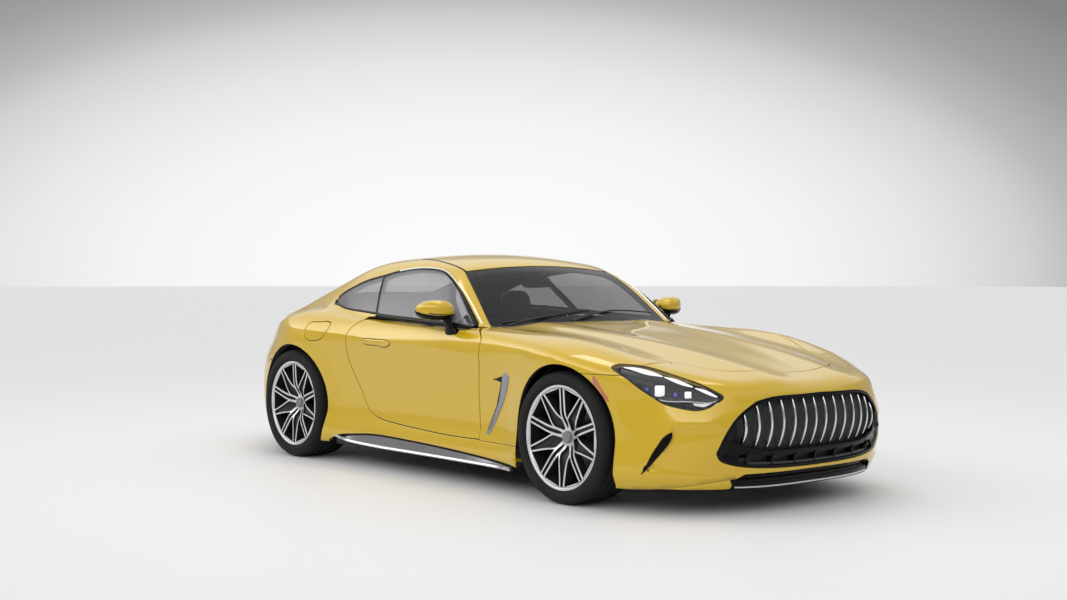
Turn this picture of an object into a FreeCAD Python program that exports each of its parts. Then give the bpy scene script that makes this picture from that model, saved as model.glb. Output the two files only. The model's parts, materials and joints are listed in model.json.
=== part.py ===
import FreeCAD, Part
import os
from math import sqrt, exp, hypot, sin, cos, tan, pi, radians, atan2
from bisect import bisect_right
import Sketcher

V = FreeCAD.Vector
doc = FreeCAD.newDocument("coupe")

# ---------------------------------------------------------------- sizes (mm)
SIZES = [
    ("wheelbase", 2700.0), ("front_axle_y", -1384.0), ("rear_axle_y", 1316.0),
    ("track_x", 835.0),
    ("tyre_r_front", 355.0), ("tyre_r_rear", 358.0), ("tyre_w_front", 290.0), ("tyre_w_rear", 298.0),
    ("rim_r", 279.0), ("rim_lip", 9.0), ("rim_in_r", 246.0), ("rim_face_in", 22.0),
    ("disc_r", 195.0), ("disc_t", 34.0), ("disc_x", 742.0), ("hub_r", 34.0),
    ("panel_t", 34.0), ("door_t", 110.0), ("side_t", 60.0), ("glass_t", 5.0), ("gap", 5.0),
    ("arch_r", 392.0), ("arch_r_rear", 396.0),
    ("floor_z", 150.0), ("floor_t", 24.0), ("floor_half_w", 828.0),
    ("steer_x", 372.0), ("steer_y", -215.0), ("steer_z", 770.0), ("steer_r", 182.0), ("steer_t", 15.0), ("steer_tilt", 24.0),
    ("seat_x", 372.0), ("seat_y", 190.0), ("seat_w", 500.0), ("seat_l", 520.0), ("seat_z", 300.0),
    ("engine_w", 520.0), ("engine_l", 620.0), ("engine_h", 420.0), ("engine_y", -1290.0), ("engine_z", 250.0),
    ("tip_r", 48.0), ("tip_x", 560.0), ("tip_y", 2190.0), ("tip_z", 268.0), ("tip_l", 130.0),
]
sheet = doc.addObject("Spreadsheet::Sheet", "sizes")
sheet.Label = "sizes"
S = {}
for i, (k, v) in enumerate(SIZES):
    sheet.set("A%d" % (i + 1), "'" + k)
    sheet.set("B%d" % (i + 1), repr(v))
    sheet.setAlias("B%d" % (i + 1), k)
    S[k] = v
doc.recompute()

class Curve:
    # natural cubic spline through given stations, straight outside them
    def __init__(self, xs, ys):
        n = len(xs)
        self.x = [float(v) for v in xs]
        self.y = [float(v) for v in ys]
        b = [1.0] * n
        a = [0.0] * n
        c = [0.0] * n
        d = [0.0] * n
        for i in range(1, n - 1):
            h0 = self.x[i] - self.x[i - 1]
            h1 = self.x[i + 1] - self.x[i]
            a[i] = h0 / 6
            b[i] = (h0 + h1) / 3
            c[i] = h1 / 6
            d[i] = (self.y[i + 1] - self.y[i]) / h1 - (self.y[i] - self.y[i - 1]) / h0
        for i in range(1, n):
            m = a[i] / b[i - 1]
            b[i] -= m * c[i - 1]
            d[i] -= m * d[i - 1]
        self.m = [0.0] * n
        self.m[-1] = d[-1] / b[-1]
        for i in range(n - 2, -1, -1):
            self.m[i] = (d[i] - c[i] * self.m[i + 1]) / b[i]

    def __call__(self, x):
        X = self.x
        i = bisect_right(X, x) - 1
        i = max(0, min(len(X) - 2, i))
        x0 = X[i]
        x1 = X[i + 1]
        h = x1 - x0
        xc = min(max(x, X[0]), X[-1])
        A = (x1 - xc) / h
        B = (xc - x0) / h
        v = A * self.y[i] + B * self.y[i + 1] + ((A ** 3 - A) * self.m[i] + (B ** 3 - B) * self.m[i + 1]) * h * h / 6
        if x == xc:
            return v
        g = (self.y[i + 1] - self.y[i]) / h + (-(3 * A * A - 1) * self.m[i] + (3 * B * B - 1) * self.m[i + 1]) * h / 6
        return v + (x - xc) * g


def smax(a, b, k):
    h = max(k - abs(a - b), 0.0) / k
    return max(a, b) + h * h * h * k / 6.0


def smin(a, b, k):
    h = max(k - abs(a - b), 0.0) / k
    return min(a, b) - h * h * h * k / 6.0


def sstep(a, b, x):
    t = min(max((x - a) / (b - a), 0.0), 1.0)
    return t * t * t * (t * (6 * t - 15) + 10)


YF, YR, ZW = -1384.0, 1316.0, 356.0

# plan outline (half width against y) and section outline (offset against z) of the lower body
PLAN = Curve([-2400, -2200, -1950, -1700, -1384, -1100, -880, -600, -200, 250, 650, 950, 1316, 1650, 1950, 2200, 2400],
             [890, 912, 940, 966, 984, 968, 946, 934, 930, 932, 944, 964, 988, 978, 944, 900, 850])
SECT = Curve([60, 130, 190, 255, 330, 400, 500, 620, 720, 785, 840, 900, 960, 1040],
             [-75, -30, -4, -8, -30, -37, -34, -22, -8, 0, -10, -38, -80, -150])
# height of the bonnet, shoulder and tail along the centre
ZC = Curve([-2400, -2250, -2139, -1900, -1600, -1200, -900, -568, -200, 300, 800, 1200, 1500, 1800, 2100, 2300, 2450],
           [640, 684, 712, 766, 822, 878, 908, 938, 950, 968, 986, 990, 982, 952, 908, 887, 872])
WRIDGE = Curve([-2300, -1900, -1384, -900, -500], [700, 770, 800, 800, 800])
HRIDGE = Curve([-2400, -2000, -1700, -1384, -1050, -700, -400], [-40, -18, 5, 22, 10, -8, -14])
HAUNCH = Curve([300, 900, 1316, 1600, 1850, 2100, 2400], [0, 10, 30, -4, -28, -49, -58])
FPROF = Curve([60, 130, 180, 250, 320, 456, 540, 590, 650, 700, 760, 850], [110, 72, 52, 38, 22, 2, 6, 16, 30, 62, 150, 380])
RPROF = Curve([100, 200, 300, 420, 600, 720, 800, 870, 930, 1000], [190, 130, 85, 35, 0, 12, 30, 42, 60, 110])
# how fast the ends curve back towards the sides, against height
KF = Curve([150, 300, 450, 600, 720], [134, 116, 135, 160, 140])
KR = Curve([200, 350, 500, 650, 815, 950], [240, 243, 266, 292, 343, 333])
# greenhouse: roof line along the centre and half width at the belt
ZB = Curve([-1000, -760, -568, -330, -97, 120, 350, 650, 950, 1250, 1550, 1850, 2100, 2300, 2500],
           [560, 780, 936, 1130, 1278, 1333, 1353, 1345, 1308, 1218, 1131, 1035, 960, 905, 870])
WB = Curve([-1000, -568, -300, -100, 300, 700, 1000, 1300, 1600, 1900, 2200],
           [830, 871, 896, 880, 878, 848, 804, 738, 660, 585, 520])
KA = Curve([-2400, -1800, -1384, -800, -300, 400, 900, 1400, 2400], [110, 110, 95, 80, 60, 60, 90, 130, 130])


def H_A(w, y):
    z = ZC(y)
    f = 1.0 - sstep(-700, -300, y)
    z += -(w / 900.0) ** 2 * 46.0
    if f > 0:
        dome = exp(-((w - (360 + 0.10 * (y + 1384))) / 120.0) ** 2)
        ridge = exp(-((w - WRIDGE(y)) / 150.0) ** 2)
        z += f * (dome * 12.0 + ridge * (HRIDGE(y) + 20))
    r = sstep(300, 1100, y)
    if r > 0:
        z += r * exp(-((w - 830.0) / 170.0) ** 2) * HAUNCH(y)
    return z


def W_A(y, z):
    s = SECT(z)
    g = min(exp(-((y - YF) / 360.0) ** 2) + exp(-((y - YR) / 400.0) ** 2), 1.0)
    s *= 1.0 - 0.75 * g * (1.0 - sstep(740, 800, z))
    s += 8.0 * (1.0 - sstep(400, 540, hypot(y - YF, z - ZW))) + 8.0 * (1.0 - sstep(400, 540, hypot(y - YR, z - ZW)))
    s += 42.0 * exp(-((y - 1880.0) / 230.0) ** 2) * (1.0 - sstep(430, 680, z))
    return PLAN(y) + s


def Y_F(w, z):
    return -2364.0 + FPROF(z) + KF(min(max(z, 150.0), 720.0)) * (w / 663.0) ** 3.1


def Y_R(w, z):
    return 2364.0 - RPROF(z) - KR(min(max(z, 200.0), 950.0)) * (w / 700.0) ** 2.75


def H_B(w, y):
    q = 15.0 * (w / 700.0) ** 2 * (1 - sstep(-200, 600, y))
    return ZB(y - q) - 52.0 * (w / 650.0) ** 2


def W_B(y, z):
    d = z - 940.0
    lo = min(d, 0.0)
    hi = max(d, 0.0)
    return WB(y) - 0.52 * lo * exp(lo / 80.0) - 0.52 * hi - 0.00045 * hi * hi


def ends(w, y, z):
    f = (Y_F(w, z) - y) / sqrt(1.0 + (128.0 * 3.1 / 663.0 * (w / 663.0) ** 2.1) ** 2)
    r = (y - Y_R(w, z)) / sqrt(1.0 + (290.0 * 2.75 / 700.0 * (w / 700.0) ** 1.75) ** 2)
    return f, r


def F_A(w, y, z):
    f, r = ends(w, y, z)
    a = smax(z - H_A(w, y), w - W_A(y, z), KA(y))
    a = smax(a, f, 90.0 + 150.0 * sstep(500, 800, w))
    return smax(a, r, 60.0 + 90.0 * sstep(450, 800, w))


def F_B(w, y, z):
    f, r = ends(w, y, z)
    b = smax((z - H_B(w, y)) / 1.08, (w - W_B(y, z)) / 1.12, 110.0)
    return smax(smax(b, r, 60.0), f, 60.0)


def F_U(w, y, z):
    return smin(F_A(w, y, z), F_B(w, y, z), 20.0 + 140.0 * sstep(700, 1300, y) * (1.0 - sstep(2000, 2250, y)))


# ---------------------------------------------------------------- skin patches
def crossing(o, d, fld, t1=1700.0, step=55.0):
    # distance from a point inside the body to its skin
    a = 0.0
    fa = fld(abs(o[0]), o[1], o[2])
    b = step
    while b < t1:
        fb = fld(abs(o[0] + b * d[0]), o[1] + b * d[1], o[2] + b * d[2])
        if fb > 0:
            break
        a, fa = b, fb
        b += step
    for _ in range(40):
        m = b - fb * (b - a) / (fb - fa)
        if not (a < m < b):
            m = (a + b) / 2
        fm = fld(abs(o[0] + m * d[0]), o[1] + m * d[1], o[2] + m * d[2])
        if abs(fm) < 0.004 or b - a < 0.004:
            break
        if fm > 0:
            b, fb = m, fm
            fa *= 0.7
        else:
            a, fa = m, fm
            fb *= 0.7
    return V(o[0] + m * d[0], o[1] + m * d[1], o[2] + m * d[2])


def normal(p, fld):
    e = 2.0
    s = -1.0 if p.x < 0 else 1.0
    w = abs(p.x)
    gx = (fld(w + e, p.y, p.z) - fld(abs(w - e), p.y, p.z)) * s
    gy = fld(w, p.y + e, p.z) - fld(w, p.y - e, p.z)
    gz = fld(w, p.y, p.z + e) - fld(w, p.y, p.z - e)
    n = V(gx, gy, gz)
    n.normalize()
    return n


def span(a, b, n):
    return [a + (b - a) * i / (n - 1) for i in range(n)]


def side_grid(ys, ths, fld, z0=480.0):
    # rays across the body at each station, right side
    return [[crossing((0.0, y, z0), (-cos(radians(t)), 0.0, sin(radians(t))), fld) for t in ths] for y in ys]


def top_grid(xs, ys, fld, z0=300.0):
    return [[crossing((x, y, z0), (0.0, 0.0, 1.0), fld) for y in ys] for x in xs]


def star_grid(az, el, fld, yc, zc, sgn):
    return [[crossing((0.0, yc, zc), (sin(radians(a)) * cos(radians(e)), sgn * cos(radians(a)) * cos(radians(e)), sin(radians(e))), fld)
             for e in el] for a in az]


def surf(pts):
    s = Part.BSplineSurface()
    s.interpolate(pts)
    return s


def thick(grid, fld, t, inset=0.0, nrm=None):
    # closed solid between the skin (or a line inset below it) and a line t further in
    def dep(p):
        return t(p) if callable(t) else t
    N = [[normal(p, fld) for p in row] for row in grid]
    P = grid if inset == 0.0 else [[p - n * inset for p, n in zip(a, b)] for a, b in zip(grid, N)]
    Q = [[p - n * dep(p) for p, n in zip(a, b)] for a, b in zip(P, N)]
    s1, s2 = surf(P), surf(Q)
    u0, u1, v0, v1 = s1.bounds()
    p0, p1, q0, q1 = s2.bounds()
    faces = [s1.toShape(), s2.toShape()]
    for c1, c2 in ((s1.uIso(u0), s2.uIso(p0)), (s1.uIso(u1), s2.uIso(p1)), (s1.vIso(v0), s2.vIso(q0)), (s1.vIso(v1), s2.vIso(q1))):
        faces.append(Part.makeRuledSurface(c1.toShape(), c2.toShape()))
    sh = Part.Shell(faces)
    sh.sewShape()
    so = Part.Solid(sh)
    if so.Volume < 0:
        so.reverse()
    return so


def wire(segs):
    # closed outline: each run of points is a smooth curve, or a straight line when it has two
    edges = []
    for s in segs:
        pts = [V(*p) for p in s]
        if len(pts) == 2:
            edges.append(Part.makeLine(pts[0], pts[1]))
        else:
            c = Part.BSplineCurve()
            c.interpolate(pts)
            edges.append(c.toShape())
    return Part.Wire(edges)


PLANES = {
    "side": (lambda a, b: (0.0, a, b), V(1, 0, 0)),
    "plan": (lambda a, b: (a, b, 0.0), V(0, 0, 1)),
    "front": (lambda a, b: (a, 0.0, b), V(0, 1, 0)),
}


def plain(f):
    # the same flat face with every edge written as its own spline or line
    es = []
    for e in Part.__sortEdges__(f.OuterWire.Edges):
        pts = e.discretize(max(3, int(e.Length / 22.0))) if e.Curve.TypeId != "Part::GeomLine" else [e.Vertexes[0].Point, e.Vertexes[-1].Point]
        if e.Orientation == "Reversed" and e.Curve.TypeId != "Part::GeomLine":
            pts = pts[::-1]
        es.append(pts)
    # run the edges head to tail
    if (es[0][-1] - es[1][0]).Length > 1e-4 and (es[0][-1] - es[1][-1]).Length > 1e-4:
        es[0] = es[0][::-1]
    for i in range(1, len(es)):
        if (es[i][0] - es[i - 1][-1]).Length > (es[i][-1] - es[i - 1][-1]).Length:
            es[i] = es[i][::-1]
    out = []
    for i, p in enumerate(es):
        p = list(p)
        p[0] = es[i - 1][-1]
        if len(p) == 2:
            out.append(Part.makeLine(p[0], p[1]))
        else:
            c = Part.BSplineCurve()
            c.interpolate(p)
            out.append(c.toShape())
    return Part.Face(Part.Wire(out))


def prism(view, segs, lo, hi, grow=0.0):
    fn, d = PLANES[view]
    w = wire([[fn(*p) for p in s] for s in segs])
    f = Part.Face(w)
    if abs(grow) > 1e-9:
        f = plain(f.makeOffset2D(grow))
    f.translate(d * lo)
    return f.extrude(d * (hi - lo))


def ring(pts):
    # straight-sided outline through the points
    return [[pts[i], pts[(i + 1) % len(pts)]] for i in range(len(pts))]


def box(x0, x1, y0, y1, z0, z1):
    return Part.makeBox(x1 - x0, y1 - y0, z1 - z0, V(x0, y0, z0))


def cyl_x(r, x0, x1, y, z):
    return Part.makeCylinder(r, x1 - x0, V(x0, y, z), V(1, 0, 0))


def mirror(s):
    return s.mirror(V(0, 0, 0), V(1, 0, 0))


def biggest(s):
    so = s.Solids
    return max(so, key=lambda q: q.Volume)


NODES = {}


def feature(name, shape, pl=None):
    o = doc.addObject("Part::Feature", name)
    o.Label = name
    o.Shape = shape
    if pl is not None:
        o.Placement = pl
    NODES[name] = o
    return o


def keep(name, solids):
    if not isinstance(solids, (list, tuple)):
        solids = [solids]
    out = []
    for s in solids:
        out += s.Solids
    out = [s for s in out if s.Volume > 200.0]
    return feature(name, out[0] if len(out) == 1 else Part.makeCompound(out))


# ---------------------------------------------------------------- outlines
g = S["gap"] / 2.0
T = S["panel_t"]
# side view (y, z)
DOOR = [
    [(-474, 915), (-540, 906), (-612, 884), (-655, 853)],
    [(-655, 853), (-652, 760), (-628, 640), (-612, 500), (-618, 380), (-634, 279)],
    [(-634, 279), (-304, 279), (-43, 290), (159, 301), (325, 314)],
    [(325, 314), (412, 330), (486, 358), (529, 395), (560, 450), (614, 532), (684, 655)],
    [(684, 655), (702, 724), (703, 800), (697, 852), (663, 897), (578, 949)],
    [(578, 949), (257, 954), (74, 946), (-200, 935), (-378, 926), (-474, 915)],
]
GLASS = [
    [(-466, 921), (-378, 931), (-200, 940), (80, 952), (257, 960), (496, 972)],
    [(496, 972), (534, 1037), (582, 1107), (642, 1200)],
    [(642, 1200), (560, 1222), (450, 1238), (335, 1249), (215, 1251), (120, 1246), (40, 1234), (-50, 1206), (-135, 1169), (-215, 1124), (-303, 1060), (-375, 1000), (-466, 921)],
]
QUARTER = [
    [(508, 974), (700, 985), (870, 993), (1000, 1006), (1090, 1020)],
    [(1090, 1020), (1158, 1034), (1172, 1046), (1160, 1062)],
    [(1160, 1062), (1130, 1082), (1034, 1119), (918, 1156), (799, 1182), (656, 1205)],
    [(656, 1205), (594, 1110), (546, 1038), (508, 974)],
]
FUEL = [
    [(1156, 884), (1142, 898), (1062, 908), (962, 913), (926, 907)],
    [(926, 907), (913, 892), (922, 856), (940, 828), (978, 799), (1046, 784), (1108, 788), (1142, 806), (1156, 836), (1156, 884)],
]
# plan view (x, y)
BONNET = [
    [(-742, -600), (-770, -706), (-788, -1041), (-776, -1319), (-735, -1508), (-655, -1680), (-585, -1824), (-520, -1956), (-430, -2065), (-290, -2138), (-140, -2166), (0, -2172)],
    [(0, -2172), (140, -2166), (290, -2138), (430, -2065), (520, -1956), (585, -1824), (655, -1680), (735, -1508), (776, -1319), (788, -1041), (770, -706), (742, -600)],
    [(742, -600), (500, -612), (0, -622), (-500, -612), (-742, -600)],
]
COWL = [
    [(-736, -590), (-500, -602), (0, -612), (500, -602), (736, -590)],
    [(736, -590), (728, -508)],
    [(728, -508), (604, -547), (270, -575), (0, -581), (-270, -575), (-604, -547), (-728, -508)],
    [(-728, -508), (-736, -590)],
]
SCREEN = [
    [(-724, -502), (-602, -539), (-269, -567), (0, -573), (269, -567), (602, -539), (724, -502)],
    [(724, -502), (672, -307), (625, -160), (592, -82)],
    [(592, -82), (300, -104), (0, -112), (-300, -104), (-592, -82)],
    [(-592, -82), (-625, -160), (-672, -307), (-724, -502)],
]
ROOF = [
    [(-586, -78), (-300, -100), (0, -108), (300, -100), (586, -78)],
    [(586, -78), (578, 60), (560, 240), (540, 425)],
    [(540, 425), (-540, 425)],
    [(-540, 425), (-560, 240), (-578, 60), (-586, -78)],
]
HATCH = [
    [(-536, 430), (536, 430)],
    [(536, 430), (520, 800), (506, 1200), (500, 1600), (520, 1850), (560, 2040), (600, 2105)],
    [(600, 2105), (480, 2165), (300, 2212), (0, 2238), (-300, 2212), (-480, 2165), (-600, 2105)],
    [(-600, 2105), (-560, 2040), (-520, 1850), (-500, 1600), (-506, 1200), (-520, 800), (-536, 430)],
]
REARGLASS = [
    [(-478, 505), (0, 492), (478, 505)],
    [(478, 505), (462, 900), (446, 1300), (430, 1660)],
    [(430, 1660), (0, 1690), (-430, 1660)],
    [(-430, 1660), (-446, 1300), (-462, 900), (-478, 505)],
]
# front view (x, z)
GRILLE = [
    [(0, 607), (-205, 604), (-390, 594), (-452, 580)],
    [(-452, 580), (-533, 530), (-602, 459), (-641, 381), (-661, 326)],
    [(-661, 326), (-640, 288), (-600, 268), (-532, 252), (-428, 240), (-268, 232), (0, 228)],
    [(0, 228), (268, 232), (428, 240), (532, 252), (600, 268), (640, 288), (661, 326)],
    [(661, 326), (641, 381), (602, 459), (533, 530), (452, 580)],
    [(452, 580), (390, 594), (205, 604), (0, 607)],
]
SPLITTER = ring([(-560, 128), (560, 128), (540, 190), (500, 210), (-500, 210), (-540, 190)])
TAIL = [
    [(-432, 778), (-640, 762), (-800, 748), (-900, 752)],
    [(-900, 752), (-900, 806)],
    [(-900, 806), (-800, 812), (-640, 816), (-432, 806)],
    [(-432, 806), (-432, 778)],
]
DIFFUSER = ring([(-640, 150), (640, 150), (660, 250), (520, 330), (-520, 330), (-660, 250)])
# headlamp outline on a plane facing forwards and outwards: a along (-0.8, 0.6, 0), then z
LAMP3 = [(-921, -1732, 742), (-898, -1733, 755), (-844, -1776, 760), (-792, -1835, 753), (-749, -1929, 730), (-705, -2049, 695), (-666, -2144, 662),
         (-631, -2215, 624), (-618, -2236, 603), (-635, -2232, 587), (-672, -2215, 564), (-723, -2184, 541), (-770, -2144, 541), (-816, -2089, 554),
         (-847, -2040, 569), (-875, -1980, 603), (-902, -1905, 648), (-919, -1819, 700), (-925, -1761, 726)]


def lamp_prism(grow):
    e = V(-0.8, 0.6, 0)
    d = V(-0.6, -0.8, 0)
    pts = [e * (V(*p).dot(e)) + V(0, 0, p[2]) for p in LAMP3]
    c = Part.BSplineCurve()
    c.interpolate(pts, PeriodicFlag=True)
    f = Part.Face(Part.Wire([c.toShape()]))
    if grow:
        f = plain(f.makeOffset2D(grow))
    f.translate(d * 1500.0)
    return f.extrude(d * 1300.0)


# ---------------------------------------------------------------- body panels
far = 1300.0
arch_f = cyl_x(S["arch_r"], -far, -560, YF, 355.0)
arch_r = cyl_x(S["arch_r_rear"], -far, -560, YR, 358.0)

door_in = prism("side", DOOR, -far, -300, -g)
door_cut = prism("side", DOOR, -far, -300, g)
glass_in = prism("side", GLASS, -far, -300, -1.0)
glass_cut = prism("side", GLASS, -far, -300, 6.0)
quarter_in = prism("side", QUARTER, -far, -300, -1.0)
quarter_cut = prism("side", QUARTER, -far, -300, 1.0)
fuel_in = prism("side", FUEL, -far, -600, -g)
fuel_cut = prism("side", FUEL, -far, -600, g)
bonnet_in = prism("plan", BONNET, 300, 1400, -g)
bonnet_cut = prism("plan", BONNET, 300, 1400, g)
cowl_in = prism("plan", COWL, 600, 1400)
screen_in = prism("plan", SCREEN, 600, 1500, -1.0)
screen_cut = prism("plan", SCREEN, 600, 1500, 1.0)
roof_in = prism("plan", ROOF, 1000, 1500, -1.0)
roof_cut = prism("plan", ROOF, 1000, 1500, 1.0)
hatch_in = prism("plan", HATCH, 760, 1500, -g)
hatch_cut = prism("plan", HATCH, 640, 1500, g)
rglass_in = prism("plan", REARGLASS, 760, 1500, -1.0)
rglass_cut = prism("plan", REARGLASS, 760, 1500, 1.0)
lamp_in = lamp_prism(-1.5)
lamp_cut = lamp_prism(1.5)
grille_in = prism("front", GRILLE, -2600, -1900, -1.5)
grille_cut = prism("front", GRILLE, -2600, -1900, 1.5)
split_in = prism("front", SPLITTER, -2600, -1900, -1.0)
split_cut = prism("front", SPLITTER, -2600, -1900, 1.0)
tail_in = prism("front", TAIL, 1800, 2600, -1.5)
tail_cut = prism("front", TAIL, 1800, 2600, 1.5)
diff_in = prism("front", DIFFUSER, 1900, 2600, -1.0)
diff_cut = prism("front", DIFFUSER, 1900, 2600, 1.0)

# front wing: over the front wheel, back to the door, up to the bonnet
gw = side_grid(span(-1990, -470, 30), span(-24, 36, 22), F_A)
wing = thick(gw, F_A, T)
wing = wing.common(prism("side", ring([(-1830, 1100), (-1830, 706), (-1500, 706), (-1500, 275), (-636, 275), (-612, 380), (-606, 500), (-620, 640), (-645, 760), (-648, 858), (-605, 888), (-530, 912), (-500, 925), (-500, 1100)]), -far, -300))
wing = wing.cut(arch_f).cut(door_cut).cut(bonnet_cut).cut(lamp_cut).cut(prism("plan", COWL, 600, 1400, 2.0)).cut(screen_cut)
wing = biggest(wing.cut(box(-715, 0, -640, -400, 500, 1200)))
keep("front_fenders", [wing, mirror(wing)])

# front bumper skin
gb = star_grid(span(-72, 72, 41), span(-24, 34, 20), F_A, -1250.0, 430.0, -1.0)
nose = thick(gb, F_A, T)
bump = nose.cut(bonnet_cut).cut(grille_cut).cut(split_cut)
bump = bump.common(box(-far, far, -2600, -1400, 118, 1000))
for s in (1, -1):
    f = (lambda q: q) if s == 1 else mirror
    bump = bump.cut(f(lamp_cut)).cut(f(arch_f)).cut(f(prism("side", ring([(-1832, 1100), (-1832, 704), (-1200, 704), (-1200, 1100)]), -far, -300)))
keep("front_bumper", biggest(bump))

deep = thick(gb, F_A, 56.0, 4.0)
keep("grille", biggest(deep.common(grille_in)))
split = thick(gb, F_A, 60.0, 4.0).common(split_in)
keep("front_splitter", biggest(split))
lampb = thick(gb, F_A, 30.0, 2.0).common(lamp_in)
lampb = biggest(lampb.cut(bonnet_cut))
keep("headlights", [lampb, mirror(lampb)])

# bonnet
gh = side_grid(span(-2200, -560, 32), span(20, 160, 33), F_A)
bon = thick(gh, F_A, 24.0).common(bonnet_in)
keep("bonnet", biggest(bon))
gc = top_grid(span(-760, 760, 15), span(-660, -450, 5), F_A)
keep("cowl_panel", biggest(thick(gc, F_A, 14.0).common(cowl_in)))

# screen, roof
gs = top_grid(span(-742, 742, 21), span(-600, -40, 12), F_B)
keep("windshield", biggest(thick(gs, F_B, S["glass_t"]).common(screen_in)))
gr = top_grid(span(-650, 650, 21), span(-140, 470, 12), F_B)
keep("roof_panel", biggest(thick(gr, F_B, T).common(roof_in)))

# tailgate with its glass
gt = side_grid(span(380, 2248, 34), span(29, 151, 25), F_U)
tg = thick(gt, F_U, 30.0).common(hatch_in).cut(rglass_cut)
lamp_room = prism("front", TAIL, 1800, 2600, 7.0)
tg = tg.cut(lamp_room).cut(mirror(lamp_room))
keep("tailgate", biggest(tg))
rg = thick(gt, F_U, S["glass_t"]).common(rglass_in)
keep("rear_window", biggest(rg))

# door and its glass
gd = side_grid(span(-760, 800, 26), span(-15, 29.6, 19), F_A)
block = surf(gd).toShape().extrude(V(420, 0, 0))
door = block.common(prism("side", DOOR, -far, -928 + S["door_t"], -g))
step = prism("side", DOOR, -872, -600, 4.0).cut(prism("side", DOOR, -900, -500, -26.0))
door = door.cut(step)
door = biggest(door)
keep("door_right", door)
keep("door_left", mirror(door))
gg = side_grid(span(-520, 1260, 26), span(23, 56, 16), F_B)
gband = thick(gg, F_B, S["glass_t"])
pane = biggest(gband.common(glass_in))
keep("door_window_right", pane)
keep("door_window_left", mirror(pane))
qw = biggest(gband.common(quarter_in))
keep("quarter_windows", [qw, mirror(qw)])

# body side: sill, screen pillar, roof rail and rear quarter in one
gq = side_grid(span(-1040, 2180, 46), span(-34, 18, 10) + span(20, 36, 11) + span(39.5, 64, 8), F_U)
side = thick(gq, F_U, S["side_t"])
reg = prism("side", ring([(-1010, 118), (-1010, 271), (-600, 271), (-600, 640), (-632, 760), (-640, 852), (-600, 882), (-540, 904), (-494, 918), (-560, 1000), (-560, 1420), (2000, 1420), (2000, 642), (1500, 642), (1500, 118)]), -far, -200)
side = side.common(reg)
for c in (door_cut, glass_cut, quarter_cut, arch_f, arch_r, bonnet_cut, prism("plan", COWL, 600, 1400, 2.0), screen_cut, roof_cut, hatch_cut):
    side = side.cut(c)
side = side.cut(box(-520, 0, 2000 - 2600, 480, 1000, 1500)).common(box(-far, -200, -1100, 2100, 135, 1500))
side = biggest(side)
keep("body_sides", [biggest(side.cut(fuel_cut)), mirror(side)])
flap = biggest(thick(gq, F_U, 8.0).common(fuel_in))
keep("fuel_flap", flap)

# rear bumper with the lamp panel
gz = star_grid(span(-76, 76, 41), span(-24, 38, 22), F_U, 1300.0, 470.0, 1.0)
tail = thick(gz, F_U, T)
rb = tail.cut(hatch_cut).common(box(-far, far, 1500, 2600, 150, 1000)).cut(diff_cut)
for s in (1, -1):
    f = (lambda q: q) if s == 1 else mirror
    rb = rb.cut(f(tail_cut)).cut(f(arch_r)).cut(f(prism("side", ring([(1300, 639), (1300, 1300), (2003, 1300), (2003, 639)]), -far, -200)))
for x in (-580, -480, 480, 580):
    rb = rb.cut(Part.makeCylinder(46, 500, V(x, 1800, 262), V(0, 1, 0)))
rb = biggest(rb)
keep("rear_bumper", rb)
tl = biggest(thick(gz, F_U, 30.0, 1.5).common(tail_in).common(box(-far, 0, 2004, 2600, 600, 1000)))
keep("taillights", [tl, mirror(tl)])
diff = thick(gz, F_U, 80.0, 10.0).common(diff_in)
for x in (-580, -480, 480, 580):
    diff = diff.cut(Part.makeCylinder(44, 500, V(x, 1800, 262), V(0, 1, 0)))
keep("rear_diffuser", biggest(diff))


# ---------------------------------------------------------------- plain mechanical pieces
EPS = "sizes."


def bind(o, props):
    for p, e in props.items():
        o.setExpression(p, e)


def at(o, x=None, y=None, z=None):
    for a, e in (("x", x), ("y", y), ("z", z)):
        if e is not None:
            o.setExpression("Placement.Base." + a, e)


def pbox(name, x, y, z, l, w, hgt, rot=None):
    o = doc.addObject("Part::Box", name)
    bind(o, {"Length": l, "Width": w, "Height": hgt})
    if rot:
        o.Placement.Rotation = FreeCAD.Rotation(V(*rot[0]), rot[1])
    at(o, x, y, z)
    return o


def pcyl(name, r, length, x, y, z, axis="X", angle=None, turn=0.0):
    # cylinder starting at the point and running along the axis
    o = doc.addObject("Part::Cylinder", name)
    bind(o, {"Radius": r, "Height": length})
    if angle is not None:
        o.Angle = angle
    if axis == "X":
        o.Placement.Rotation = FreeCAD.Rotation(V(1, 0, 0), turn) * FreeCAD.Rotation(V(0, 1, 0), 90)
    elif axis == "-X":
        o.Placement.Rotation = FreeCAD.Rotation(V(1, 0, 0), turn) * FreeCAD.Rotation(V(0, 1, 0), -90)
    elif axis == "Y":
        o.Placement.Rotation = FreeCAD.Rotation(V(1, 0, 0), -90)
    at(o, x, y, z)
    return o


def fuse(name, parts):
    o = doc.addObject("Part::MultiFuse", name)
    o.Shapes = parts
    return o


def cut(name, base, tool):
    o = doc.addObject("Part::Cut", name)
    o.Base = base
    o.Tool = tool
    return o


def node(o, name):
    o.Label = name
    NODES[name] = o
    return o


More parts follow.
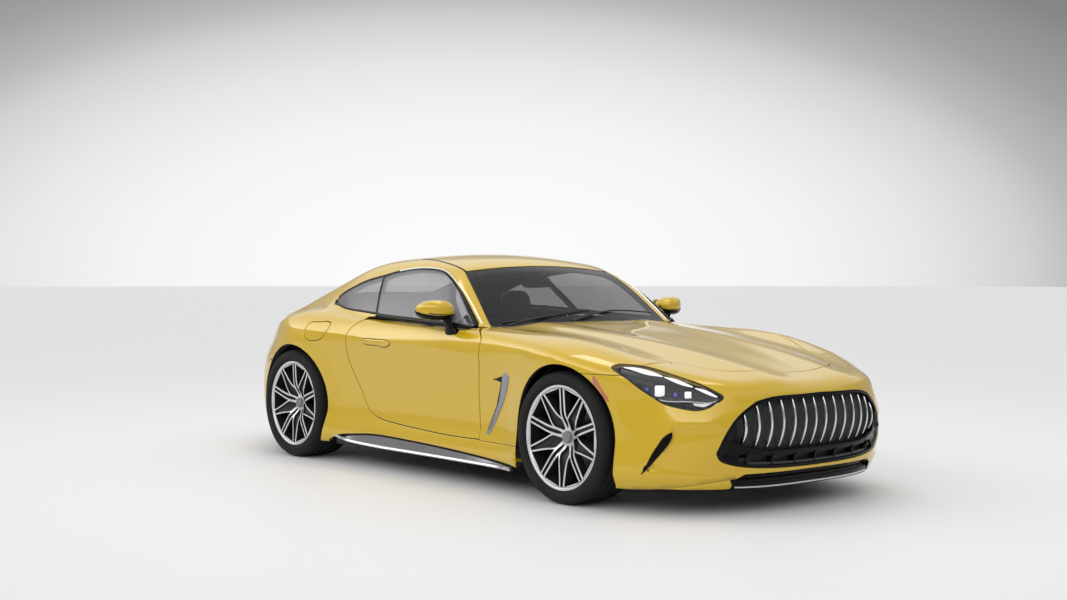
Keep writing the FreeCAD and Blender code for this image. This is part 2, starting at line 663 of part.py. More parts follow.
def revolved(name, pts):
    # body turned about its own x axis; each corner is (along the axis, radius), bound to the sheet
    body = doc.addObject("PartDesign::Body", name)
    plane = [p for p in body.Origin.OriginFeatures if p.Role == "XY_Plane"][0]
    sk = body.newObject("Sketcher::SketchObject", name + "_profile")
    sk.AttachmentSupport = [(plane, "")]
    sk.MapMode = "FlatFace"
    n = len(pts)
    val = [(float(cell_sum(a)), float(cell_sum(r))) for a, r in pts]
    for i in range(n):
        a, b = val[i], val[(i + 1) % n]
        sk.addGeometry(Part.LineSegment(V(a[0], a[1], 0), V(b[0], b[1], 0)), False)
    for i in range(n):
        sk.addConstraint(Sketcher.Constraint("Coincident", i, 2, (i + 1) % n, 1))
    for i in range(n):
        k = sk.addConstraint(Sketcher.Constraint("DistanceX", -1, 1, i, 1, val[i][0]))
        sk.setExpression("Constraints[%d]" % k, pts[i][0])
        k = sk.addConstraint(Sketcher.Constraint("DistanceY", -1, 1, i, 1, val[i][1]))
        sk.setExpression("Constraints[%d]" % k, pts[i][1])
    rev = body.newObject("PartDesign::Revolution", name + "_turn")
    rev.Profile = sk
    rev.ReferenceAxis = (sk, ["H_Axis"])
    rev.Angle = 360.0
    sk.Visibility = False
    return body


def cell_sum(e):
    # value of a simple sum of sheet cells and numbers, for the first position of a sketch corner
    tot = 0.0
    for tok in e.replace("-", "+-").split("+"):
        tok = tok.strip()
        if not tok:
            continue
        sg = 1.0
        if tok[0] == "-":
            sg, tok = -1.0, tok[1:].strip()
        m = 1.0
        for q in tok.split("*"):
            q = q.strip()
            m *= S[q[6:]] if q.startswith("sizes.") else float(q)
        tot += sg * m
    return tot


def wheel(tag, sx, axle, tw, tr):
    # axle: name of the sheet cell of the axle's y; tw, tr: cells of tyre width and radius
    W, R = "sizes." + tw, "sizes." + tr
    b = revolved("t_" + tag, [
        ("25", "sizes.rim_r - 11"), ("25", "sizes.rim_r + 2"), ("4", R + " - 55"), ("0.5", R + " - 40"), ("12", R + " - 12"), ("38", R),
        (W + " - 38", R), (W + " - 12", R + " - 12"), (W + " - 0.5", R + " - 40"), (W + " - 4", R + " - 55"), (W + " - 25", "sizes.rim_r + 2"), (W + " - 25", "sizes.rim_r - 11")])
    if sx < 0:
        b.Placement.Rotation = FreeCAD.Rotation(V(0, 0, 1), 180)
    half = "(" + W + ") / 2"
    at(b, ("sizes.track_x - " if sx > 0 else "-sizes.track_x + ") + half, "sizes." + axle, R)
    node(b, "tyre_" + tag)
    # rim: barrel with two flanges, hub and ten spokes, all outward of the wheel's centre plane
    ax = "X" if sx > 0 else "-X"

    def X(e):
        return ("sizes.track_x + (%s)" if sx > 0 else "-sizes.track_x - (%s)") % e
    Y = "sizes." + axle
    n = "r_" + tag
    barrel = cut(n + "_barrel",
                 fuse(n + "_rings", [pcyl(n + "_b", "sizes.rim_r - 12", W + " - 34", X("17 - " + half), Y, R, ax),
                                     pcyl(n + "_f1", "sizes.rim_r", "7", X("17 - " + half), Y, R, ax),
                                     pcyl(n + "_f2", "sizes.rim_r", "7", X(half + " - 24"), Y, R, ax)]),
                 pcyl(n + "_in", "sizes.rim_in_r", W, X("-" + half), Y, R, ax))
    hub = pcyl(n + "_hub", "78", "72", X("14"), Y, R, ax)
    sp = []
    for i in range(10):
        o = doc.addObject("Part::Box", n + "_s%d" % i)
        bind(o, {"Length": "26", "Width": "24", "Height": "sizes.rim_in_r - 56"})
        a = 36.0 * i
        o.Placement.Rotation = FreeCAD.Rotation(V(1, 0, 0), a)
        # the spoke stands on the hub at 60 mm radius, centred on its own direction
        cy, cz = -12.0 * cos(radians(a)) - 60.0 * sin(radians(a)), -12.0 * sin(radians(a)) + 60.0 * cos(radians(a))
        at(o, X("50") if sx > 0 else X("76"), "%s + %.6f" % (Y, cy), "%s + %.6f" % (R, cz))
        sp.append(o)
    solid = fuse(n + "_all", [barrel, hub] + sp)
    node(cut(n, solid, pcyl(n + "_bore", "sizes.hub_r - 1.95", "400", X("-200"), Y, R, ax)), "rim_" + tag)
    # brake disc with its raised centre
    d = "d_" + tag

    def DX(e):
        return ("sizes.disc_x + (%s)" if sx > 0 else "-sizes.disc_x - (%s)") % e
    dd = fuse(d + "_all", [pcyl(d + "_ring", "sizes.disc_r", "sizes.disc_t", DX("-sizes.disc_t / 2"), Y, R, ax),
                           pcyl(d + "_hat", "84", "sizes.track_x + 14 - sizes.disc_x", DX("0"), Y, R, ax)])
    node(cut(d, dd, pcyl(d + "_bore", "sizes.hub_r - 1.95", "400", DX("-200"), Y, R, ax)), "brake_disc_" + tag)


def carrier(tag, sx, axle, tr, turn):
    # hub carrier: upright, spindle and caliper over the disc's edge
    R, Y = "sizes." + tr, "sizes." + axle
    ax = "X" if sx > 0 else "-X"
    n = "k_" + tag

    def X(e):
        return ("sizes.disc_x + (%s)" if sx > 0 else "-sizes.disc_x - (%s)") % e
    up = pbox(n + "_up", X("-82") if sx > 0 else X("-40"), Y + " - 55", R + " - 150", "42", "110", "300")
    spin = pcyl(n + "_spin", "sizes.hub_r - 2", "256", X("-70"), Y, R, ax)
    cal = cut(n + "_cal",
              pcyl(n + "_c1", "236", "96", X("-48"), Y, R, ax, 62.0, turn),
              fuse(n + "_c2", [pcyl(n + "_c3", "128", "200", X("-90"), Y, R, ax),
                               pcyl(n + "_c4", "sizes.disc_r + 9", "sizes.disc_t + 14", X("-sizes.disc_t / 2 - 7"), Y, R, ax)]))
    arm = cut(n + "_arm", pcyl(n + "_a1", "180", "14", X("-56"), Y, R, ax, 62.0, turn),
              pcyl(n + "_a2", "20", "60", X("-80"), Y, R, ax))
    return fuse(n, [up, spin, cal, arm])


wheel("front_left", 1, "front_axle_y", "tyre_w_front", "tyre_r_front")
wheel("front_right", -1, "front_axle_y", "tyre_w_front", "tyre_r_front")
wheel("rear_left", 1, "rear_axle_y", "tyre_w_rear", "tyre_r_rear")
wheel("rear_right", -1, "rear_axle_y", "tyre_w_rear", "tyre_r_rear")
# caliper sector start, chosen so that it sits behind the front axle and ahead of the rear one
kl = carrier("front_left", 1, "front_axle_y", "tyre_r_front", 30.0)
kr = doc.addObject("Part::Mirroring", "k_front_right")
kr.Source = kl
kr.Base = V(0, 0, 0)
kr.Normal = V(1, 0, 0)
node(kl, "front_knuckle_left")
node(kr, "front_knuckle_right")
rl = carrier("rear_left", 1, "rear_axle_y", "tyre_r_rear", 210.0)
rr = doc.addObject("Part::Mirroring", "k_rear_right")
rr.Source = rl
rr.Base = V(0, 0, 0)
rr.Normal = V(1, 0, 0)
rk = [rl, rr]

# suspension: arms inboard of the hub carriers, and the rear carriers, which don't steer
arms = []
for tag, axle, tr, gapx in (("f", "front_axle_y", "tyre_r_front", 560.0), ("r", "rear_axle_y", "tyre_r_rear", 662.0)):
    for sx in (1, -1):
        for i, (dy, dz, x0) in enumerate(((-150.0, -118.0, 300.0), (110.0, -118.0, 300.0), (-20.0, 128.0, 400.0))):
            o = doc.addObject("Part::Cylinder", "arm_%s%d%d" % (tag, sx, i))
            o.Radius = 17.0
            a = V(sx * x0, S[axle] + dy * 1.0, S[tr] + dz)
            b = V(sx * gapx, S[axle] + dy * 0.25, S[tr] + dz)
            o.Height = (b - a).Length
            o.Placement = FreeCAD.Placement(a, FreeCAD.Rotation(V(0, 0, 1), b - a))
            arms.append(o)

# floor, bulkheads and boot floor of the welded shell
F = "sizes.floor_half_w"
tub = fuse("tub", [
    pbox("tub_floor", "-" + F, "-936", "sizes.floor_z", "2 * " + F, "1830", "sizes.floor_t"),
    pbox("tub_nose", "-490", "-2130", "sizes.floor_z", "980", "1210", "20"),
    pbox("tub_tail", "-520", "880", "sizes.floor_z", "1040", "1010", "20"),
    pbox("tub_firewall", "-690", "-604", "sizes.floor_z", "1380", "24", "690"),
    pbox("tub_seat_wall", "-545", "880", "sizes.floor_z", "1090", "18", "420"),
    pbox("tub_boot", "-545", "880", "560", "1090", "1180", "16"),
    pbox("tub_tunnel", "-110", "-620", "sizes.floor_z", "220", "1510", "190"),
])
node(tub, "underbody")
node(pbox("eng", "-sizes.engine_w / 2", "sizes.engine_y - sizes.engine_l / 2", "sizes.engine_z", "sizes.engine_w", "sizes.engine_l", "sizes.engine_h"), "engine_block")

# dashboard with the centre console and the steering column's cowl
dash = fuse("dash", [
    pbox("dash_top", "-640", "-570", "640", "1280", "230", "190"),
    pbox("dash_mid", "-104", "-345", "345", "208", "900", "95"),
    pbox("dash_stack", "-130", "-450", "430", "260", "230", "220"),
    pcyl("dash_col", "34", "sizes.steer_y + 345 - 50", "sizes.steer_x", "-345", "715", "Y"),
])
node(dash, "dashboard")

rim = doc.addObject("Part::Torus", "sw_rim")
bind(rim, {"Radius1": "sizes.steer_r - sizes.steer_t", "Radius2": "sizes.steer_t"})
tilt = FreeCAD.Rotation(V(1, 0, 0), S["steer_tilt"] - 90.0)
rim.Placement.Rotation = tilt
at(rim, "sizes.steer_x", "sizes.steer_y", "sizes.steer_z")
boss = doc.addObject("Part::Cylinder", "sw_boss")
boss.Radius = 52.0
boss.Height = 30.0
boss.Placement = FreeCAD.Placement(V(S["steer_x"], S["steer_y"], S["steer_z"]) + tilt.multVec(V(0, 0, -15)), tilt)
sp = []
for k, (lx, ly, px, py) in enumerate(((340.0, 34.0, -170.0, -17.0), (34.0, 170.0, -17.0, 0.0))):
    o = doc.addObject("Part::Box", "sw_spoke%d" % k)
    o.Length, o.Width, o.Height = lx, ly, 14.0
    o.Placement = FreeCAD.Placement(V(S["steer_x"], S["steer_y"], S["steer_z"]) + tilt.multVec(V(px, py, -7)), tilt)
    sp.append(o)
node(fuse("sw", [rim, boss] + sp), "steering_wheel")

# seats: cushion, back and head rest; and a small rear pair
seats = []
for sx in (1, -1):
    n = "seat%d" % (1 if sx > 0 else 2)
    cx = "sizes.seat_x" if sx > 0 else "-sizes.seat_x"
    base = pbox(n + "_c", cx + " - sizes.seat_w / 2", "sizes.seat_y - sizes.seat_l / 2", "sizes.seat_z - 70", "sizes.seat_w", "sizes.seat_l", "180")
    back = pbox(n + "_b", cx + " - sizes.seat_w / 2", "sizes.seat_y + sizes.seat_l / 2 - 130", "sizes.seat_z + 60", "sizes.seat_w", "130", "560", ((1, 0, 0), -20.0))
    head = pbox(n + "_h", cx + " - 130", "sizes.seat_y + sizes.seat_l / 2 + 72", "sizes.seat_z + 560", "260", "95", "180", ((1, 0, 0), -14.0))
    seats.append(fuse(n, [base, back, head]))
    rear = fuse(n + "r", [pbox(n + "_rc", cx + " - 210", "660", "240", "420", "200", "150"),
                          pbox(n + "_rb", cx + " - 210", "790", "240", "420", "80", "480")])
    seats.append(rear)

doc.recompute()
feature("seats", Part.makeCompound([o.Shape for o in seats]))
feature("suspension", Part.makeCompound([o.Shape for o in rk] + [o.Shape for o in arms]))

# mirrors on the doors
def skin_x(y, z):
    lo, hi = 500.0, 1200.0
    for _ in range(50):
        m = (lo + hi) / 2
        if F_U(m, y, z) > 0:
            hi = m
        else:
            lo = m
    return lo


cap = box(-1052, -886, -368, -224, 948, 1070)
cap = cap.makeFillet(34.0, cap.Edges)
quad = [(-412, 870), (-300, 866), (-296, 893), (-400, 897)]
pts = [V(-skin_x(y, z) - 1.2, y, z) for y, z in quad]
pts += [V(-942, -345, 962), V(-942, -280, 962), V(-902, -280, 972), V(-902, -345, 972), V(-920, -312, 990)]
tri = [(0, 1, 2), (0, 2, 3)]
for k in range(4):
    j = (k + 1) % 4
    tri += [(k, 4 + k, 4 + j), (k, 4 + j, j)]
tri += [(4, 5, 8), (5, 6, 8), (6, 7, 8), (7, 4, 8)]
fcs = [Part.Face(Part.makePolygon([pts[a], pts[b], pts[c], pts[a]])) for a, b, c in tri]
foot = Part.Solid(Part.Shell(fcs))
if foot.Volume < 0:
    foot = foot.reversed()
mright = biggest(cap.fuse(foot))
keep("mirror_right", mright)
keep("mirror_left", mirror(mright))

# wheel arch liners
lin = []
for yc, zc, r in ((YF, 355.0, 398.0), (YR, 358.0, 402.0)):
    q = cyl_x(r + 5.0, -866, -560, yc, zc).cut(cyl_x(r, -866, -560, yc, zc))
    q = q.cut(box(-far, 0, yc - 600, yc + 600, -100, zc - 60))
    lin += [q, mirror(q)]
keep("wheel_arch_liners", lin)

# tail pipes
tips = []
for x in (-580, -480, 480, 580):
    tips.append(Part.makeCylinder(42, 170, V(x, 1905, 262), V(0, 1, 0)).cut(Part.makeCylinder(37, 120, V(x, 1957, 262), V(0, 1, 0))))
keep("exhaust_tips", tips)


# ---------------------------------------------------------------- checks and files
doc.recompute()
bad = []
for o in doc.Objects:
    if "Invalid" in o.State or "Error" in o.State:
        bad.append(o.Name + " " + str(o.State))
for n, o in NODES.items():
    if o.Shape.isNull() or not o.Shape.isValid() or len(o.Shape.Solids) < 1:
        bad.append(n)
if bad:
    raise RuntimeError("bad objects: " + ", ".join(bad))
os.makedirs("parts", exist_ok=True)
for n, o in NODES.items():
    o.Shape.exportStep("parts/%s.step" % n)
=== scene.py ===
import bpy, bmesh, math, json
import numpy as np
from mathutils import Vector, Matrix, Quaternion
from mathutils.geometry import delaunay_2d_cdt

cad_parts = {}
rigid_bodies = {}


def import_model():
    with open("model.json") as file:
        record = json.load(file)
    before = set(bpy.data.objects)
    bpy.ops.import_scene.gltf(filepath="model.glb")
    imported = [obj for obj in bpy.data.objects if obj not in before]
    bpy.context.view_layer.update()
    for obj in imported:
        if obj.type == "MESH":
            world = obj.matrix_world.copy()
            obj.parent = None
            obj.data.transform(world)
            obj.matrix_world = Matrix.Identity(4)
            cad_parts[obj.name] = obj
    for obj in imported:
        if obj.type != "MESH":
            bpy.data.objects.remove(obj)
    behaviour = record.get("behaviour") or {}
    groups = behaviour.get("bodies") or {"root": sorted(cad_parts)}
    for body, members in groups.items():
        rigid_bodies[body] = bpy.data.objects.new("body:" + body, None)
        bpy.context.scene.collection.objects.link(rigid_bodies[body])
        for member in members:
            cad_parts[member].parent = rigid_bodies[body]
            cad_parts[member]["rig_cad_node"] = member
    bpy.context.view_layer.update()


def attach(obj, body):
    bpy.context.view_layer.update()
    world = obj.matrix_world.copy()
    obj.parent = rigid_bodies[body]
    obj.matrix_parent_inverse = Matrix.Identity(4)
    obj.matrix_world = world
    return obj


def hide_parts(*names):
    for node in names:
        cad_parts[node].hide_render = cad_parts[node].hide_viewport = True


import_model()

pi = math.pi
sqrt, exp, hypot = np.sqrt, np.exp, np.hypot
smx, smn = np.maximum, np.minimum


# ------------------------------------------------------------------ the body's shape (mm), as in the part's source
class Curve:
    # natural cubic spline through given stations, straight outside them
    def __init__(self, xs, ys):
        n = len(xs)
        x = [float(v) for v in xs]
        y = [float(v) for v in ys]
        a = [0.0] * n
        b = [1.0] * n
        c = [0.0] * n
        d = [0.0] * n
        for i in range(1, n - 1):
            h0 = x[i] - x[i - 1]
            h1 = x[i + 1] - x[i]
            a[i] = h0 / 6
            b[i] = (h0 + h1) / 3
            c[i] = h1 / 6
            d[i] = (y[i + 1] - y[i]) / h1 - (y[i] - y[i - 1]) / h0
        for i in range(1, n):
            m = a[i] / b[i - 1]
            b[i] -= m * c[i - 1]
            d[i] -= m * d[i - 1]
        M = [0.0] * n
        M[-1] = d[-1] / b[-1]
        for i in range(n - 2, -1, -1):
            M[i] = (d[i] - c[i] * M[i + 1]) / b[i]
        self.x, self.y, self.m = np.array(x), np.array(y), np.array(M)

    def __call__(self, x):
        x = np.asarray(x, float)
        i = np.clip(np.searchsorted(self.x, x, side="right") - 1, 0, len(self.x) - 2)
        x0, x1 = self.x[i], self.x[i + 1]
        h = x1 - x0
        xc = np.clip(x, self.x[0], self.x[-1])
        A = (x1 - xc) / h
        B = (xc - x0) / h
        v = A * self.y[i] + B * self.y[i + 1] + ((A ** 3 - A) * self.m[i] + (B ** 3 - B) * self.m[i + 1]) * h * h / 6
        g = (self.y[i + 1] - self.y[i]) / h + (-(3 * A * A - 1) * self.m[i] + (3 * B * B - 1) * self.m[i + 1]) * h / 6
        return v + (x - xc) * g


def smax(a, b, k):
    h = smx(k - np.abs(a - b), 0.0) / k
    return smx(a, b) + h * h * h * k / 6.0


def smin(a, b, k):
    h = smx(k - np.abs(a - b), 0.0) / k
    return smn(a, b) - h * h * h * k / 6.0


def sstep(a, b, x):
    t = smn(smx((x - a) / (b - a), 0.0), 1.0)
    return t * t * t * (t * (6 * t - 15) + 10)


YF, YR, ZW = -1384.0, 1316.0, 356.0

# plan outline (half width against y) and section outline (offset against z) of the lower body
PLAN = Curve([-2400, -2200, -1950, -1700, -1384, -1100, -880, -600, -200, 250, 650, 950, 1316, 1650, 1950, 2200, 2400],
             [890, 912, 940, 966, 984, 968, 946, 934, 930, 932, 944, 964, 988, 978, 944, 900, 850])
SECT = Curve([60, 130, 190, 255, 330, 400, 500, 620, 720, 785, 840, 900, 960, 1040],
             [-75, -30, -4, -8, -30, -37, -34, -22, -8, 0, -10, -38, -80, -150])
# height of the bonnet, shoulder and tail along the centre
ZC = Curve([-2400, -2250, -2139, -1900, -1600, -1200, -900, -568, -200, 300, 800, 1200, 1500, 1800, 2100, 2300, 2450],
           [640, 684, 712, 766, 822, 878, 908, 938, 950, 968, 986, 990, 982, 952, 908, 887, 872])
WRIDGE = Curve([-2300, -1900, -1384, -900, -500], [700, 770, 800, 800, 800])
HRIDGE = Curve([-2400, -2000, -1700, -1384, -1050, -700, -400], [-40, -18, 5, 22, 10, -8, -14])
HAUNCH = Curve([300, 900, 1316, 1600, 1850, 2100, 2400], [0, 10, 30, -4, -28, -49, -58])
FPROF = Curve([60, 130, 180, 250, 320, 456, 540, 590, 650, 700, 760, 850], [110, 72, 52, 38, 22, 2, 6, 16, 30, 62, 150, 380])
RPROF = Curve([100, 200, 300, 420, 600, 720, 800, 870, 930, 1000], [190, 130, 85, 35, 0, 12, 30, 42, 60, 110])
# how fast the ends curve back towards the sides, against height
KF = Curve([150, 300, 450, 600, 720], [134, 116, 135, 160, 140])
KR = Curve([200, 350, 500, 650, 815, 950], [240, 243, 266, 292, 343, 333])
# greenhouse: roof line along the centre and half width at the belt
ZB = Curve([-1000, -760, -568, -330, -97, 120, 350, 650, 950, 1250, 1550, 1850, 2100, 2300, 2500],
           [560, 780, 936, 1130, 1278, 1333, 1353, 1345, 1308, 1218, 1131, 1035, 960, 905, 870])
WB = Curve([-1000, -568, -300, -100, 300, 700, 1000, 1300, 1600, 1900, 2200],
           [830, 871, 896, 880, 878, 848, 804, 738, 660, 585, 520])
KA = Curve([-2400, -1800, -1384, -800, -300, 400, 900, 1400, 2400], [110, 110, 95, 80, 60, 60, 90, 130, 130])



def H_A(w, y):
    z = ZC(y) - (w / 900.0) ** 2 * 46.0
    f = 1.0 - sstep(-700, -300, y)
    dome = exp(-((w - (360 + 0.10 * (y + 1384))) / 120.0) ** 2)
    ridge = exp(-((w - WRIDGE(y)) / 150.0) ** 2)
    z = z + f * (dome * 12.0 + ridge * (HRIDGE(y) + 20))
    return z + sstep(300, 1100, y) * exp(-((w - 830.0) / 170.0) ** 2) * HAUNCH(y)


def W_A(y, z):
    s = SECT(z)
    g = smn(exp(-((y - YF) / 360.0) ** 2) + exp(-((y - YR) / 400.0) ** 2), 1.0)
    s = s * (1.0 - 0.75 * g * (1.0 - sstep(740, 800, z)))
    s = s + 8.0 * (1.0 - sstep(400, 540, hypot(y - YF, z - ZW))) + 8.0 * (1.0 - sstep(400, 540, hypot(y - YR, z - ZW)))
    s = s + 42.0 * exp(-((y - 1880.0) / 230.0) ** 2) * (1.0 - sstep(430, 680, z))
    return PLAN(y) + s


def Y_F(w, z):
    return -2364.0 + FPROF(z) + KF(smn(smx(z, 150.0), 720.0)) * (w / 663.0) ** 3.1


def Y_R(w, z):
    return 2364.0 - RPROF(z) - KR(smn(smx(z, 200.0), 950.0)) * (w / 700.0) ** 2.75


def H_B(w, y):
    q = 15.0 * (w / 700.0) ** 2 * (1 - sstep(-200, 600, y))
    return ZB(y - q) - 52.0 * (w / 650.0) ** 2


def W_B(y, z):
    d = z - 940.0
    lo = smn(d, 0.0)
    hi = smx(d, 0.0)
    return WB(y) - 0.52 * lo * exp(lo / 80.0) - 0.52 * hi - 0.00045 * hi * hi


def ends(w, y, z):
    f = (Y_F(w, z) - y) / sqrt(1.0 + (128.0 * 3.1 / 663.0 * (w / 663.0) ** 2.1) ** 2)
    r = (y - Y_R(w, z)) / sqrt(1.0 + (290.0 * 2.75 / 700.0 * (w / 700.0) ** 1.75) ** 2)
    return f, r


# pressed lines: along the shoulder, and round the face between the bumper's slit and the intake
SHO = Curve([-1200, -1028, -941, -828, -705, -579, -419, -220, 3, 232, 448, 558, 997, 1606, 2000], [656, 683, 696, 717, 742, 757, 774, 790, 802, 809, 815, 823, 849, 877, 886])
UPC = Curve([560, 647, 690, 740, 785, 824, 900], [428, 445, 450, 453, 452, 440, 400])
LOC = Curve([500, 537, 640, 755, 886, 920], [198, 201, 208, 220, 237, 244])
SLE = Curve([180, 236, 296, 359, 420, 440, 480], [905, 893, 868, 842, 824, 820, 812])


def relief(w, y, z):
    w, y, z = np.asarray(w, float), np.asarray(y, float), np.asarray(z, float)
    d = z - SHO(y)
    k = sstep(-1130, -900, y) * (1 - sstep(900, 1700, y)) * sstep(780, 860, w)
    out = -7.0 * k * np.exp(-np.sqrt(d * d + 9.0) / 36.0)
    g = (1 - sstep(-1780, -1740, y)) * sstep(570, 690, w)
    m = sstep(-3.5, 3.5, UPC(w) - z) * sstep(-3.5, 3.5, z - LOC(w)) * sstep(-3.5, 3.5, SLE(z) - w)
    return out + 8.0 * g * m


def F_A(w, y, z):
    f, r = ends(w, y, z)
    a = smax(z - H_A(w, y), w - W_A(y, z), KA(y))
    a = smax(a, f, 90.0 + 150.0 * sstep(500, 800, w))
    return smax(a, r, 60.0 + 90.0 * sstep(450, 800, w)) + relief(w, y, z)


def F_B(w, y, z):
    f, r = ends(w, y, z)
    b = smax((z - H_B(w, y)) / 1.08, (w - W_B(y, z)) / 1.12, 110.0)
    return smax(smax(b, r, 60.0), f, 60.0)


def F_U(w, y, z):
    return smin(F_A(w, y, z), F_B(w, y, z), 20.0 + 140.0 * sstep(700, 1300, y) * (1.0 - sstep(2000, 2250, y)))


def at(fld, P):
    return fld(np.abs(P[..., 0]), P[..., 1], P[..., 2])


def crossing(O, D, fld, t1=1700.0, step=50.0):
    # distance along each ray, from inside the body, to the skin
    n = O.shape[0]
    a = np.zeros(n)
    fa = at(fld, O)
    lo = np.zeros(n)
    hi = np.full(n, t1)
    flo = fa.copy()
    fhi = np.ones(n)
    done = np.zeros(n, bool)
    t = step
    while t < t1 and not done.all():
        fb = at(fld, O + t * D)
        hit = (~done) & (fb > 0)
        hi[hit] = t
        fhi[hit] = fb[hit]
        done |= hit
        m = ~done
        lo[m] = t
        flo[m] = fb[m]
        t += step
    for _ in range(26):
        m = (lo + hi) / 2
        fm = at(fld, O + m[:, None] * D)
        p = fm > 0
        hi = np.where(p, m, hi)
        lo = np.where(p, lo, m)
    return O + ((lo + hi) / 2)[:, None] * D


def normals(P, fld, e=1.5):
    w = np.abs(P[:, 0])
    s = np.where(P[:, 0] < 0, -1.0, 1.0)
    y, z = P[:, 1], P[:, 2]
    g = np.stack([(fld(w + e, y, z) - fld(np.abs(w - e), y, z)) * s, fld(w, y + e, z) - fld(w, y - e, z), fld(w, y, z + e) - fld(w, y, z - e)], 1)
    return g / np.linalg.norm(g, axis=1)[:, None]


# charts: each turns (u, v) in mm on a flat sheet into a ray from inside the body
def ray_side(uv):
    # u = y, v = angle * 900 up from the horizontal on the right side (0..180 degrees goes over to the left)
    t = uv[:, 1] / 900.0
    O = np.stack([0 * t, uv[:, 0], 0 * t + 480.0], 1)
    D = np.stack([-np.cos(t), 0 * t, np.sin(t)], 1)
    return O, D


def inv_side(P):
    return np.stack([P[:, 1], 900.0 * np.arctan2(P[:, 2] - 480.0, -P[:, 0])], 1)


NOSE = (-1250.0, 430.0, -1.0)
TAIL_C = (1300.0, 470.0, 1.0)


def ray_star(c):
    def f(uv):
        a, e = uv[:, 0] / 1000.0, uv[:, 1] / 1000.0
        O = np.stack([0 * a, 0 * a + c[0], 0 * a + c[1]], 1)
        return O, np.stack([np.sin(a) * np.cos(e), c[2] * np.cos(a) * np.cos(e), np.sin(e)], 1)
    return f


def inv_star(c):
    def f(P):
        a = np.arctan2(P[:, 0], c[2] * (P[:, 1] - c[0]))
        e = np.arctan2(P[:, 2] - c[1], np.hypot(P[:, 0], P[:, 1] - c[0]))
        return np.stack([a * 1000.0, e * 1000.0], 1)
    return f


# ------------------------------------------------------------------ outlines
def smooth_run(pts, step=14.0):
    p = np.array(pts, float)
    if len(p) == 2:
        n = max(1, int(np.linalg.norm(p[1] - p[0]) / step))
        return [p[0] + (p[1] - p[0]) * i / n for i in range(n)]
    s = np.concatenate([[0.0], np.cumsum(np.linalg.norm(np.diff(p, axis=0), axis=1))])
    cx, cy = Curve(s, p[:, 0]), Curve(s, p[:, 1])
    n = max(4, int(s[-1] / step))
    t = np.linspace(0, s[-1], n + 1)[:-1]
    return list(np.stack([cx(t), cy(t)], 1))


def outline(segs, step=14.0):
    out = []
    for s in segs:
        out += smooth_run(s, step)
    return np.array(out)


def ring(pts):
    return [[pts[i], pts[(i + 1) % len(pts)]] for i in range(len(pts))]


def area2(p):
    q = np.roll(p, -1, 0)
    return float(np.sum(p[:, 0] * q[:, 1] - q[:, 0] * p[:, 1])) / 2


def offset(p, d):
    # closed outline moved outwards by d
    if abs(d) < 1e-9:
        return p
    s = 1.0 if area2(p) > 0 else -1.0
    e0 = p - np.roll(p, 1, 0)
    e1 = np.roll(p, -1, 0) - p
    n0 = np.stack([e0[:, 1], -e0[:, 0]], 1) / np.linalg.norm(e0, axis=1)[:, None]
    n1 = np.stack([e1[:, 1], -e1[:, 0]], 1) / np.linalg.norm(e1, axis=1)[:, None]
    n = n0 + n1
    L = np.linalg.norm(n, axis=1)[:, None]
    n = n / L
    k = np.clip(1.0 / np.maximum(np.sum(n * n0, 1), 0.35), 1.0, 2.2)
    return p + n * (d * s * k)[:, None]


def inside(poly, q):
    x, y = q[:, 0], q[:, 1]
    r = np.zeros(len(q), bool)
    a = poly
    b = np.roll(poly, -1, 0)
    for (x0, y0), (x1, y1) in zip(a, b):
        if y0 == y1:
            continue
        c = (y0 > y) != (y1 > y)
        if c.any():
            r[c] ^= x[c] < (x1 - x0) * (y[c] - y0) / (y1 - y0) + x0
    return r


E_LAMP = np.array([-0.8, 0.6])
D_LAMP = np.array([-0.6, -0.8, 0.0])
VIEWS = {
    "side": lambda P: P[:, [1, 2]],
    "plan": lambda P: P[:, [0, 1]],
    "front": lambda P: P[:, [0, 2]],
    "lamp": lambda P: np.stack([P[:, :2] @ E_LAMP, P[:, 2]], 1),
}


def project(view, poly, fld, y0=-1500.0):
    # outline drawn in a view, laid on the skin
    n = len(poly)
    z = np.zeros(n)
    if view == "side":
        O = np.stack([z, poly[:, 0], poly[:, 1]], 1)
        D = np.tile([-1.0, 0, 0], (n, 1))
    elif view == "plan":
        O = np.stack([poly[:, 0], poly[:, 1], z + 480.0], 1)
        D = np.tile([0.0, 0, 1.0], (n, 1))
    elif view == "front":
        O = np.stack([poly[:, 0], z + y0, poly[:, 1]], 1)
        D = np.tile([0.0, -1.0 if y0 < 0 else 1.0, 0], (n, 1))
    else:
        O = np.stack([poly[:, 0] * E_LAMP[0], poly[:, 0] * E_LAMP[1], poly[:, 1]], 1) + D_LAMP * 1100.0
        D = np.tile(D_LAMP, (n, 1))
    return crossing(O, D, fld)


class Cutter:
    # a closed outline in one view, with its parallel copies
    def __init__(self, view, poly, y0=-1500.0):
        self.view, self.poly, self.y0 = view, poly, y0

    def on(self, fld, d):
        return project(self.view, offset(self.poly, d), fld, self.y0)

    def has(self, P, d=0.0):
        return inside(offset(self.poly, d), VIEWS[self.view](P))


def resample(P, step):
    Q = np.vstack([P, P[:1]])
    s = np.concatenate([[0.0], np.cumsum(np.linalg.norm(np.diff(Q, axis=0), axis=1))])
    n = max(8, int(s[-1] / step))
    t = np.linspace(0, s[-1], n + 1)[:-1]
    return np.stack([np.interp(t, s, Q[:, i]) for i in range(Q.shape[1])], 1)


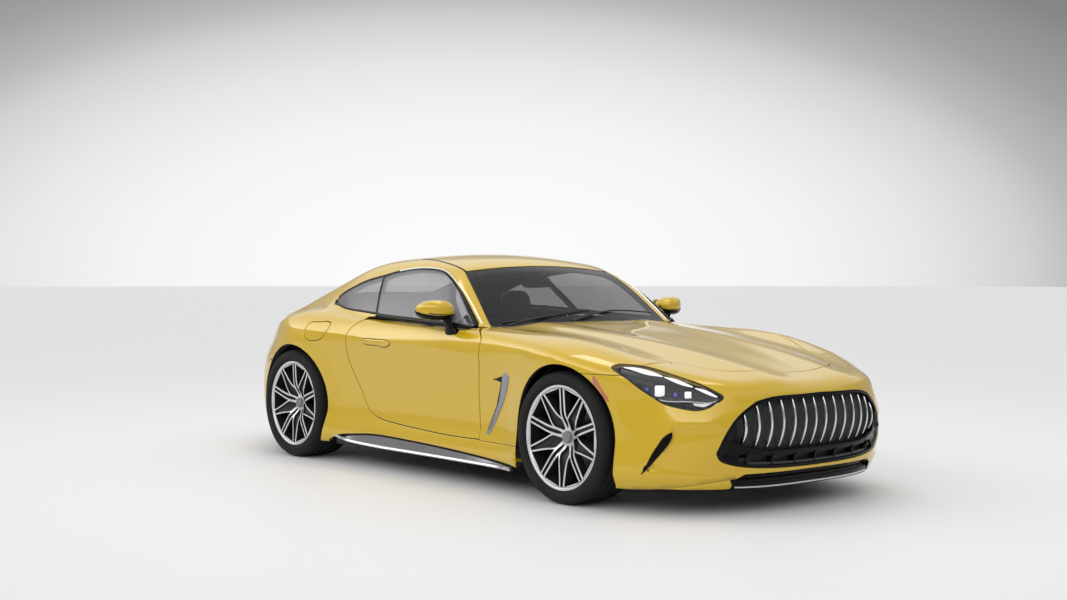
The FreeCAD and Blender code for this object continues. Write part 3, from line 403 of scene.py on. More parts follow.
class Chart:
    def __init__(self, ray, inv, fld, u, v, step, loops):
        self.ray, self.fld = ray, fld
        pts = []
        edges = []
        for L in loops:
            q = inv(L)
            k = len(pts)
            m = len(q)
            for a in q:
                pts.append((min(max(a[0], u[0]), u[1]), min(max(a[1], v[0]), v[1])))
            edges += [(k + i, k + (i + 1) % m) for i in range(m)]
        cp = np.array(pts) if pts else np.zeros((0, 2))
        nu = int((u[1] - u[0]) / step) + 1
        nv = int((v[1] - v[0]) / step) + 1
        gu, gv = np.meshgrid(np.linspace(u[0], u[1], nu), np.linspace(v[0], v[1], nv), indexing="ij")
        gp = np.stack([gu.ravel(), gv.ravel()], 1)
        if len(cp):
            cell = step * 0.42
            occ = set()
            for a in np.floor(cp / cell).astype(int):
                for i in (-1, 0, 1):
                    for j in (-1, 0, 1):
                        occ.add((a[0] + i, a[1] + j))
            key = np.floor(gp / cell).astype(int)
            keep = np.array([(a, b) not in occ for a, b in key])
            gp = gp[keep]
        allp = [Vector(p) for p in pts] + [Vector(p) for p in gp.tolist()]
        vs, es, fs, *_ = delaunay_2d_cdt(allp, edges, [], 0, 1e-3)
        self.uv = np.array([(p.x, p.y) for p in vs])
        self.tri = np.array([f for f in fs if len(f) == 3], int)
        a = self.uv[self.tri]
        ar = (a[:, 1, 0] - a[:, 0, 0]) * (a[:, 2, 1] - a[:, 0, 1]) - (a[:, 2, 0] - a[:, 0, 0]) * (a[:, 1, 1] - a[:, 0, 1])
        self.tri = self.tri[np.abs(ar) > 1e-3]
        self.P = crossing(*ray(self.uv), fld)
        self.C = self.P[self.tri].mean(1)

    def take(self, mask, fld=None, min_part=0):
        # vertices, triangles and normals of the chosen triangles, with outward-facing winding
        t = self.tri[mask]
        used, idx = np.unique(t, return_inverse=True)
        t = idx.reshape(-1, 3)
        f = fld or self.fld
        P = self.P[used] if fld is None else crossing(*self.ray(self.uv[used]), f)
        N = normals(P, f)
        a, b, c = P[t[:, 0]], P[t[:, 1]], P[t[:, 2]]
        fn = np.cross(b - a, c - a)
        s = np.sum(fn * (N[t].mean(1)), 1)
        t[s < 0] = t[s < 0][:, [0, 2, 1]]
        return P, t, N


def parts_of(t, n):
    # label of the connected part of each triangle
    lab = np.arange(n)
    while True:
        m = lab[t].min(1)
        new = lab.copy()
        np.minimum.at(new, t[:, 0], m)
        np.minimum.at(new, t[:, 1], m)
        np.minimum.at(new, t[:, 2], m)
        new = new[new]
        if (new == lab).all():
            return lab[t[:, 0]]
        lab = new


def biggest_part(P, t, N):
    lab = parts_of(t, len(P))
    v, c = np.unique(lab, return_counts=True)
    t = t[lab == v[c.argmax()]]
    used, idx = np.unique(t, return_inverse=True)
    return P[used], idx.reshape(-1, 3), N[used]


def boundary(t):
    e = np.concatenate([t[:, [0, 1]], t[:, [1, 2]], t[:, [2, 0]]])
    op = np.concatenate([t[:, 2], t[:, 0], t[:, 1]])
    key = np.sort(e, 1)
    order = np.lexsort((key[:, 1], key[:, 0]))
    k = key[order]
    same = np.zeros(len(k), bool)
    same[1:] = (k[1:] == k[:-1]).all(1)
    dup = same.copy()
    dup[:-1] |= same[1:]
    keep = order[~dup]
    return e[keep], op[keep]


def shell(P, t, N, thickness=20.0, depth=None, roll=1.6, inner=True, flatten=None):
    """closed panel: skin with rolled edges, a rim, and an inner skin. Returns verts, faces, per-corner normals"""
    be, op = boundary(t)
    out = np.zeros_like(P)
    mid = (P[be[:, 0]] + P[be[:, 1]]) / 2
    d = P[be[:, 1]] - P[be[:, 0]]
    n = (N[be[:, 0]] + N[be[:, 1]]) / 2
    o = np.cross(d, n)
    o /= np.linalg.norm(o, axis=1)[:, None] + 1e-12
    np.add.at(out, be[:, 0], o)
    np.add.at(out, be[:, 1], o)
    bv = np.unique(be)
    ln = np.linalg.norm(out[bv], axis=1)[:, None]
    out[bv] /= ln + 1e-12
    P2, N2 = P.copy(), N.copy()
    P2[bv] = P[bv] - N[bv] * roll
    N2[bv] = N[bv] + out[bv] * 0.9
    N2[bv] /= np.linalg.norm(N2[bv], axis=1)[:, None]
    nb = len(bv)
    pos = -np.ones(len(P), int)
    pos[bv] = np.arange(nb)
    n0 = len(P)
    I = P - N * thickness
    verts = [P2, P2[bv]]
    faces = [t]
    norms = [N2[t].reshape(-1, 3)]
    # rim from the rolled edge to the inner skin's edge
    a, b = be[:, 0], be[:, 1]
    ra, rb = n0 + pos[a], n0 + pos[b]
    if inner:
        ia, ib = n0 + nb + a, n0 + nb + b
        verts.append(I)
        faces_in = t[:, ::-1] + n0 + nb
        q1 = np.stack([rb, ra, ia], 1)
        q2 = np.stack([rb, ia, ib], 1)
    else:
        verts.append(P2[bv] - N[bv] * (depth or thickness))
        ia, ib = n0 + nb + pos[a], n0 + nb + pos[b]
        faces_in = np.zeros((0, 3), int)
        q1 = np.stack([rb, ra, ia], 1)
        q2 = np.stack([rb, ia, ib], 1)
    faces += [q1, q2]
    norms += [np.stack([out[b], out[a], out[a]], 1).reshape(-1, 3), np.stack([out[b], out[a], out[b]], 1).reshape(-1, 3)]
    if inner:
        faces.append(faces_in)
        norms.append(-N[t[:, ::-1]].reshape(-1, 3))
    V = np.vstack(verts)
    Fc = np.vstack(faces)
    Nn = np.vstack(norms)
    return V, Fc, Nn


def mirror_x(V, Fc, Nn):
    V = V * np.array([-1.0, 1, 1])
    F2 = Fc[:, ::-1].copy()
    N2 = Nn.reshape(-1, 3, 3)[:, ::-1].reshape(-1, 3) * np.array([-1.0, 1, 1])
    return V, F2, N2


def join(parts):
    vs, fs, ns = [], [], []
    k = 0
    for V, Fc, Nn in parts:
        vs.append(V)
        fs.append(Fc + k)
        ns.append(Nn)
        k += len(V)
    return np.vstack(vs), np.vstack(fs), np.vstack(ns)


def mesh_object(name, V, Fc, Nn=None, mat=None):
    me = bpy.data.meshes.new(name)
    V = np.asarray(V, float) / 1000.0
    me.vertices.add(len(V))
    me.vertices.foreach_set("co", V.ravel())
    me.loops.add(len(Fc) * 3)
    me.loops.foreach_set("vertex_index", np.asarray(Fc, np.int32).ravel())
    me.polygons.add(len(Fc))
    me.polygons.foreach_set("loop_start", np.arange(0, len(Fc) * 3, 3, dtype=np.int32))
    me.polygons.foreach_set("use_smooth", np.ones(len(Fc), bool))
    me.update()
    me.validate()
    if Nn is not None:
        me.normals_split_custom_set([tuple(v) for v in Nn])
    ob = bpy.data.objects.new(name, me)
    bpy.context.scene.collection.objects.link(ob)
    if mat:
        me.materials.append(mat)
    return ob


# ------------------------------------------------------------------ panel outlines (mm)
DOOR = [
    [(-474, 915), (-540, 906), (-612, 884), (-655, 853)],
    [(-655, 853), (-652, 760), (-628, 640), (-612, 500), (-618, 380), (-634, 279)],
    [(-634, 279), (-304, 279), (-43, 290), (159, 301), (325, 314)],
    [(325, 314), (412, 330), (486, 358), (529, 395), (560, 450), (614, 532), (684, 655)],
    [(684, 655), (702, 724), (703, 800), (697, 852), (663, 897), (578, 949)],
    [(578, 949), (257, 954), (74, 946), (-200, 935), (-378, 926), (-474, 915)],
]
GLASS = [
    [(-466, 921), (-378, 931), (-200, 940), (80, 952), (257, 960), (496, 972)],
    [(496, 972), (534, 1037), (582, 1107), (642, 1200)],
    [(642, 1200), (560, 1222), (450, 1238), (335, 1249), (215, 1251), (120, 1246), (40, 1234), (-50, 1206), (-135, 1169), (-215, 1124), (-303, 1060), (-375, 1000), (-466, 921)],
]
QUARTER = [
    [(508, 974), (700, 985), (870, 993), (1000, 1006), (1090, 1020)],
    [(1090, 1020), (1158, 1034), (1172, 1046), (1160, 1062)],
    [(1160, 1062), (1130, 1082), (1034, 1119), (918, 1156), (799, 1182), (656, 1205)],
    [(656, 1205), (594, 1110), (546, 1038), (508, 974)],
]
FUEL = [
    [(1156, 884), (1142, 898), (1062, 908), (962, 913), (926, 907)],
    [(926, 907), (913, 892), (922, 856), (940, 828), (978, 799), (1046, 784), (1108, 788), (1142, 806), (1156, 836), (1156, 884)],
]
# plan view (x, y)
BONNET = [
    [(-742, -600), (-770, -706), (-788, -1041), (-776, -1319), (-735, -1508), (-655, -1680), (-585, -1824), (-520, -1956), (-430, -2065), (-290, -2138), (-140, -2166), (0, -2172)],
    [(0, -2172), (140, -2166), (290, -2138), (430, -2065), (520, -1956), (585, -1824), (655, -1680), (735, -1508), (776, -1319), (788, -1041), (770, -706), (742, -600)],
    [(742, -600), (500, -612), (0, -622), (-500, -612), (-742, -600)],
]
COWL = [
    [(-736, -590), (-500, -602), (0, -612), (500, -602), (736, -590)],
    [(736, -590), (728, -508)],
    [(728, -508), (604, -547), (270, -575), (0, -581), (-270, -575), (-604, -547), (-728, -508)],
    [(-728, -508), (-736, -590)],
]
SCREEN = [
    [(-724, -502), (-602, -539), (-269, -567), (0, -573), (269, -567), (602, -539), (724, -502)],
    [(724, -502), (672, -307), (625, -160), (592, -82)],
    [(592, -82), (300, -104), (0, -112), (-300, -104), (-592, -82)],
    [(-592, -82), (-625, -160), (-672, -307), (-724, -502)],
]
ROOF = [
    [(-586, -78), (-300, -100), (0, -108), (300, -100), (586, -78)],
    [(586, -78), (578, 60), (560, 240), (540, 425)],
    [(540, 425), (-540, 425)],
    [(-540, 425), (-560, 240), (-578, 60), (-586, -78)],
]
HATCH = [
    [(-536, 430), (536, 430)],
    [(536, 430), (520, 800), (506, 1200), (500, 1600), (520, 1850), (560, 2040), (600, 2105)],
    [(600, 2105), (480, 2165), (300, 2212), (0, 2238), (-300, 2212), (-480, 2165), (-600, 2105)],
    [(-600, 2105), (-560, 2040), (-520, 1850), (-500, 1600), (-506, 1200), (-520, 800), (-536, 430)],
]
REARGLASS = [
    [(-478, 505), (0, 492), (478, 505)],
    [(478, 505), (462, 900), (446, 1300), (430, 1660)],
    [(430, 1660), (0, 1690), (-430, 1660)],
    [(-430, 1660), (-446, 1300), (-462, 900), (-478, 505)],
]
# front view (x, z)
GRILLE = [
    [(0, 607), (-205, 604), (-390, 594), (-452, 580)],
    [(-452, 580), (-533, 530), (-602, 459), (-641, 381), (-661, 326)],
    [(-661, 326), (-640, 288), (-600, 268), (-532, 252), (-428, 240), (-268, 232), (0, 228)],
    [(0, 228), (268, 232), (428, 240), (532, 252), (600, 268), (640, 288), (661, 326)],
    [(661, 326), (641, 381), (602, 459), (533, 530), (452, 580)],
    [(452, 580), (390, 594), (205, 604), (0, 607)],
]
SPLITTER = ring([(-560, 128), (560, 128), (540, 190), (500, 210), (-500, 210), (-540, 190)])
TAIL = [
    [(-432, 778), (-640, 762), (-800, 748), (-900, 752)],
    [(-900, 752), (-900, 806)],
    [(-900, 806), (-800, 812), (-640, 816), (-432, 806)],
    [(-432, 806), (-432, 778)],
]
DIFFUSER = ring([(-640, 150), (640, 150), (660, 250), (520, 330), (-520, 330), (-660, 250)])
# headlamp outline on a plane facing forwards and outwards: a along (-0.8, 0.6, 0), then z
LAMP3 = [(-921, -1732, 742), (-898, -1733, 755), (-844, -1776, 760), (-792, -1835, 753), (-749, -1929, 730), (-705, -2049, 695), (-666, -2144, 662),
         (-631, -2215, 624), (-618, -2236, 603), (-635, -2232, 587), (-672, -2215, 564), (-723, -2184, 541), (-770, -2144, 541), (-816, -2089, 554),
         (-847, -2040, 569), (-875, -1980, 603), (-902, -1905, 648), (-919, -1819, 700), (-925, -1761, 726)]


GAP = 2.5
STEP = 18.0
CUT = {
    "door": Cutter("side", outline(DOOR)),
    "glass": Cutter("side", outline(GLASS, 10)),
    "quarter": Cutter("side", outline(QUARTER, 10)),
    "fuel": Cutter("side", outline(FUEL, 8)),
    "bonnet": Cutter("plan", outline(BONNET)),
    "cowl": Cutter("plan", outline(COWL)),
    "screen": Cutter("plan", outline(SCREEN)),
    "roof": Cutter("plan", outline(ROOF)),
    "hatch": Cutter("plan", outline(HATCH)),
    "rearglass": Cutter("plan", outline(REARGLASS)),
    "grille": Cutter("front", outline(GRILLE, 10)),
    "split": Cutter("front", outline(SPLITTER, 10)),
    "tail": Cutter("front", outline(TAIL, 8), 1700.0),
    "diff": Cutter("front", outline(DIFFUSER, 10), 1500.0),
}
_lp = np.array(LAMP3, float)
_l2 = np.stack([_lp[:, :2] @ E_LAMP, _lp[:, 2]], 1)


def closed_smooth(p, step=8.0):
    # smooth closed outline through the points
    q = np.vstack([p[-3:], p, p[:3]])
    s = np.concatenate([[0.0], np.cumsum(np.linalg.norm(np.diff(q, axis=0), axis=1))])
    cx, cy = Curve(s, q[:, 0]), Curve(s, q[:, 1])
    a, b = s[3], s[3 + len(p)]
    t = np.linspace(a, b, max(12, int((b - a) / step)) + 1)[:-1]
    return np.stack([cx(t), cy(t)], 1)


CUT["lamp"] = Cutter("lamp", closed_smooth(_l2))
FENDER_SIDE = outline(ring([(-1830, 1100), (-1830, 705), (-1500, 705), (-1500, 273), (-636, 273), (-612, 380), (-606, 500), (-620, 640), (-645, 760), (-648, 855), (-605, 885), (-530, 909), (-500, 922), (-500, 1100)]), 16)
CUT["wing"] = Cutter("side", FENDER_SIDE)
QUARTER_SIDE = outline(ring([(2002, 1420), (2002, 640.5), (1640, 640.5), (1640, 1420)]), 16)
CUT["tailseam"] = Cutter("side", QUARTER_SIDE)


def arch(P, y, z, r):
    return np.hypot(P[:, 1] - y, P[:, 2] - z) < r


def circle(y, z, r, n=96):
    t = np.linspace(0, 2 * pi, n, endpoint=False)
    return np.stack([y + r * np.cos(t), z + r * np.sin(t)], 1)


CUT["sill"] = Cutter("side", outline([[(-1060, 152), (-863, 171), (-566, 192), (-195, 210), (198, 222), (468, 222), (640, 208), (812, 183), (900, 150)], [(900, 150), (940, 60)], [(940, 60), (-1060, 60)], [(-1060, 60), (-1060, 152)]], 16))
_c = circle(YF, 355.0, 392.0)
_c = _c[~((_c[:, 0] < YF) & (_c[:, 1] < 355.0))]
_k = int(np.argmin(_c[:, 1]))
_c = np.roll(_c, -_k, 0)
AF = Cutter("side", np.vstack([_c, [(YF - 392.0, 340.0), (YF - 392.0, 200.0), (YF - 390.0, 60.0), (YF - 390.0, -37.0)]]))
AR = Cutter("side", circle(YR, 358.0, 396.0))


def loops(fld, items, clip=None):
    out = []
    for c, ds in items:
        for d in ds:
            L = c.on(fld, d)
            if clip is not None:
                L = clip(L)
            if L is not None and len(L) > 3:
                out.append(resample(L, STEP * 0.55))
    return out


R = 3.2      # width of the rolled edge
G2 = (GAP, GAP + R, -GAP, -GAP - R)
S2 = (1.5, 1.5 + R, -1.5, -1.5 - R)

# ---- right side of the body
class Line3:
    # thin loop along a pressed line, so that the mesh has its points there
    def __init__(self, view, pts, fld, y0=-1500.0):
        self.P = project(view, np.array(pts, float), fld, y0)

    def on(self, fld, d):
        return self.P

    def has(self, P, d=0.0):
        return np.zeros(len(P), bool)


_ys = np.linspace(-1000, 1500, 150)
SHOULDER = Line3("side", np.vstack([np.column_stack([_ys, SHO(_ys) + 3.5]), np.column_stack([_ys, SHO(_ys) - 3.5])[::-1]]), F_A)
side = Chart(ray_side, inv_side, F_U, (-2000, 2190), (-36 * pi / 180 * 900, 64 * pi / 180 * 900), STEP, loops(F_U, [
    (SHOULDER, (0.0,)),
    (CUT["door"], G2), (CUT["fuel"], G2), (CUT["bonnet"], (GAP, GAP + R)), (CUT["lamp"], (1.5, 1.5 + R)), (CUT["cowl"], (2.0, 2.0 + R)), (CUT["screen"], (1.5, 1.5 + R)),
    (CUT["roof"], (1.5, 1.5 + R)), (CUT["hatch"], (GAP, GAP + R)), (CUT["wing"], S2), (CUT["glass"], (6.0, 6.0 + R)), (CUT["quarter"], (1.5, 1.5 + R)), (CUT["tailseam"], S2),
    (AF, (0.0, R)), (AR, (0.0, R)), (CUT["sill"], (0.0, R))]))
C = side.C
front_top = CUT["bonnet"].has(C, GAP) | CUT["cowl"].has(C, 2.0) | CUT["screen"].has(C, 1.5)
inA = AF.has(C) | AR.has(C)
is_door = CUT["door"].has(C, -GAP)
m_wing = (at(F_A, C) > -8) & CUT["wing"].has(C, -1.5) & ~CUT["door"].has(C, GAP) & ~front_top & ~inA & ~CUT["lamp"].has(C, 1.5) & (C[:, 0] < 0) & ~((C[:, 0] > -715) & (C[:, 1] > -640))
wing = biggest_part(*side.take(m_wing, F_A))
PW = shell(*wing, thickness=24.0, inner=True, depth=24.0)
m_side = ~CUT["wing"].has(C, 1.5) & ~CUT["door"].has(C, GAP) & ~front_top & ~inA & ~CUT["glass"].has(C, 6.0) & ~CUT["quarter"].has(C, 1.5)
m_side &= ~CUT["roof"].has(C, 1.5) & ~CUT["hatch"].has(C, GAP) & (C[:, 2] > 137) & (C[:, 1] > -1008) & (C[:, 1] < 2000.5)
m_side &= ~((C[:, 2] < 639) & (C[:, 1] > 1600)) & ~((C[:, 1] < -560) & (C[:, 2] > 275) & (C[:, 2] > 900)) & (C[:, 0] < 0)
m_side &= ~((C[:, 1] < -700) & (C[:, 2] > 275)) & ~CUT["sill"].has(C, 0.0)
m_left = m_side.copy()
m_side &= ~CUT["fuel"].has(C, GAP)
PSR = shell(*biggest_part(*side.take(m_side)), thickness=40.0)
PSL = mirror_x(*shell(*biggest_part(*side.take(m_left)), thickness=40.0))
flap = shell(*biggest_part(*side.take(CUT["fuel"].has(C, -GAP))), thickness=6.0)
door = shell(*biggest_part(*side.take(is_door, F_A)), thickness=26.0)

# ---- bonnet and cowl
top1 = Chart(ray_side, inv_side, F_A, (-2205, -470), (19 * pi / 180 * 900, 161 * pi / 180 * 900), STEP, loops(F_A, [
    (CUT["bonnet"], (-GAP, -GAP - R)), (CUT["cowl"], (0.0, -R))]))
bonnet = shell(*biggest_part(*top1.take(CUT["bonnet"].has(top1.C, -GAP))), thickness=22.0)
cowl = shell(*biggest_part(*top1.take(CUT["cowl"].has(top1.C, 0.0))), thickness=10.0)

# ---- glasshouse: screen, roof, tailgate
top2 = Chart(ray_side, inv_side, F_U, (-640, 2262), (27 * pi / 180 * 900, 153 * pi / 180 * 900), STEP, loops(F_U, [
    (CUT["screen"], (-1.0, -1.0 - R)), (CUT["roof"], (-1.5, -1.5 - R)), (CUT["hatch"], (-GAP, -GAP - R)), (CUT["rearglass"], (-1.5, -1.5 - R, 1.5, 1.5 + R))]))
C = top2.C
screen = shell(*biggest_part(*top2.take(CUT["screen"].has(C, -1.0), F_B)), thickness=5.0, roll=0.6)
roof = shell(*biggest_part(*top2.take(CUT["roof"].has(C, -1.5), F_B)), thickness=30.0)
hatch = shell(*biggest_part(*top2.take(CUT["hatch"].has(C, -GAP) & ~CUT["rearglass"].has(C, 1.5))), thickness=26.0)
rearglass = shell(*biggest_part(*top2.take(CUT["rearglass"].has(C, -1.5))), thickness=5.0, roll=0.6)

# ---- side glass
band = Chart(ray_side, inv_side, F_B, (-530, 1260), (21 * pi / 180 * 900, 58 * pi / 180 * 900), STEP, loops(F_B, [
    (CUT["glass"], (-1.0, -1.0 - R)), (CUT["quarter"], (-1.0, -1.0 - R))]))
C = band.C
pane = shell(*biggest_part(*band.take(CUT["glass"].has(C, -1.0))), thickness=5.0, roll=0.6)
qpane = shell(*biggest_part(*band.take(CUT["quarter"].has(C, -1.0))), thickness=5.0, roll=0.6)

# ---- nose
def mirror_loop(fn):
    return fn


class Flip:
    # the same outline on the other side of the car
    def __init__(self, c):
        self.c = c

    def on(self, fld, d):
        return self.c.on(fld, d) * np.array([-1.0, 1, 1])

    def has(self, P, d=0.0):
        return self.c.has(P * np.array([-1.0, 1, 1]), d)


def low_line(zx, y_side, y_end, s):
    # line round one end of the car at the height zx(|x|)
    ys = np.linspace(y_side, y_end, 24)
    P1 = crossing(np.stack([ys * 0 - 200.0, ys, ys * 0 + zx(925.0)], 1), np.tile([-1.0, 0, 0], (24, 1)), F_U)
    xs = np.linspace(-885, 885, 130)
    O = np.stack([xs, xs * 0 + s * 1500.0, zx(np.abs(xs))], 1)
    P2 = crossing(O, np.tile([0.0, s, 0], (130, 1)), F_U)
    return np.vstack([P1, P2, (P1 * np.array([-1.0, 1, 1]))[::-1]])


class Fixed:
    def __init__(self, P):
        self.P = P

    def on(self, fld, d):
        return self.P


ZNB = Curve([0, 300, 480, 560, 760, 928, 1000], [206, 206, 198, 188, 152, 127, 124])
ZTB = lambda x: np.asarray(x) * 0.0 + 153.0
nose_items = [(Fixed(low_line(ZNB, -1420.0, -1850.0, -1.0)), (0.0,)), (CUT["bonnet"], (GAP, GAP + R)), (CUT["grille"], (1.5, 1.5 + R)), (CUT["split"], (1.5, 1.5 + R))]
for k in ("lamp", "wing"):
    ds = (1.5, 1.5 + R) if k == "wing" else (1.5, 1.5 + R, -1.5, -1.5 - R)
    nose_items += [(CUT[k], ds), (Flip(CUT[k]), ds)]
nose_items += [(AF, (0.0, R)), (Flip(AF), (0.0, R))]
_w = np.linspace(640, 819, 22)
_z = np.linspace(434, 242, 22)
_v = np.linspace(884, 640, 26)
_face = np.vstack([np.column_stack([-_w, UPC(_w)]), np.column_stack([-SLE(_z), _z]), np.column_stack([-_v, LOC(_v)])])
if area2(_face) < 0:
    _face = _face[::-1]
CUT["face"] = Cutter("front", _face)
nose_items += [(CUT["face"], (3.0, -3.0)), (Flip(CUT["face"]), (3.0, -3.0))]
nose = Chart(ray_star(NOSE), inv_star(NOSE), F_A, (-1290, 1290), (-430, 600), STEP * 1.05, loops(F_A, nose_items))
C = nose.C
both = lambda c, d: CUT[c].has(C, d) | Flip(CUT[c]).has(C, d) if not isinstance(c, Cutter) else c.has(C, d)
m_b = ~CUT["bonnet"].has(C, GAP) & ~CUT["grille"].has(C, 1.5) & ~CUT["split"].has(C, 1.5) & ~both("lamp", 1.5) & ~AF.has(C)
m_b &= (C[:, 2] > 119) & (C[:, 1] < -1402) & ~((C[:, 1] > -1830 - 1.5) & (C[:, 2] > 703.5))
low_b = C[:, 2] < ZNB(np.abs(C[:, 0]))
bumper = shell(*biggest_part(*nose.take(m_b & ~low_b)), thickness=26.0)
blow = shell(*nose.take(m_b & low_b), thickness=20.0)
# straight lower edge instead of the chart's steps
blow[0][:, 2] = np.maximum(blow[0][:, 2], 138.0)
lens = shell(*biggest_part(*nose.take(CUT["lamp"].has(C, -1.5))), thickness=3.0, roll=0.8)

# ---- tail
tail_items = [(Fixed(low_line(ZTB, 1660.0, 1900.0, 1.0)), (0.0,)), (CUT["hatch"], (GAP, GAP + R)), (CUT["diff"], (1.5, 1.5 + R)), (AR, (0.0, R)), (Flip(AR), (0.0, R))]
for k in ("tail", "tailseam"):
    ds = (1.5, 1.5 + R) if k == "tailseam" else (1.5, 1.5 + R, -1.5, -1.5 - R)
    tail_items += [(CUT[k], ds), (Flip(CUT[k]), ds)]
tail = Chart(ray_star(TAIL_C), inv_star(TAIL_C), F_U, (-1330, 1330), (-430, 680), STEP * 1.05, loops(F_U, tail_items))
C = tail.C
m_t = ~CUT["hatch"].has(C, GAP) & ~CUT["diff"].has(C, 1.5) & ~both("tail", 1.5) & ~arch(C, YR, 358.0, 396.0)
m_t &= (C[:, 2] > 153) & (C[:, 1] > 1500) & ~((C[:, 1] < 2003.5) & (C[:, 2] > 639))
rbumper = shell(*biggest_part(*tail.take(m_t)), thickness=26.0)
tlens = shell(*biggest_part(*tail.take(CUT["tail"].has(C, -1.5) & (C[:, 1] > 2005) & (C[:, 0] < 0))), thickness=3.0, roll=0.8)


# ------------------------------------------------------------------ materials
def new_mat(name):
    m = bpy.data.materials.new(name)
    m.use_nodes = True
    nt = m.node_tree
    b = nt.nodes["Principled BSDF"]
    return m, nt, b


def node(nt, kind, **kw):
    n = nt.nodes.new(kind)
    for k, v in kw.items():
        if k in n.inputs:
            n.inputs[k].default_value = v
        else:
            setattr(n, k, v)
    return n


def noise_bump(nt, b, scale, strength, dist=0.001, detail=4.0, coord=None, kind="noise"):
    tc = node(nt, "ShaderNodeTexCoord")
    if kind == "noise":
        t = node(nt, "ShaderNodeTexNoise", Scale=scale, Detail=detail)
        outn = "Fac"
    else:
        t = node(nt, "ShaderNodeTexVoronoi", Scale=scale)
        outn = "Distance"
    nt.links.new(tc.outputs["Object"], t.inputs["Vector"])
    bp = node(nt, "ShaderNodeBump", Strength=strength, Distance=dist)
    nt.links.new(t.outputs[outn], bp.inputs["Height"])
    nt.links.new(bp.outputs["Normal"], b.inputs["Normal"])
    return t, bp


def vary_rough(nt, b, lo, hi, scale=6.0):
    tc = node(nt, "ShaderNodeTexCoord")
    t = node(nt, "ShaderNodeTexNoise", Scale=scale, Detail=3.0)
    nt.links.new(tc.outputs["Object"], t.inputs["Vector"])
    r = node(nt, "ShaderNodeMapRange")
    r.inputs["To Min"].default_value = lo
    r.inputs["To Max"].default_value = hi
    nt.links.new(t.outputs["Fac"], r.inputs["Value"])
    nt.links.new(r.outputs["Result"], b.inputs["Roughness"])
    return t


def vary_color(nt, b, c1, c2, scale=4.0, detail=3.0):
    tc = node(nt, "ShaderNodeTexCoord")
    t = node(nt, "ShaderNodeTexNoise", Scale=scale, Detail=detail)
    nt.links.new(tc.outputs["Object"], t.inputs["Vector"])
    mx = node(nt, "ShaderNodeMix", data_type="RGBA")
    nt.links.new(t.outputs["Fac"], mx.inputs["Factor"])
    mx.inputs["A"].default_value = (*c1, 1)
    mx.inputs["B"].default_value = (*c2, 1)
    # the colour sockets of the mix node are the third pair
    mx.inputs[6].default_value = (*c1, 1)
    mx.inputs[7].default_value = (*c2, 1)
    nt.links.new(mx.outputs[2], b.inputs["Base Color"])
    return t


def paint_mat():
    m, nt, b = new_mat("yellow_paint")
    vary_color(nt, b, (0.575, 0.375, 0.0075), (0.600, 0.394, 0.0095), 900.0, 2.0)
    b.inputs["Metallic"].default_value = 0.12
    b.inputs["Roughness"].default_value = 0.34
    b.inputs["IOR"].default_value = 1.5
    b.inputs["Specular IOR Level"].default_value = 0.15
    b.inputs["Coat Weight"].default_value = 1.0
    b.inputs["Coat Roughness"].default_value = 0.035
    b.inputs["Coat IOR"].default_value = 1.55
    # very fine orange peel in the lacquer
    tc = node(nt, "ShaderNodeTexCoord")
    t = node(nt, "ShaderNodeTexNoise", Scale=260.0, Detail=2.0)
    nt.links.new(tc.outputs["Object"], t.inputs["Vector"])
    bp = node(nt, "ShaderNodeBump", Strength=0.012, Distance=0.0006)
    nt.links.new(t.outputs["Fac"], bp.inputs["Height"])
    nt.links.new(bp.outputs["Normal"], b.inputs["Coat Normal"])
    return m


def plain_mat(name, col, rough, metal=0.0, var=0.25, scale=30.0, bump=0.0, bscale=200.0, coat=0.0, bdist=0.001, lift=1.25):
    m, nt, b = new_mat(name)
    vary_color(nt, b, col, tuple(min(1.0, c * lift) for c in col), scale)
    vary_rough(nt, b, max(0.02, rough * (1 - var)), min(1.0, rough * (1 + var)), scale * 0.6)
    b.inputs["Metallic"].default_value = metal
    if coat:
        b.inputs["Coat Weight"].default_value = coat
        b.inputs["Coat Roughness"].default_value = 0.05
    if bump:
        noise_bump(nt, b, bscale, bump, bdist)
    return m


def glass_mat(name, tint, alpha, rough=0.0):
    m, nt, b = new_mat(name)
    b.inputs["Base Color"].default_value = (*tint, 1)
    b.inputs["Roughness"].default_value = rough
    b.inputs["Metallic"].default_value = 0.0
    b.inputs["IOR"].default_value = 1.5
    b.inputs["Alpha"].default_value = alpha
    b.inputs["Coat Weight"].default_value = 1.0
    b.inputs["Coat Roughness"].default_value = 0.02
    t = vary_rough(nt, b, 0.0, 0.02, 3.0)
    return m


M = {}
M["paint"] = paint_mat()
M["black_gloss"] = plain_mat("black_gloss", (0.0035, 0.0035, 0.004), 0.14, var=0.3)
M["black_matt"] = plain_mat("black_matt", (0.014, 0.014, 0.015), 0.5, bump=0.15, bscale=700.0)
M["black_under"] = plain_mat("black_under", (0.020, 0.020, 0.021), 0.75, bump=0.3, bscale=90.0)
M["machined"] = plain_mat("machined_alloy", (0.60, 0.60, 0.61), 0.30, metal=0.55, var=0.2, scale=18.0, bump=0.03, bscale=900.0, coat=0.5, lift=1.1)
M["rim_dark"] = plain_mat("rim_dark", (0.020, 0.020, 0.022), 0.42, metal=0.3)
M["chrome"] = plain_mat("bright_chrome", (0.72, 0.72, 0.74), 0.10, metal=1.0, lift=1.08)
M["satin_silver"] = plain_mat("satin_silver", (0.52, 0.52, 0.54), 0.26, metal=1.0, lift=1.1)
M["iron"] = plain_mat("disc_iron", (0.24, 0.24, 0.25), 0.30, metal=1.0, var=0.35, scale=24.0, bump=0.06, bscale=500.0)
M["caliper"] = plain_mat("caliper_red", (0.42, 0.012, 0.018), 0.28, coat=0.8, bump=0.03, bscale=300.0)
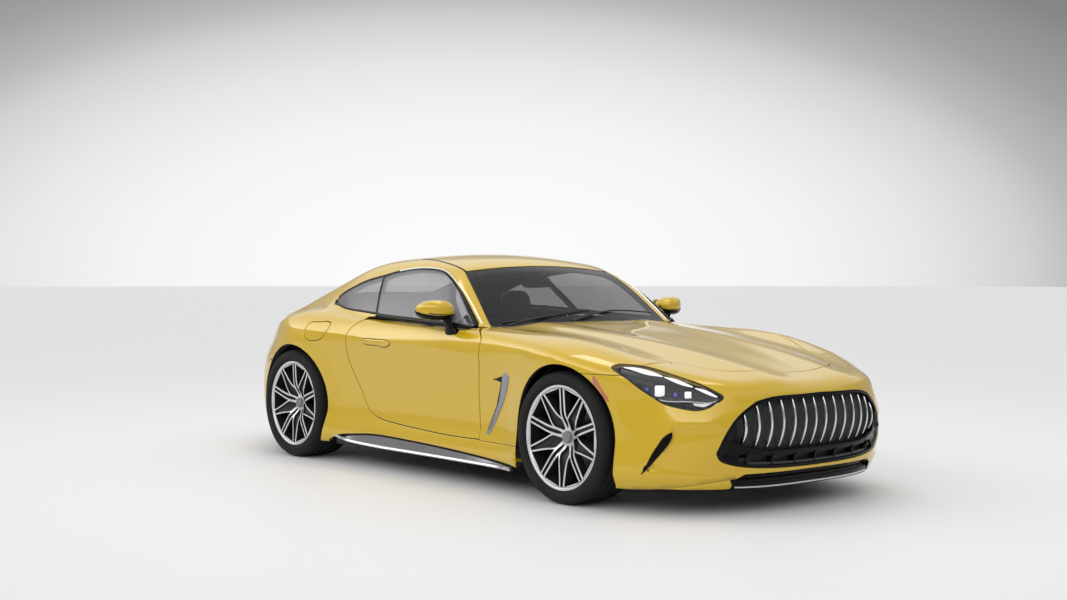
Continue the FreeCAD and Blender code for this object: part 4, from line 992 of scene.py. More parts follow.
M["cast"] = plain_mat("cast_alloy", (0.22, 0.22, 0.23), 0.5, metal=0.8, bump=0.2, bscale=160.0)
M["rubber"] = plain_mat("tyre_rubber", (0.0085, 0.0085, 0.009), 0.72, var=0.2, scale=9.0, bump=0.12, bscale=420.0, lift=1.6)
M["glass"] = glass_mat("cabin_glass", (0.30, 0.29, 0.31), 0.36)
M["screen_glass"] = glass_mat("screen_glass", (0.020, 0.022, 0.022), 0.34)
M["screen_glass"].node_tree.nodes["Principled BSDF"].inputs["Coat Weight"].default_value = 0.35
M["clear"] = glass_mat("lamp_clear", (0.30, 0.31, 0.32), 0.05)
M["clear"].node_tree.nodes["Principled BSDF"].inputs["Coat Weight"].default_value = 0.0
M["red_lens"] = glass_mat("tail_red", (0.32, 0.004, 0.006), 0.82, 0.05)
M["amber"] = plain_mat("side_marker", (0.42, 0.115, 0.085), 0.22, coat=0.5)
M["led"] = plain_mat("led_white", (0.60, 0.62, 0.65), 0.22, lift=1.05)
M["trim_dark"] = plain_mat("soft_trim_dark", (0.022, 0.022, 0.024), 0.55, bump=0.35, bscale=260.0)

M["bar_chrome"] = plain_mat("bar_chrome", (0.66, 0.66, 0.68), 0.20, metal=1.0, lift=1.08, coat=0.3)
M["satin_dark"] = plain_mat("satin_dark", (0.030, 0.030, 0.033), 0.30, metal=0.2)
M["violet"] = plain_mat("lamp_violet", (0.05, 0.045, 0.34), 0.12, coat=1.0)
M["led_lens"] = plain_mat("lamp_lens", (0.86, 0.87, 0.86), 0.12, coat=1.0, lift=1.05)
M["trim_bright"] = plain_mat("trim_bright", (0.80, 0.80, 0.81), 0.16, metal=1.0, lift=1.06, coat=0.3)
M["blade_silver"] = plain_mat("blade_silver", (0.27, 0.27, 0.30), 0.34, metal=0.6, coat=0.3, lift=1.1)
M["sill_grey"] = plain_mat("sill_grey", (0.20, 0.20, 0.21), 0.34, metal=0.7, coat=0.3)
M["mirror_glass"] = plain_mat("mirror_glass", (0.62, 0.64, 0.66), 0.03, metal=1.0, lift=1.03)
for k_, e_ in (("black_gloss", 0.12), ("rubber", 0.22), ("rim_dark", 0.30), ("satin_dark", 0.30), ("black_matt", 0.30), ("black_under", 0.20)):
    M[k_].node_tree.nodes["Principled BSDF"].inputs["Specular IOR Level"].default_value = e_
M["hub_cap"] = plain_mat("hub_cap", (0.62, 0.62, 0.63), 0.32, metal=0.1, coat=0.4, lift=1.08)
for k_, e_ in (("led", 0.45), ("led_lens", 0.35)):
    b_ = M[k_].node_tree.nodes["Principled BSDF"]
    b_.inputs["Emission Color"].default_value = (1, 1, 1, 1)
    b_.inputs["Emission Strength"].default_value = e_


def mesh_mat():
    # fine dark lattice, its openings painted darker than its threads as painted shade behind them
    m, nt, b = new_mat("grille_lattice")
    tc = node(nt, "ShaderNodeTexCoord")
    mp = node(nt, "ShaderNodeMapping")
    mp.inputs["Scale"].default_value = (90.0, 90.0, 90.0)
    nt.links.new(tc.outputs["Object"], mp.inputs["Vector"])
    v = node(nt, "ShaderNodeTexVoronoi", feature="DISTANCE_TO_EDGE")
    v.inputs["Scale"].default_value = 1.0
    v.inputs["Randomness"].default_value = 0.0
    nt.links.new(mp.outputs["Vector"], v.inputs["Vector"])
    r = node(nt, "ShaderNodeValToRGB")
    r.color_ramp.elements[0].position, r.color_ramp.elements[0].color = 0.10, (0.018, 0.018, 0.019, 1)
    # cell middles, the openings, near black: painted shade
    r.color_ramp.elements[1].position, r.color_ramp.elements[1].color = 0.16, (0.002, 0.002, 0.002, 1)
    nt.links.new(v.outputs["Distance"], r.inputs["Fac"])
    nt.links.new(r.outputs["Color"], b.inputs["Base Color"])
    b.inputs["Roughness"].default_value = 0.6
    bp = node(nt, "ShaderNodeBump", Strength=0.6, Distance=0.003)
    bp.invert = True
    nt.links.new(v.outputs["Distance"], bp.inputs["Height"])
    nt.links.new(bp.outputs["Normal"], b.inputs["Normal"])
    return m


M["grille_mesh"] = mesh_mat()


# ------------------------------------------------------------------ wheels
def lathe(profile, n=96, closed=True):
    # profile: (along x, radius); turned about the x axis
    p = np.array(profile, float)
    t = np.linspace(0, 2 * pi, n, endpoint=False)
    V = np.stack([np.repeat(p[:, 0][None], n, 0), p[:, 1][None] * np.cos(t)[:, None], p[:, 1][None] * np.sin(t)[:, None]], -1)
    k = len(p)
    F = []
    m = k if closed else k - 1
    for i in range(n):
        j = (i + 1) % n
        for a in range(m):
            b = (a + 1) % k
            F.append((i * k + a, i * k + b, j * k + b))
            F.append((i * k + a, j * k + b, j * k + a))
    return V.reshape(-1, 3), np.array(F)


def fix_winding(V, F):
    v = V[F]
    vol = np.sum(np.einsum("ij,ij->i", v[:, 0], np.cross(v[:, 1], v[:, 2])))
    return F if vol > 0 else F[:, ::-1]


def hard_object(name, V, F, mats, idx=None, angle=35.0):
    ob = mesh_object(name, V, F)
    me = ob.data
    for m in mats:
        me.materials.append(m)
    if idx is not None:
        me.polygons.foreach_set("material_index", np.asarray(idx, np.int32))
    me.set_sharp_from_angle(angle=math.radians(angle))
    me.update()
    return ob


DEPTH = Curve([34, 50, 62, 78, 98, 120, 150, 200, 240, 262], [57, 55, 51, 43, 31, 21, 15.5, 12, 9.5, 8])     # how far the spokes' face lies inside the lip
H_MAIN = Curve([50, 56, 64, 76, 92, 112, 150, 200, 262], [9.0, 11.0, 13.4, 15.4, 16.2, 16.0, 15.2, 14.6, 14.2])
H_SEC = Curve([52, 58, 66, 75, 86, 98, 115, 140, 170, 215, 262], [14.0, 18.0, 22.5, 28.0, 34.5, 38.5, 35.5, 29.5, 24.5, 19.0, 14.5])


PHASE = pi / 10          # one spoke points straight up
TM, TS = 5.4, 5.0        # half the width of the bright edges of the spokes


def polar(r, h, ang, s):
    # point at radius r, h mm to one side of the direction ang
    a = ang + s * np.arcsin(h / r)
    return np.stack([r * np.cos(a), r * np.sin(a)], -1)


def wheel_face():
    """spoke face as a height map over the wheel's plane: (y, z) and depth, with channels and openings"""
    r_out = 262.0
    chan, opens = [], []
    for k in range(5):
        a = k * 2 * pi / 5 + PHASE
        r = np.linspace(r_out, 54, 36)
        L = polar(r, H_MAIN(r) - TM, a, 1)
        Rr = polar(r, H_MAIN(r) - TM, a, -1)[::-1]
        cap_t = np.linspace(0, pi, 7)[1:-1]
        c0 = (L[-1] + Rr[0]) / 2
        rad = np.linalg.norm(L[-1] - Rr[0]) / 2
        e1 = (L[-1] - c0) / rad
        e2 = -np.array([np.cos(a), np.sin(a)])
        cap = np.array([c0 + rad * (e1 * np.cos(t) + e2 * np.sin(t)) for t in cap_t])
        chan.append(np.vstack([L, cap, Rr]))
        b = a + pi / 5
        r = np.concatenate([np.linspace(r_out, 106, 24), np.linspace(101, 57, 13)])
        L = polar(r, H_SEC(r) - TS, b, 1)
        Rr = polar(r, H_SEC(r) - TS, b, -1)[::-1]
        c0 = (L[-1] + Rr[0]) / 2
        rad = np.linalg.norm(L[-1] - Rr[0]) / 2
        e1 = (L[-1] - c0) / rad
        e2 = -np.array([np.cos(b), np.sin(b)])
        cap2 = np.array([c0 + rad * (e1 * np.cos(t) + 0.7 * e2 * np.sin(t)) for t in np.linspace(0, pi, 7)[1:-1]])
        chan.append(np.vstack([L, cap2, Rr]))
        for s in (1, -1):
            # opening between a main spoke and its neighbour
            r = np.linspace(r_out, 109, 26)
            m1 = polar(r, H_MAIN(r) + TM, a, s)
            m2 = polar(r, H_SEC(r) + TS, a + s * pi / 5, -s)[::-1]
            tip = (m1[-1] + m2[0]) / 2
            tip = tip * (1 - 3.0 / np.linalg.norm(tip))
            o = np.vstack([m1, tip[None], m2])
            opens.append(o)
    return chan, opens


def spokes_mesh():
    chan, opens = wheel_face()
    r_out = 262.0
    loops2 = []
    t = np.linspace(0, 2 * pi, 160, endpoint=False)
    loops2.append(np.stack([r_out * np.cos(t), r_out * np.sin(t)], 1) * 1.0)
    loops2.append(np.stack([34 * np.cos(t[::4]), 34 * np.sin(t[::4])], 1))
    clipr = lambda p: p * np.minimum(1.0, (r_out - 0.3) / np.maximum(np.linalg.norm(p, axis=1), 1e-9))[:, None]
    for c in chan:
        loops2 += [clipr(c), clipr(offset(c, -2.2))]
    for o in opens:
        loops2 += [clipr(o), clipr(offset(o, 1.4))]
    pts, edges = [], []
    for L in loops2:
        k = len(pts)
        pts += [Vector(q) for q in L.tolist()]
        edges += [(k + i, k + (i + 1) % len(L)) for i in range(len(L))]
    g = []
    for r in np.arange(44, 258, 9.0):
        n = int(2 * pi * r / (9.0))
        for i in range(n):
            g.append(Vector((r * math.cos(2 * pi * i / n), r * math.sin(2 * pi * i / n))))
    vs, es, fs, *_ = delaunay_2d_cdt(pts + g, edges, [], 0, 1e-3)
    uv = np.array([(p.x, p.y) for p in vs])
    tri = np.array([f for f in fs if len(f) == 3], int)
    C = uv[tri].mean(1)
    rc = np.linalg.norm(C, axis=1)
    keep = (rc < r_out) & (rc > 34)
    for o in opens:
        keep &= ~inside(clipr(o), C)
    tri, C = tri[keep], C[keep]
    used, idx = np.unique(tri, return_inverse=True)
    tri = idx.reshape(-1, 3)
    uv = uv[used]
    rr = np.linalg.norm(uv, axis=1)
    dep = DEPTH(rr)
    rec = np.zeros(len(uv), bool)
    for c in chan:
        q = clipr(offset(c, -1.9))
        rec |= inside(q, uv)
    low = np.zeros(len(tri), bool)
    for c in chan:
        low |= inside(clipr(offset(c, -0.2)), C)
    dep = dep + np.where(rec, 14.0, 0.0)
    # edges beside the openings fall away a little
    nearo = np.zeros(len(uv), bool)
    for o in opens:
        nearo |= inside(clipr(offset(o, 0.5)), uv)
    dep = dep + np.where(nearo, 1.6, 0.0)
    P = np.stack([-dep, uv[:, 0], uv[:, 1]], 1)
    back = np.stack([-dep * 0.55 - 58.0 - 6.0 * (rr < 120), uv[:, 0] * 0.995, uv[:, 1] * 0.995], 1)
    v = P[tri]
    s = np.cross(v[:, 1] - v[:, 0], v[:, 2] - v[:, 0])[:, 0]
    tri[s < 0] = tri[s < 0][:, ::-1]
    n = len(P)
    be, _ = boundary(tri)
    # walls
    w1 = np.stack([be[:, 1], be[:, 0], be[:, 0] + n], 1)
    w2 = np.stack([be[:, 1], be[:, 0] + n, be[:, 1] + n], 1)
    F = np.vstack([tri, w1, w2, tri[:, ::-1] + n])
    mi = np.concatenate([np.where(low, 1, 0), np.ones(2 * len(be) + len(tri), int)])
    return np.vstack([P, back]), F, mi


def build_wheels():
    SV, SF, SM = spokes_mesh()
    lip = 0.0
    out = {}
    specs = {"front": (355.0, 290.0, 835.0 + 128.0), "rear": (358.0, 298.0, 835.0 + 132.0)}
    for ax, (tr, tw, lx) in specs.items():
        h = tw / 2
        # rim barrel and lip; x measured outwards from the lip plane
        w = 2 * (lx - 835.0)
        prof = [(0, 279.5), (-1.5, 281.0), (-5, 281.0), (-9, 277.0), (-12, 268.5), (-30, 266.5), (-60, 262), (-w + 60, 262), (-w + 12, 267), (-w + 8, 279), (-w, 279), (-w + 2, 262), (-w + 40, 252),
                (-70, 250), (-40, 255), (-20, 260.5), (-8, 263.5), (-2.5, 268.0), (0, 273)]
        BV, BF = lathe(prof, 128)
        BF = fix_winding(BV, BF)
        BM = []
        for f in BF:
            c = BV[f].mean(0)
            BM.append(0 if c[0] > -19 else 1)
        # hub and plain centre cap
        hub = [(-62, 0.01), (-62, 33), (-66, 38), (-92, 52), (-128, 66), (-128, 34), (-70, 33.5), (-70, 0.01)]
        HV, HF = lathe(hub, 64)
        HF = fix_winding(HV, HF)
        cap = [(-56.0, 0.01), (-56.2, 18), (-57.0, 28), (-58.5, 33.6), (-66, 33.6), (-66, 0.01)]
        CV, CF = lathe(cap, 64)
        CF = fix_winding(CV, CF)
        parts = [(SV, SF, SM), (BV, BF, np.array(BM)), (HV, HF, np.ones(len(HF), int)), (CV, CF, np.full(len(CF), 2))]
        # wheel bolts in the slots beside the hub
        for k in range(5):
            a = k * 2 * pi / 5 + PHASE
            bolt = [(-60.5, 0.01), (-60.5, 6), (-61.5, 8.6), (-74, 8.6), (-74, 0.01)]
            V_, F_ = lathe(bolt, 6)
            V_ = V_ + np.array([0.0, 67 * math.cos(a), 67 * math.sin(a)])
            parts.append((V_, fix_winding(V_, F_), np.ones(len(F_), int)))
        k = 0
        vs, fs, ms = [], [], []
        for V_, F_, m_ in parts:
            vs.append(V_)
            fs.append(F_ + k)
            ms.append(m_)
            k += len(V_)
        RV, RF, RM = np.vstack(vs), np.vstack(fs), np.concatenate(ms)
        # tyre: rounded shoulders, sidewall steps, bead against the rim
        R_ = tr
        yh = h - 1.0
        half = [(0, R_), (yh * 0.45, R_ - 0.4), (yh * 0.72, R_ - 2.2), (yh * 0.86, R_ - 6.5), (yh * 0.945, R_ - 15), (yh * 0.985, R_ - 26), (yh, R_ - 40), (yh - 1.5, R_ - 50), (yh - 0.6, R_ - 52), (yh - 2.4, R_ - 56),
                (yh - 8, R_ - 66), (lx - 835.0 - 4.0, 284.0), (lx - 835.0 - 6.5, 280.5), (lx - 835.0 - 12, 272), (lx - 835.0 - 14, 268.5)]
        pr = half + [(lx - 835.0 - 14 - 6, 268.2)] + [(-(lx - 835.0 - 20), 268.2)] + [(-a, b) for a, b in half[::-1]][:-1]
        # grooves round the tread
        tread = []
        for gx in (-0.52, -0.19, 0.19, 0.52):
            tread.append((gx * yh, 5.2))
        pr2 = []
        top = [(-yh * 0.72, R_ - 2.2)]
        xs = []
        for gx, gw in tread:
            xs += [(gx - gw - 0.8, 0.0), (gx - gw, 0.8), (gx - gw + 0.9, 7.0), (gx + gw - 0.9, 7.0), (gx + gw, 0.8), (gx + gw + 0.8, 0.0)]
        crown = lambda x: R_ - 2.2 * (abs(x) / (yh * 0.72)) ** 2.4
        tops = [(x, crown(x) - d) for x, d in xs]
        body = [p for p in half if p[0] >= yh * 0.72]
        pr = tops + body + [(lx - 835.0 - 20, 268.2), (-(lx - 835.0 - 20), 268.2)] + [(-a, b) for a, b in body[::-1]]
        TV, TF = lathe(pr, 180)
        TF = fix_winding(TV, TF)
        # the brake disc, with drilled holes and a raised centre, is built by ring_holes_disc below
        out[ax] = dict(rim=(RV, RF, RM), tyre=(TV, TF), lx=lx, tr=tr)
    return out


def ring_holes_disc():
    r0, r1 = 118.0, 195.0
    t = np.linspace(0, 2 * pi, 120, endpoint=False)
    pts, edges, holes = [], [], []

    def add(L):
        k = len(pts)
        pts.extend([Vector(q) for q in L.tolist()])
        edges.extend([(k + i, k + (i + 1) % len(L)) for i in range(len(L))])
    add(np.stack([r1 * np.cos(t), r1 * np.sin(t)], 1))
    add(np.stack([r0 * np.cos(t), r0 * np.sin(t)], 1))
    u = np.linspace(0, 2 * pi, 8, endpoint=False)
    for i in range(24):
        for j, r in enumerate((131, 146, 161, 176, 187)):
            a = 2 * pi * i / 24 + j * 0.055
            c = np.array([r * math.cos(a), r * math.sin(a)])
            hl = c + 3.4 * np.stack([np.cos(u), np.sin(u)], 1)
            holes.append(c)
            add(hl)
    vs, es, fs, *_ = delaunay_2d_cdt(pts, edges, [], 0, 1e-3)
    uv = np.array([(p.x, p.y) for p in vs])
    tri = np.array([f for f in fs if len(f) == 3], int)
    C = uv[tri].mean(1)
    rc = np.linalg.norm(C, axis=1)
    keep = (rc < r1) & (rc > r0)
    H = np.array(holes)
    for h in H:
        keep &= np.linalg.norm(C - h, axis=1) > 3.3
    tri = tri[keep]
    used, idx = np.unique(tri, return_inverse=True)
    tri, uv = idx.reshape(-1, 3), uv[used]
    n = len(uv)
    A = np.stack([np.full(n, 17.0), uv[:, 0], uv[:, 1]], 1)
    B = np.stack([np.full(n, -17.0), uv[:, 0], uv[:, 1]], 1)
    v = A[tri]
    s = np.cross(v[:, 1] - v[:, 0], v[:, 2] - v[:, 0])[:, 0]
    tri[s < 0] = tri[s < 0][:, ::-1]
    be, _ = boundary(tri)
    w1 = np.stack([be[:, 1], be[:, 0], be[:, 0] + n], 1)
    w2 = np.stack([be[:, 1], be[:, 0] + n, be[:, 1] + n], 1)
    V = np.vstack([A, B])
    F = np.vstack([tri, w1, w2, tri[:, ::-1] + n])
    hat = [(17, 34), (17, 118.5), (-17, 118.5), (-17, 112), (10, 110), (11, 90), (95, 84), (106, 78), (106, 34)]
    HV, HF = lathe(hat, 72)
    HF = fix_winding(HV, HF)
    m = np.concatenate([np.zeros(len(F), int), np.ones(len(HF), int)])
    return np.vstack([V, HV]), np.vstack([F, HF + len(V)]), m


# ------------------------------------------------------------------ small builders
def unit(v):
    v = np.asarray(v, float)
    return v / (np.linalg.norm(v) + 1e-12)


def inset_field(t):
    return lambda w, y, z: F_A(w, y, z) + t


def inset_u(t):
    return lambda w, y, z: F_U(w, y, z) + t


def on_skin(view, pts, t=0.0, fld=None, y0=-1500.0):
    f = fld or F_A
    g = (lambda w, y, z: f(w, y, z) + t) if not np.isscalar(t) or t else f
    return project(view, np.array(pts, float), g, y0)


def line(pts, step=10.0):
    # smooth open line through points of any dimension
    p = np.array(pts, float)
    s = np.concatenate([[0.0], np.cumsum(np.linalg.norm(np.diff(p, axis=0), axis=1))])
    n = max(2, int(s[-1] / step) + 1)
    t = np.linspace(0, s[-1], n)
    if len(p) == 2:
        return p[0] + (p[1] - p[0]) * (t / s[-1])[:, None]
    return np.stack([Curve(s, p[:, i])(t) for i in range(p.shape[1])], 1)


def cap_fan(loop, k, flip):
    # loop: indices, k: index of the centre vertex
    n = len(loop)
    return [(loop[i], loop[(i + 1) % n], k) if not flip else (loop[(i + 1) % n], loop[i], k) for i in range(n)]


def sweep(path, nrm, profile, closed=False, scale=None):
    """profile: closed outline of (side, up) in mm, anticlockwise; up is along nrm"""
    P = np.array(path, float)
    n = len(P)
    if closed:
        T = np.roll(P, -1, 0) - np.roll(P, 1, 0)
    else:
        T = np.gradient(P, axis=0)
    T /= np.linalg.norm(T, axis=1)[:, None]
    U = np.broadcast_to(np.asarray(nrm, float), P.shape)
    U = U - T * np.sum(U * T, 1)[:, None]
    U = U / np.linalg.norm(U, axis=1)[:, None]
    B = np.cross(T, U)
    pr = np.array(profile, float)
    m = len(pr)
    if scale is None:
        V = P[:, None] + pr[None, :, 0, None] * B[:, None] + pr[None, :, 1, None] * U[:, None]
    else:
        sc = np.array(scale, float)
        if sc.ndim == 1:
            sc = np.stack([sc, sc], 1)
        V = P[:, None] + (pr[None, :, 0] * sc[:, 0, None])[..., None] * B[:, None] + (pr[None, :, 1] * sc[:, 1, None])[..., None] * U[:, None]
    V = V.reshape(-1, 3)
    F = []
    for i in range(n if closed else n - 1):
        j = (i + 1) % n
        for a in range(m):
            b = (a + 1) % m
            F += [(i * m + a, j * m + a, j * m + b), (i * m + a, j * m + b, i * m + b)]
    if not closed:
        k = len(V)
        V = np.vstack([V, V[:m].mean(0), V[-m:].mean(0)])
        F += cap_fan(list(range(m)), k, False)
        F += cap_fan(list(range((n - 1) * m, n * m)), k + 1, True)
    F = np.array(F)
    return V, fix_winding(V, F)


def half_round(w, h, n=7, base=0.0):
    # half-round bead: w wide, h high
    t = np.linspace(0, pi, n)
    return [(w / 2 * math.cos(a), base + (h - base) * math.sin(a) ** 0.8) for a in t] + [(-w / 2, base - 1.5), (w / 2, base - 1.5)]


def rect(w, h, r=1.0, up=0.0):
    # bevelled bar: w wide, from up-h to up
    x, a, b = w / 2, up - h, up
    return [(x, a + r), (x, b - r), (x - r, b), (-x + r, b), (-x, b - r), (-x, a + r), (-x + r, a), (x - r, a)]


def round_rect(w, h, r, n=5):
    out = []
    for cx, cy, a0 in ((w / 2 - r, h / 2 - r, 0), (-w / 2 + r, h / 2 - r, 90), (-w / 2 + r, -h / 2 + r, 180), (w / 2 - r, -h / 2 + r, 270)):
        for k in range(n):
            a = math.radians(a0 + 90.0 * k / (n - 1))
            out.append((cx + r * math.cos(a), cy + r * math.sin(a)))
    return np.array(out)


def stack(poly, levels, cap0=True, cap1=True):
    """outline raised through levels of (offset outwards, height), with flat ends"""
    poly = np.array(poly, float)
    if area2(poly) < 0:
        poly = poly[::-1]
    m = len(poly)
    V = np.vstack([np.column_stack([offset(poly, d), np.full(m, h)]) for d, h in levels])
    F = []
    for i in range(len(levels) - 1):
        for a in range(m):
            b = (a + 1) % m
            F += [(i * m + a, i * m + b, (i + 1) * m + b), (i * m + a, (i + 1) * m + b, (i + 1) * m + a)]
    k = len(V)
    n = len(levels)
    if cap0:
        V = np.vstack([V, V[:m].mean(0)])
        F += cap_fan(list(range(m)), k, True)
        k += 1
    if cap1:
        V = np.vstack([V, V[(n - 1) * m:n * m].mean(0)])
        F += cap_fan(list(range((n - 1) * m, n * m)), k, False)
    return V, np.array(F)


def seat_at(V, origin, ex, ey, ez):
    return np.asarray(origin, float) + V[:, 0:1] * np.asarray(ex, float) + V[:, 1:2] * np.asarray(ey, float) + V[:, 2:3] * np.asarray(ez, float)


def joinh(parts):
    # (V, F) or (V, F, slot) parts into one, with material slots
    vs, fs, ms = [], [], []
    k = 0
    for p in parts:
        V, F = p[0], np.asarray(p[1])
        m = p[2] if len(p) > 2 else 0
        vs.append(V)
        fs.append(F + k)
        ms.append(np.full(len(F), m) if np.isscalar(m) else np.asarray(m))
        k += len(V)
    return np.vstack(vs), np.vstack(fs), np.concatenate(ms)


def both_sides(parts):
    out = list(parts)
    for p in parts:
        out.append((p[0] * np.array([-1.0, 1, 1]), np.asarray(p[1])[:, ::-1]) + tuple(p[2:]))
    return out


def rbox(sx, sy, sz, r=4.0, n=3):
    """rounded box about the origin"""
    me = bmesh.new()
    bmesh.ops.create_cube(me, size=1.0)
    for v in me.verts:
        v.co = Vector((v.co.x * sx, v.co.y * sy, v.co.z * sz))
    if r > 0:
        bmesh.ops.bevel(me, geom=list(me.edges), offset=r, segments=n, profile=0.5, affect="EDGES")
    bmesh.ops.triangulate(me, faces=list(me.faces))
    V = np.array([v.co[:] for v in me.verts])
    F = np.array([[l.vert.index for l in f.loops] for f in me.faces])
    me.free()
    return V, F


def rot_x(V, a):
    c, s = math.cos(a), math.sin(a)
    return np.stack([V[:, 0], V[:, 1] * c - V[:, 2] * s, V[:, 1] * s + V[:, 2] * c], 1)


def pipe(path, r, n=10, closed=False):
    t = np.linspace(0, 2 * pi, n, endpoint=False)
    pr = [(r * math.cos(a), r * math.sin(a)) for a in t]
    P = np.array(path, float)
    T = np.gradient(P, axis=0)
    up = np.array([0, 0, 1.0]) if abs(unit(T[0])[2]) < 0.8 else np.array([1.0, 0, 0])
    return sweep(P, up, pr, closed)


# ------------------------------------------------------------------ pieces on the frame
def put(name, parts, mat, body, nodes=(), inner=None):
    V, F, N = join(parts) if isinstance(parts, list) else parts
    ob = mesh_object(name, V, F, N, mat)
    if inner is not None and len(ob.data.polygons) == len(F):
        # faces that look into the body get the lining's material
        ob.data.materials.append(inner)
        v = V[F]
        g = np.cross(v[:, 1] - v[:, 0], v[:, 2] - v[:, 0])
        g /= np.linalg.norm(g, axis=1)[:, None] + 1e-12
        c_ = v.mean(1)
        w_ = np.sum(g * normals(c_, F_U), 1)
        q = (w_ < -0.25) | ((w_ < 0.45) & (c_[:, 2] > 905.0))
        # so do the returned edges of the wheel arches, a painted shade: the flange's visible thickness takes the dark
        # lining colour
        for ya, za in ((YF, 355.0), (YR, 358.0)):
            d_ = np.stack([ya - c_[:, 1], za - c_[:, 2]], 1)
            r_ = np.linalg.norm(d_, axis=1)
            q |= ((g[:, 1:] * d_).sum(1) / (r_ + 1e-9) > 0.6) & (r_ < 520.0) & (np.abs(c_[:, 0]) > 600.0)
        ob.data.polygons.foreach_set("material_index", q.astype(np.int32))
    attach(ob, body)
    if nodes:
        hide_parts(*nodes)
    return ob


def puth(name, V, F, mats, body, idx=None, nodes=(), angle=35.0):
    ob = hard_object(name, V, F, mats if isinstance(mats, (list, tuple)) else [mats], idx, angle)
    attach(ob, body)
    if nodes:
        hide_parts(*nodes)
    return ob


put("front_fenders_skin", [PW, mirror_x(*PW)], M["paint"], "shell", ["front_fenders"], M["black_under"])
put("body_side_right_skin", PSR, M["paint"], "shell", ["body_sides"], M["trim_dark"])
put("body_side_left_skin", PSL, M["paint"], "shell", ["body_sides"], M["trim_dark"])
put("fuel_flap_skin", flap, M["paint"], "fuel_flap_body", ["fuel_flap"])
# the inner lower corner at the hinge end is cut back, so that it clears the sill when the door opens
_d = door[0]
_d[:, 2] = np.where((_d[:, 1] < -530.0) & (_d[:, 2] < 284.0) & (_d[:, 0] > -908.0), 284.0, _d[:, 2])
put("door_right_skin", door, M["paint"], "door_right_body", ["door_right"], M["trim_dark"])
put("door_left_skin", mirror_x(*door), M["paint"], "door_left_body", ["door_left"], M["trim_dark"])
put("bonnet_skin", bonnet, M["paint"], "bonnet_body", ["bonnet"])
put("cowl_skin", cowl, M["black_matt"], "shell", ["cowl_panel"])
put("windshield_glass", screen, M["screen_glass"], "shell", ["windshield"])
put("roof_skin", roof, M["paint"], "shell", ["roof_panel"], M["trim_dark"])
put("tailgate_skin", hatch, M["paint"], "tailgate_body", ["tailgate"], M["trim_dark"])
put("rear_window_glass", rearglass, M["screen_glass"], "tailgate_body", ["rear_window"])
put("door_window_right_glass", pane, M["glass"], "door_right_body", ["door_window_right"])
put("door_window_left_glass", mirror_x(*pane), M["glass"], "door_left_body", ["door_window_left"])
put("quarter_windows_glass", [qpane, mirror_x(*qpane)], M["glass"], "shell", ["quarter_windows"])
put("front_bumper_skin", bumper, M["paint"], "shell", ["front_bumper"], M["black_under"])
ob = put("front_bumper_lower", blow, M["black_gloss"], "shell", ["front_bumper"])
# its outer ends are painted like the face above them
ob.data.materials.append(M["paint"])
cx_ = np.empty(len(ob.data.polygons) * 3, np.float32)
ob.data.polygons.foreach_get("center", cx_)
cx_ = cx_.reshape(-1, 3)
k_ = 1000.0 if np.abs(cx_).max() < 50 else 1.0
ob.data.polygons.foreach_set("material_index", (np.abs(cx_[:, 0]) * k_ > 566.0).astype(np.int32))
put("rear_bumper_skin", rbumper, M["paint"], "shell", ["rear_bumper"], M["black_under"])


# ------------------------------------------------------------------ grille and lower intake
G_OUT = outline(GRILLE, 12)
if area2(G_OUT) < 0:
    G_OUT = G_OUT[::-1]


def front_ring(loopA, tA, loopB, tB):
    """surface between two loops of the front view, each at its own depth below the skin"""
    A = on_skin("front", loopA, tA)
    B = on_skin("front", loopB, tB)
    n = len(A)
    F = []
    for i in range(n):
        j = (i + 1) % n
        F += [(i, j, n + j), (i, n + j, n + i)]
    return np.vstack([A, B]), np.array(F)


# top of the lower bar and bottom of it, as lines across the opening
BAR_T = Curve([-620, -553, -448, -290, 0, 290, 448, 553, 620], [392, 372, 338, 324, 322, 324, 338, 372, 392])
BAR_B = Curve([-620, -553, -448, -290, 0, 290, 448, 553, 620], [352, 322, 306, 297, 294, 297, 306, 322, 352])


def split_opening(poly, ztop, zbot):
    """upper and lower apertures inside the frame"""
    xs = poly[:, 0]
    up = poly[poly[:, 1] > ztop(xs) + 2]
    lo = poly[poly[:, 1] < zbot(xs) - 2]
    return up, lo


def order_loop(p):
    c = p.mean(0)
    return p[np.argsort(np.arctan2(p[:, 1] - c[1], p[:, 0] - c[0]))]


inner = offset(G_OUT, -15.0)
ox = np.linspace(-548, 548, 60)
u_top = inner[(inner[:, 1] > BAR_T(inner[:, 0]) + 3) & (np.abs(inner[:, 0]) < 572)]
u_top = u_top[np.argsort(u_top[:, 0])]
xl, xr = u_top[0, 0], u_top[-1, 0]
bx = np.linspace(xr, xl, 60)
AP_UP = np.vstack([u_top, np.column_stack([bx, BAR_T(bx)])[1:-1]])
l_bot = inner[(inner[:, 1] < 292) & (np.abs(inner[:, 0]) < 560)]
l_bot = l_bot[np.argsort(-l_bot[:, 0])]
xr2, xl2 = l_bot[0, 0], l_bot[-1, 0]
bx = np.linspace(xl2, xr2, 60)
AP_LO = np.vstack([l_bot, np.column_stack([bx, BAR_B(bx)])[1:-1]])


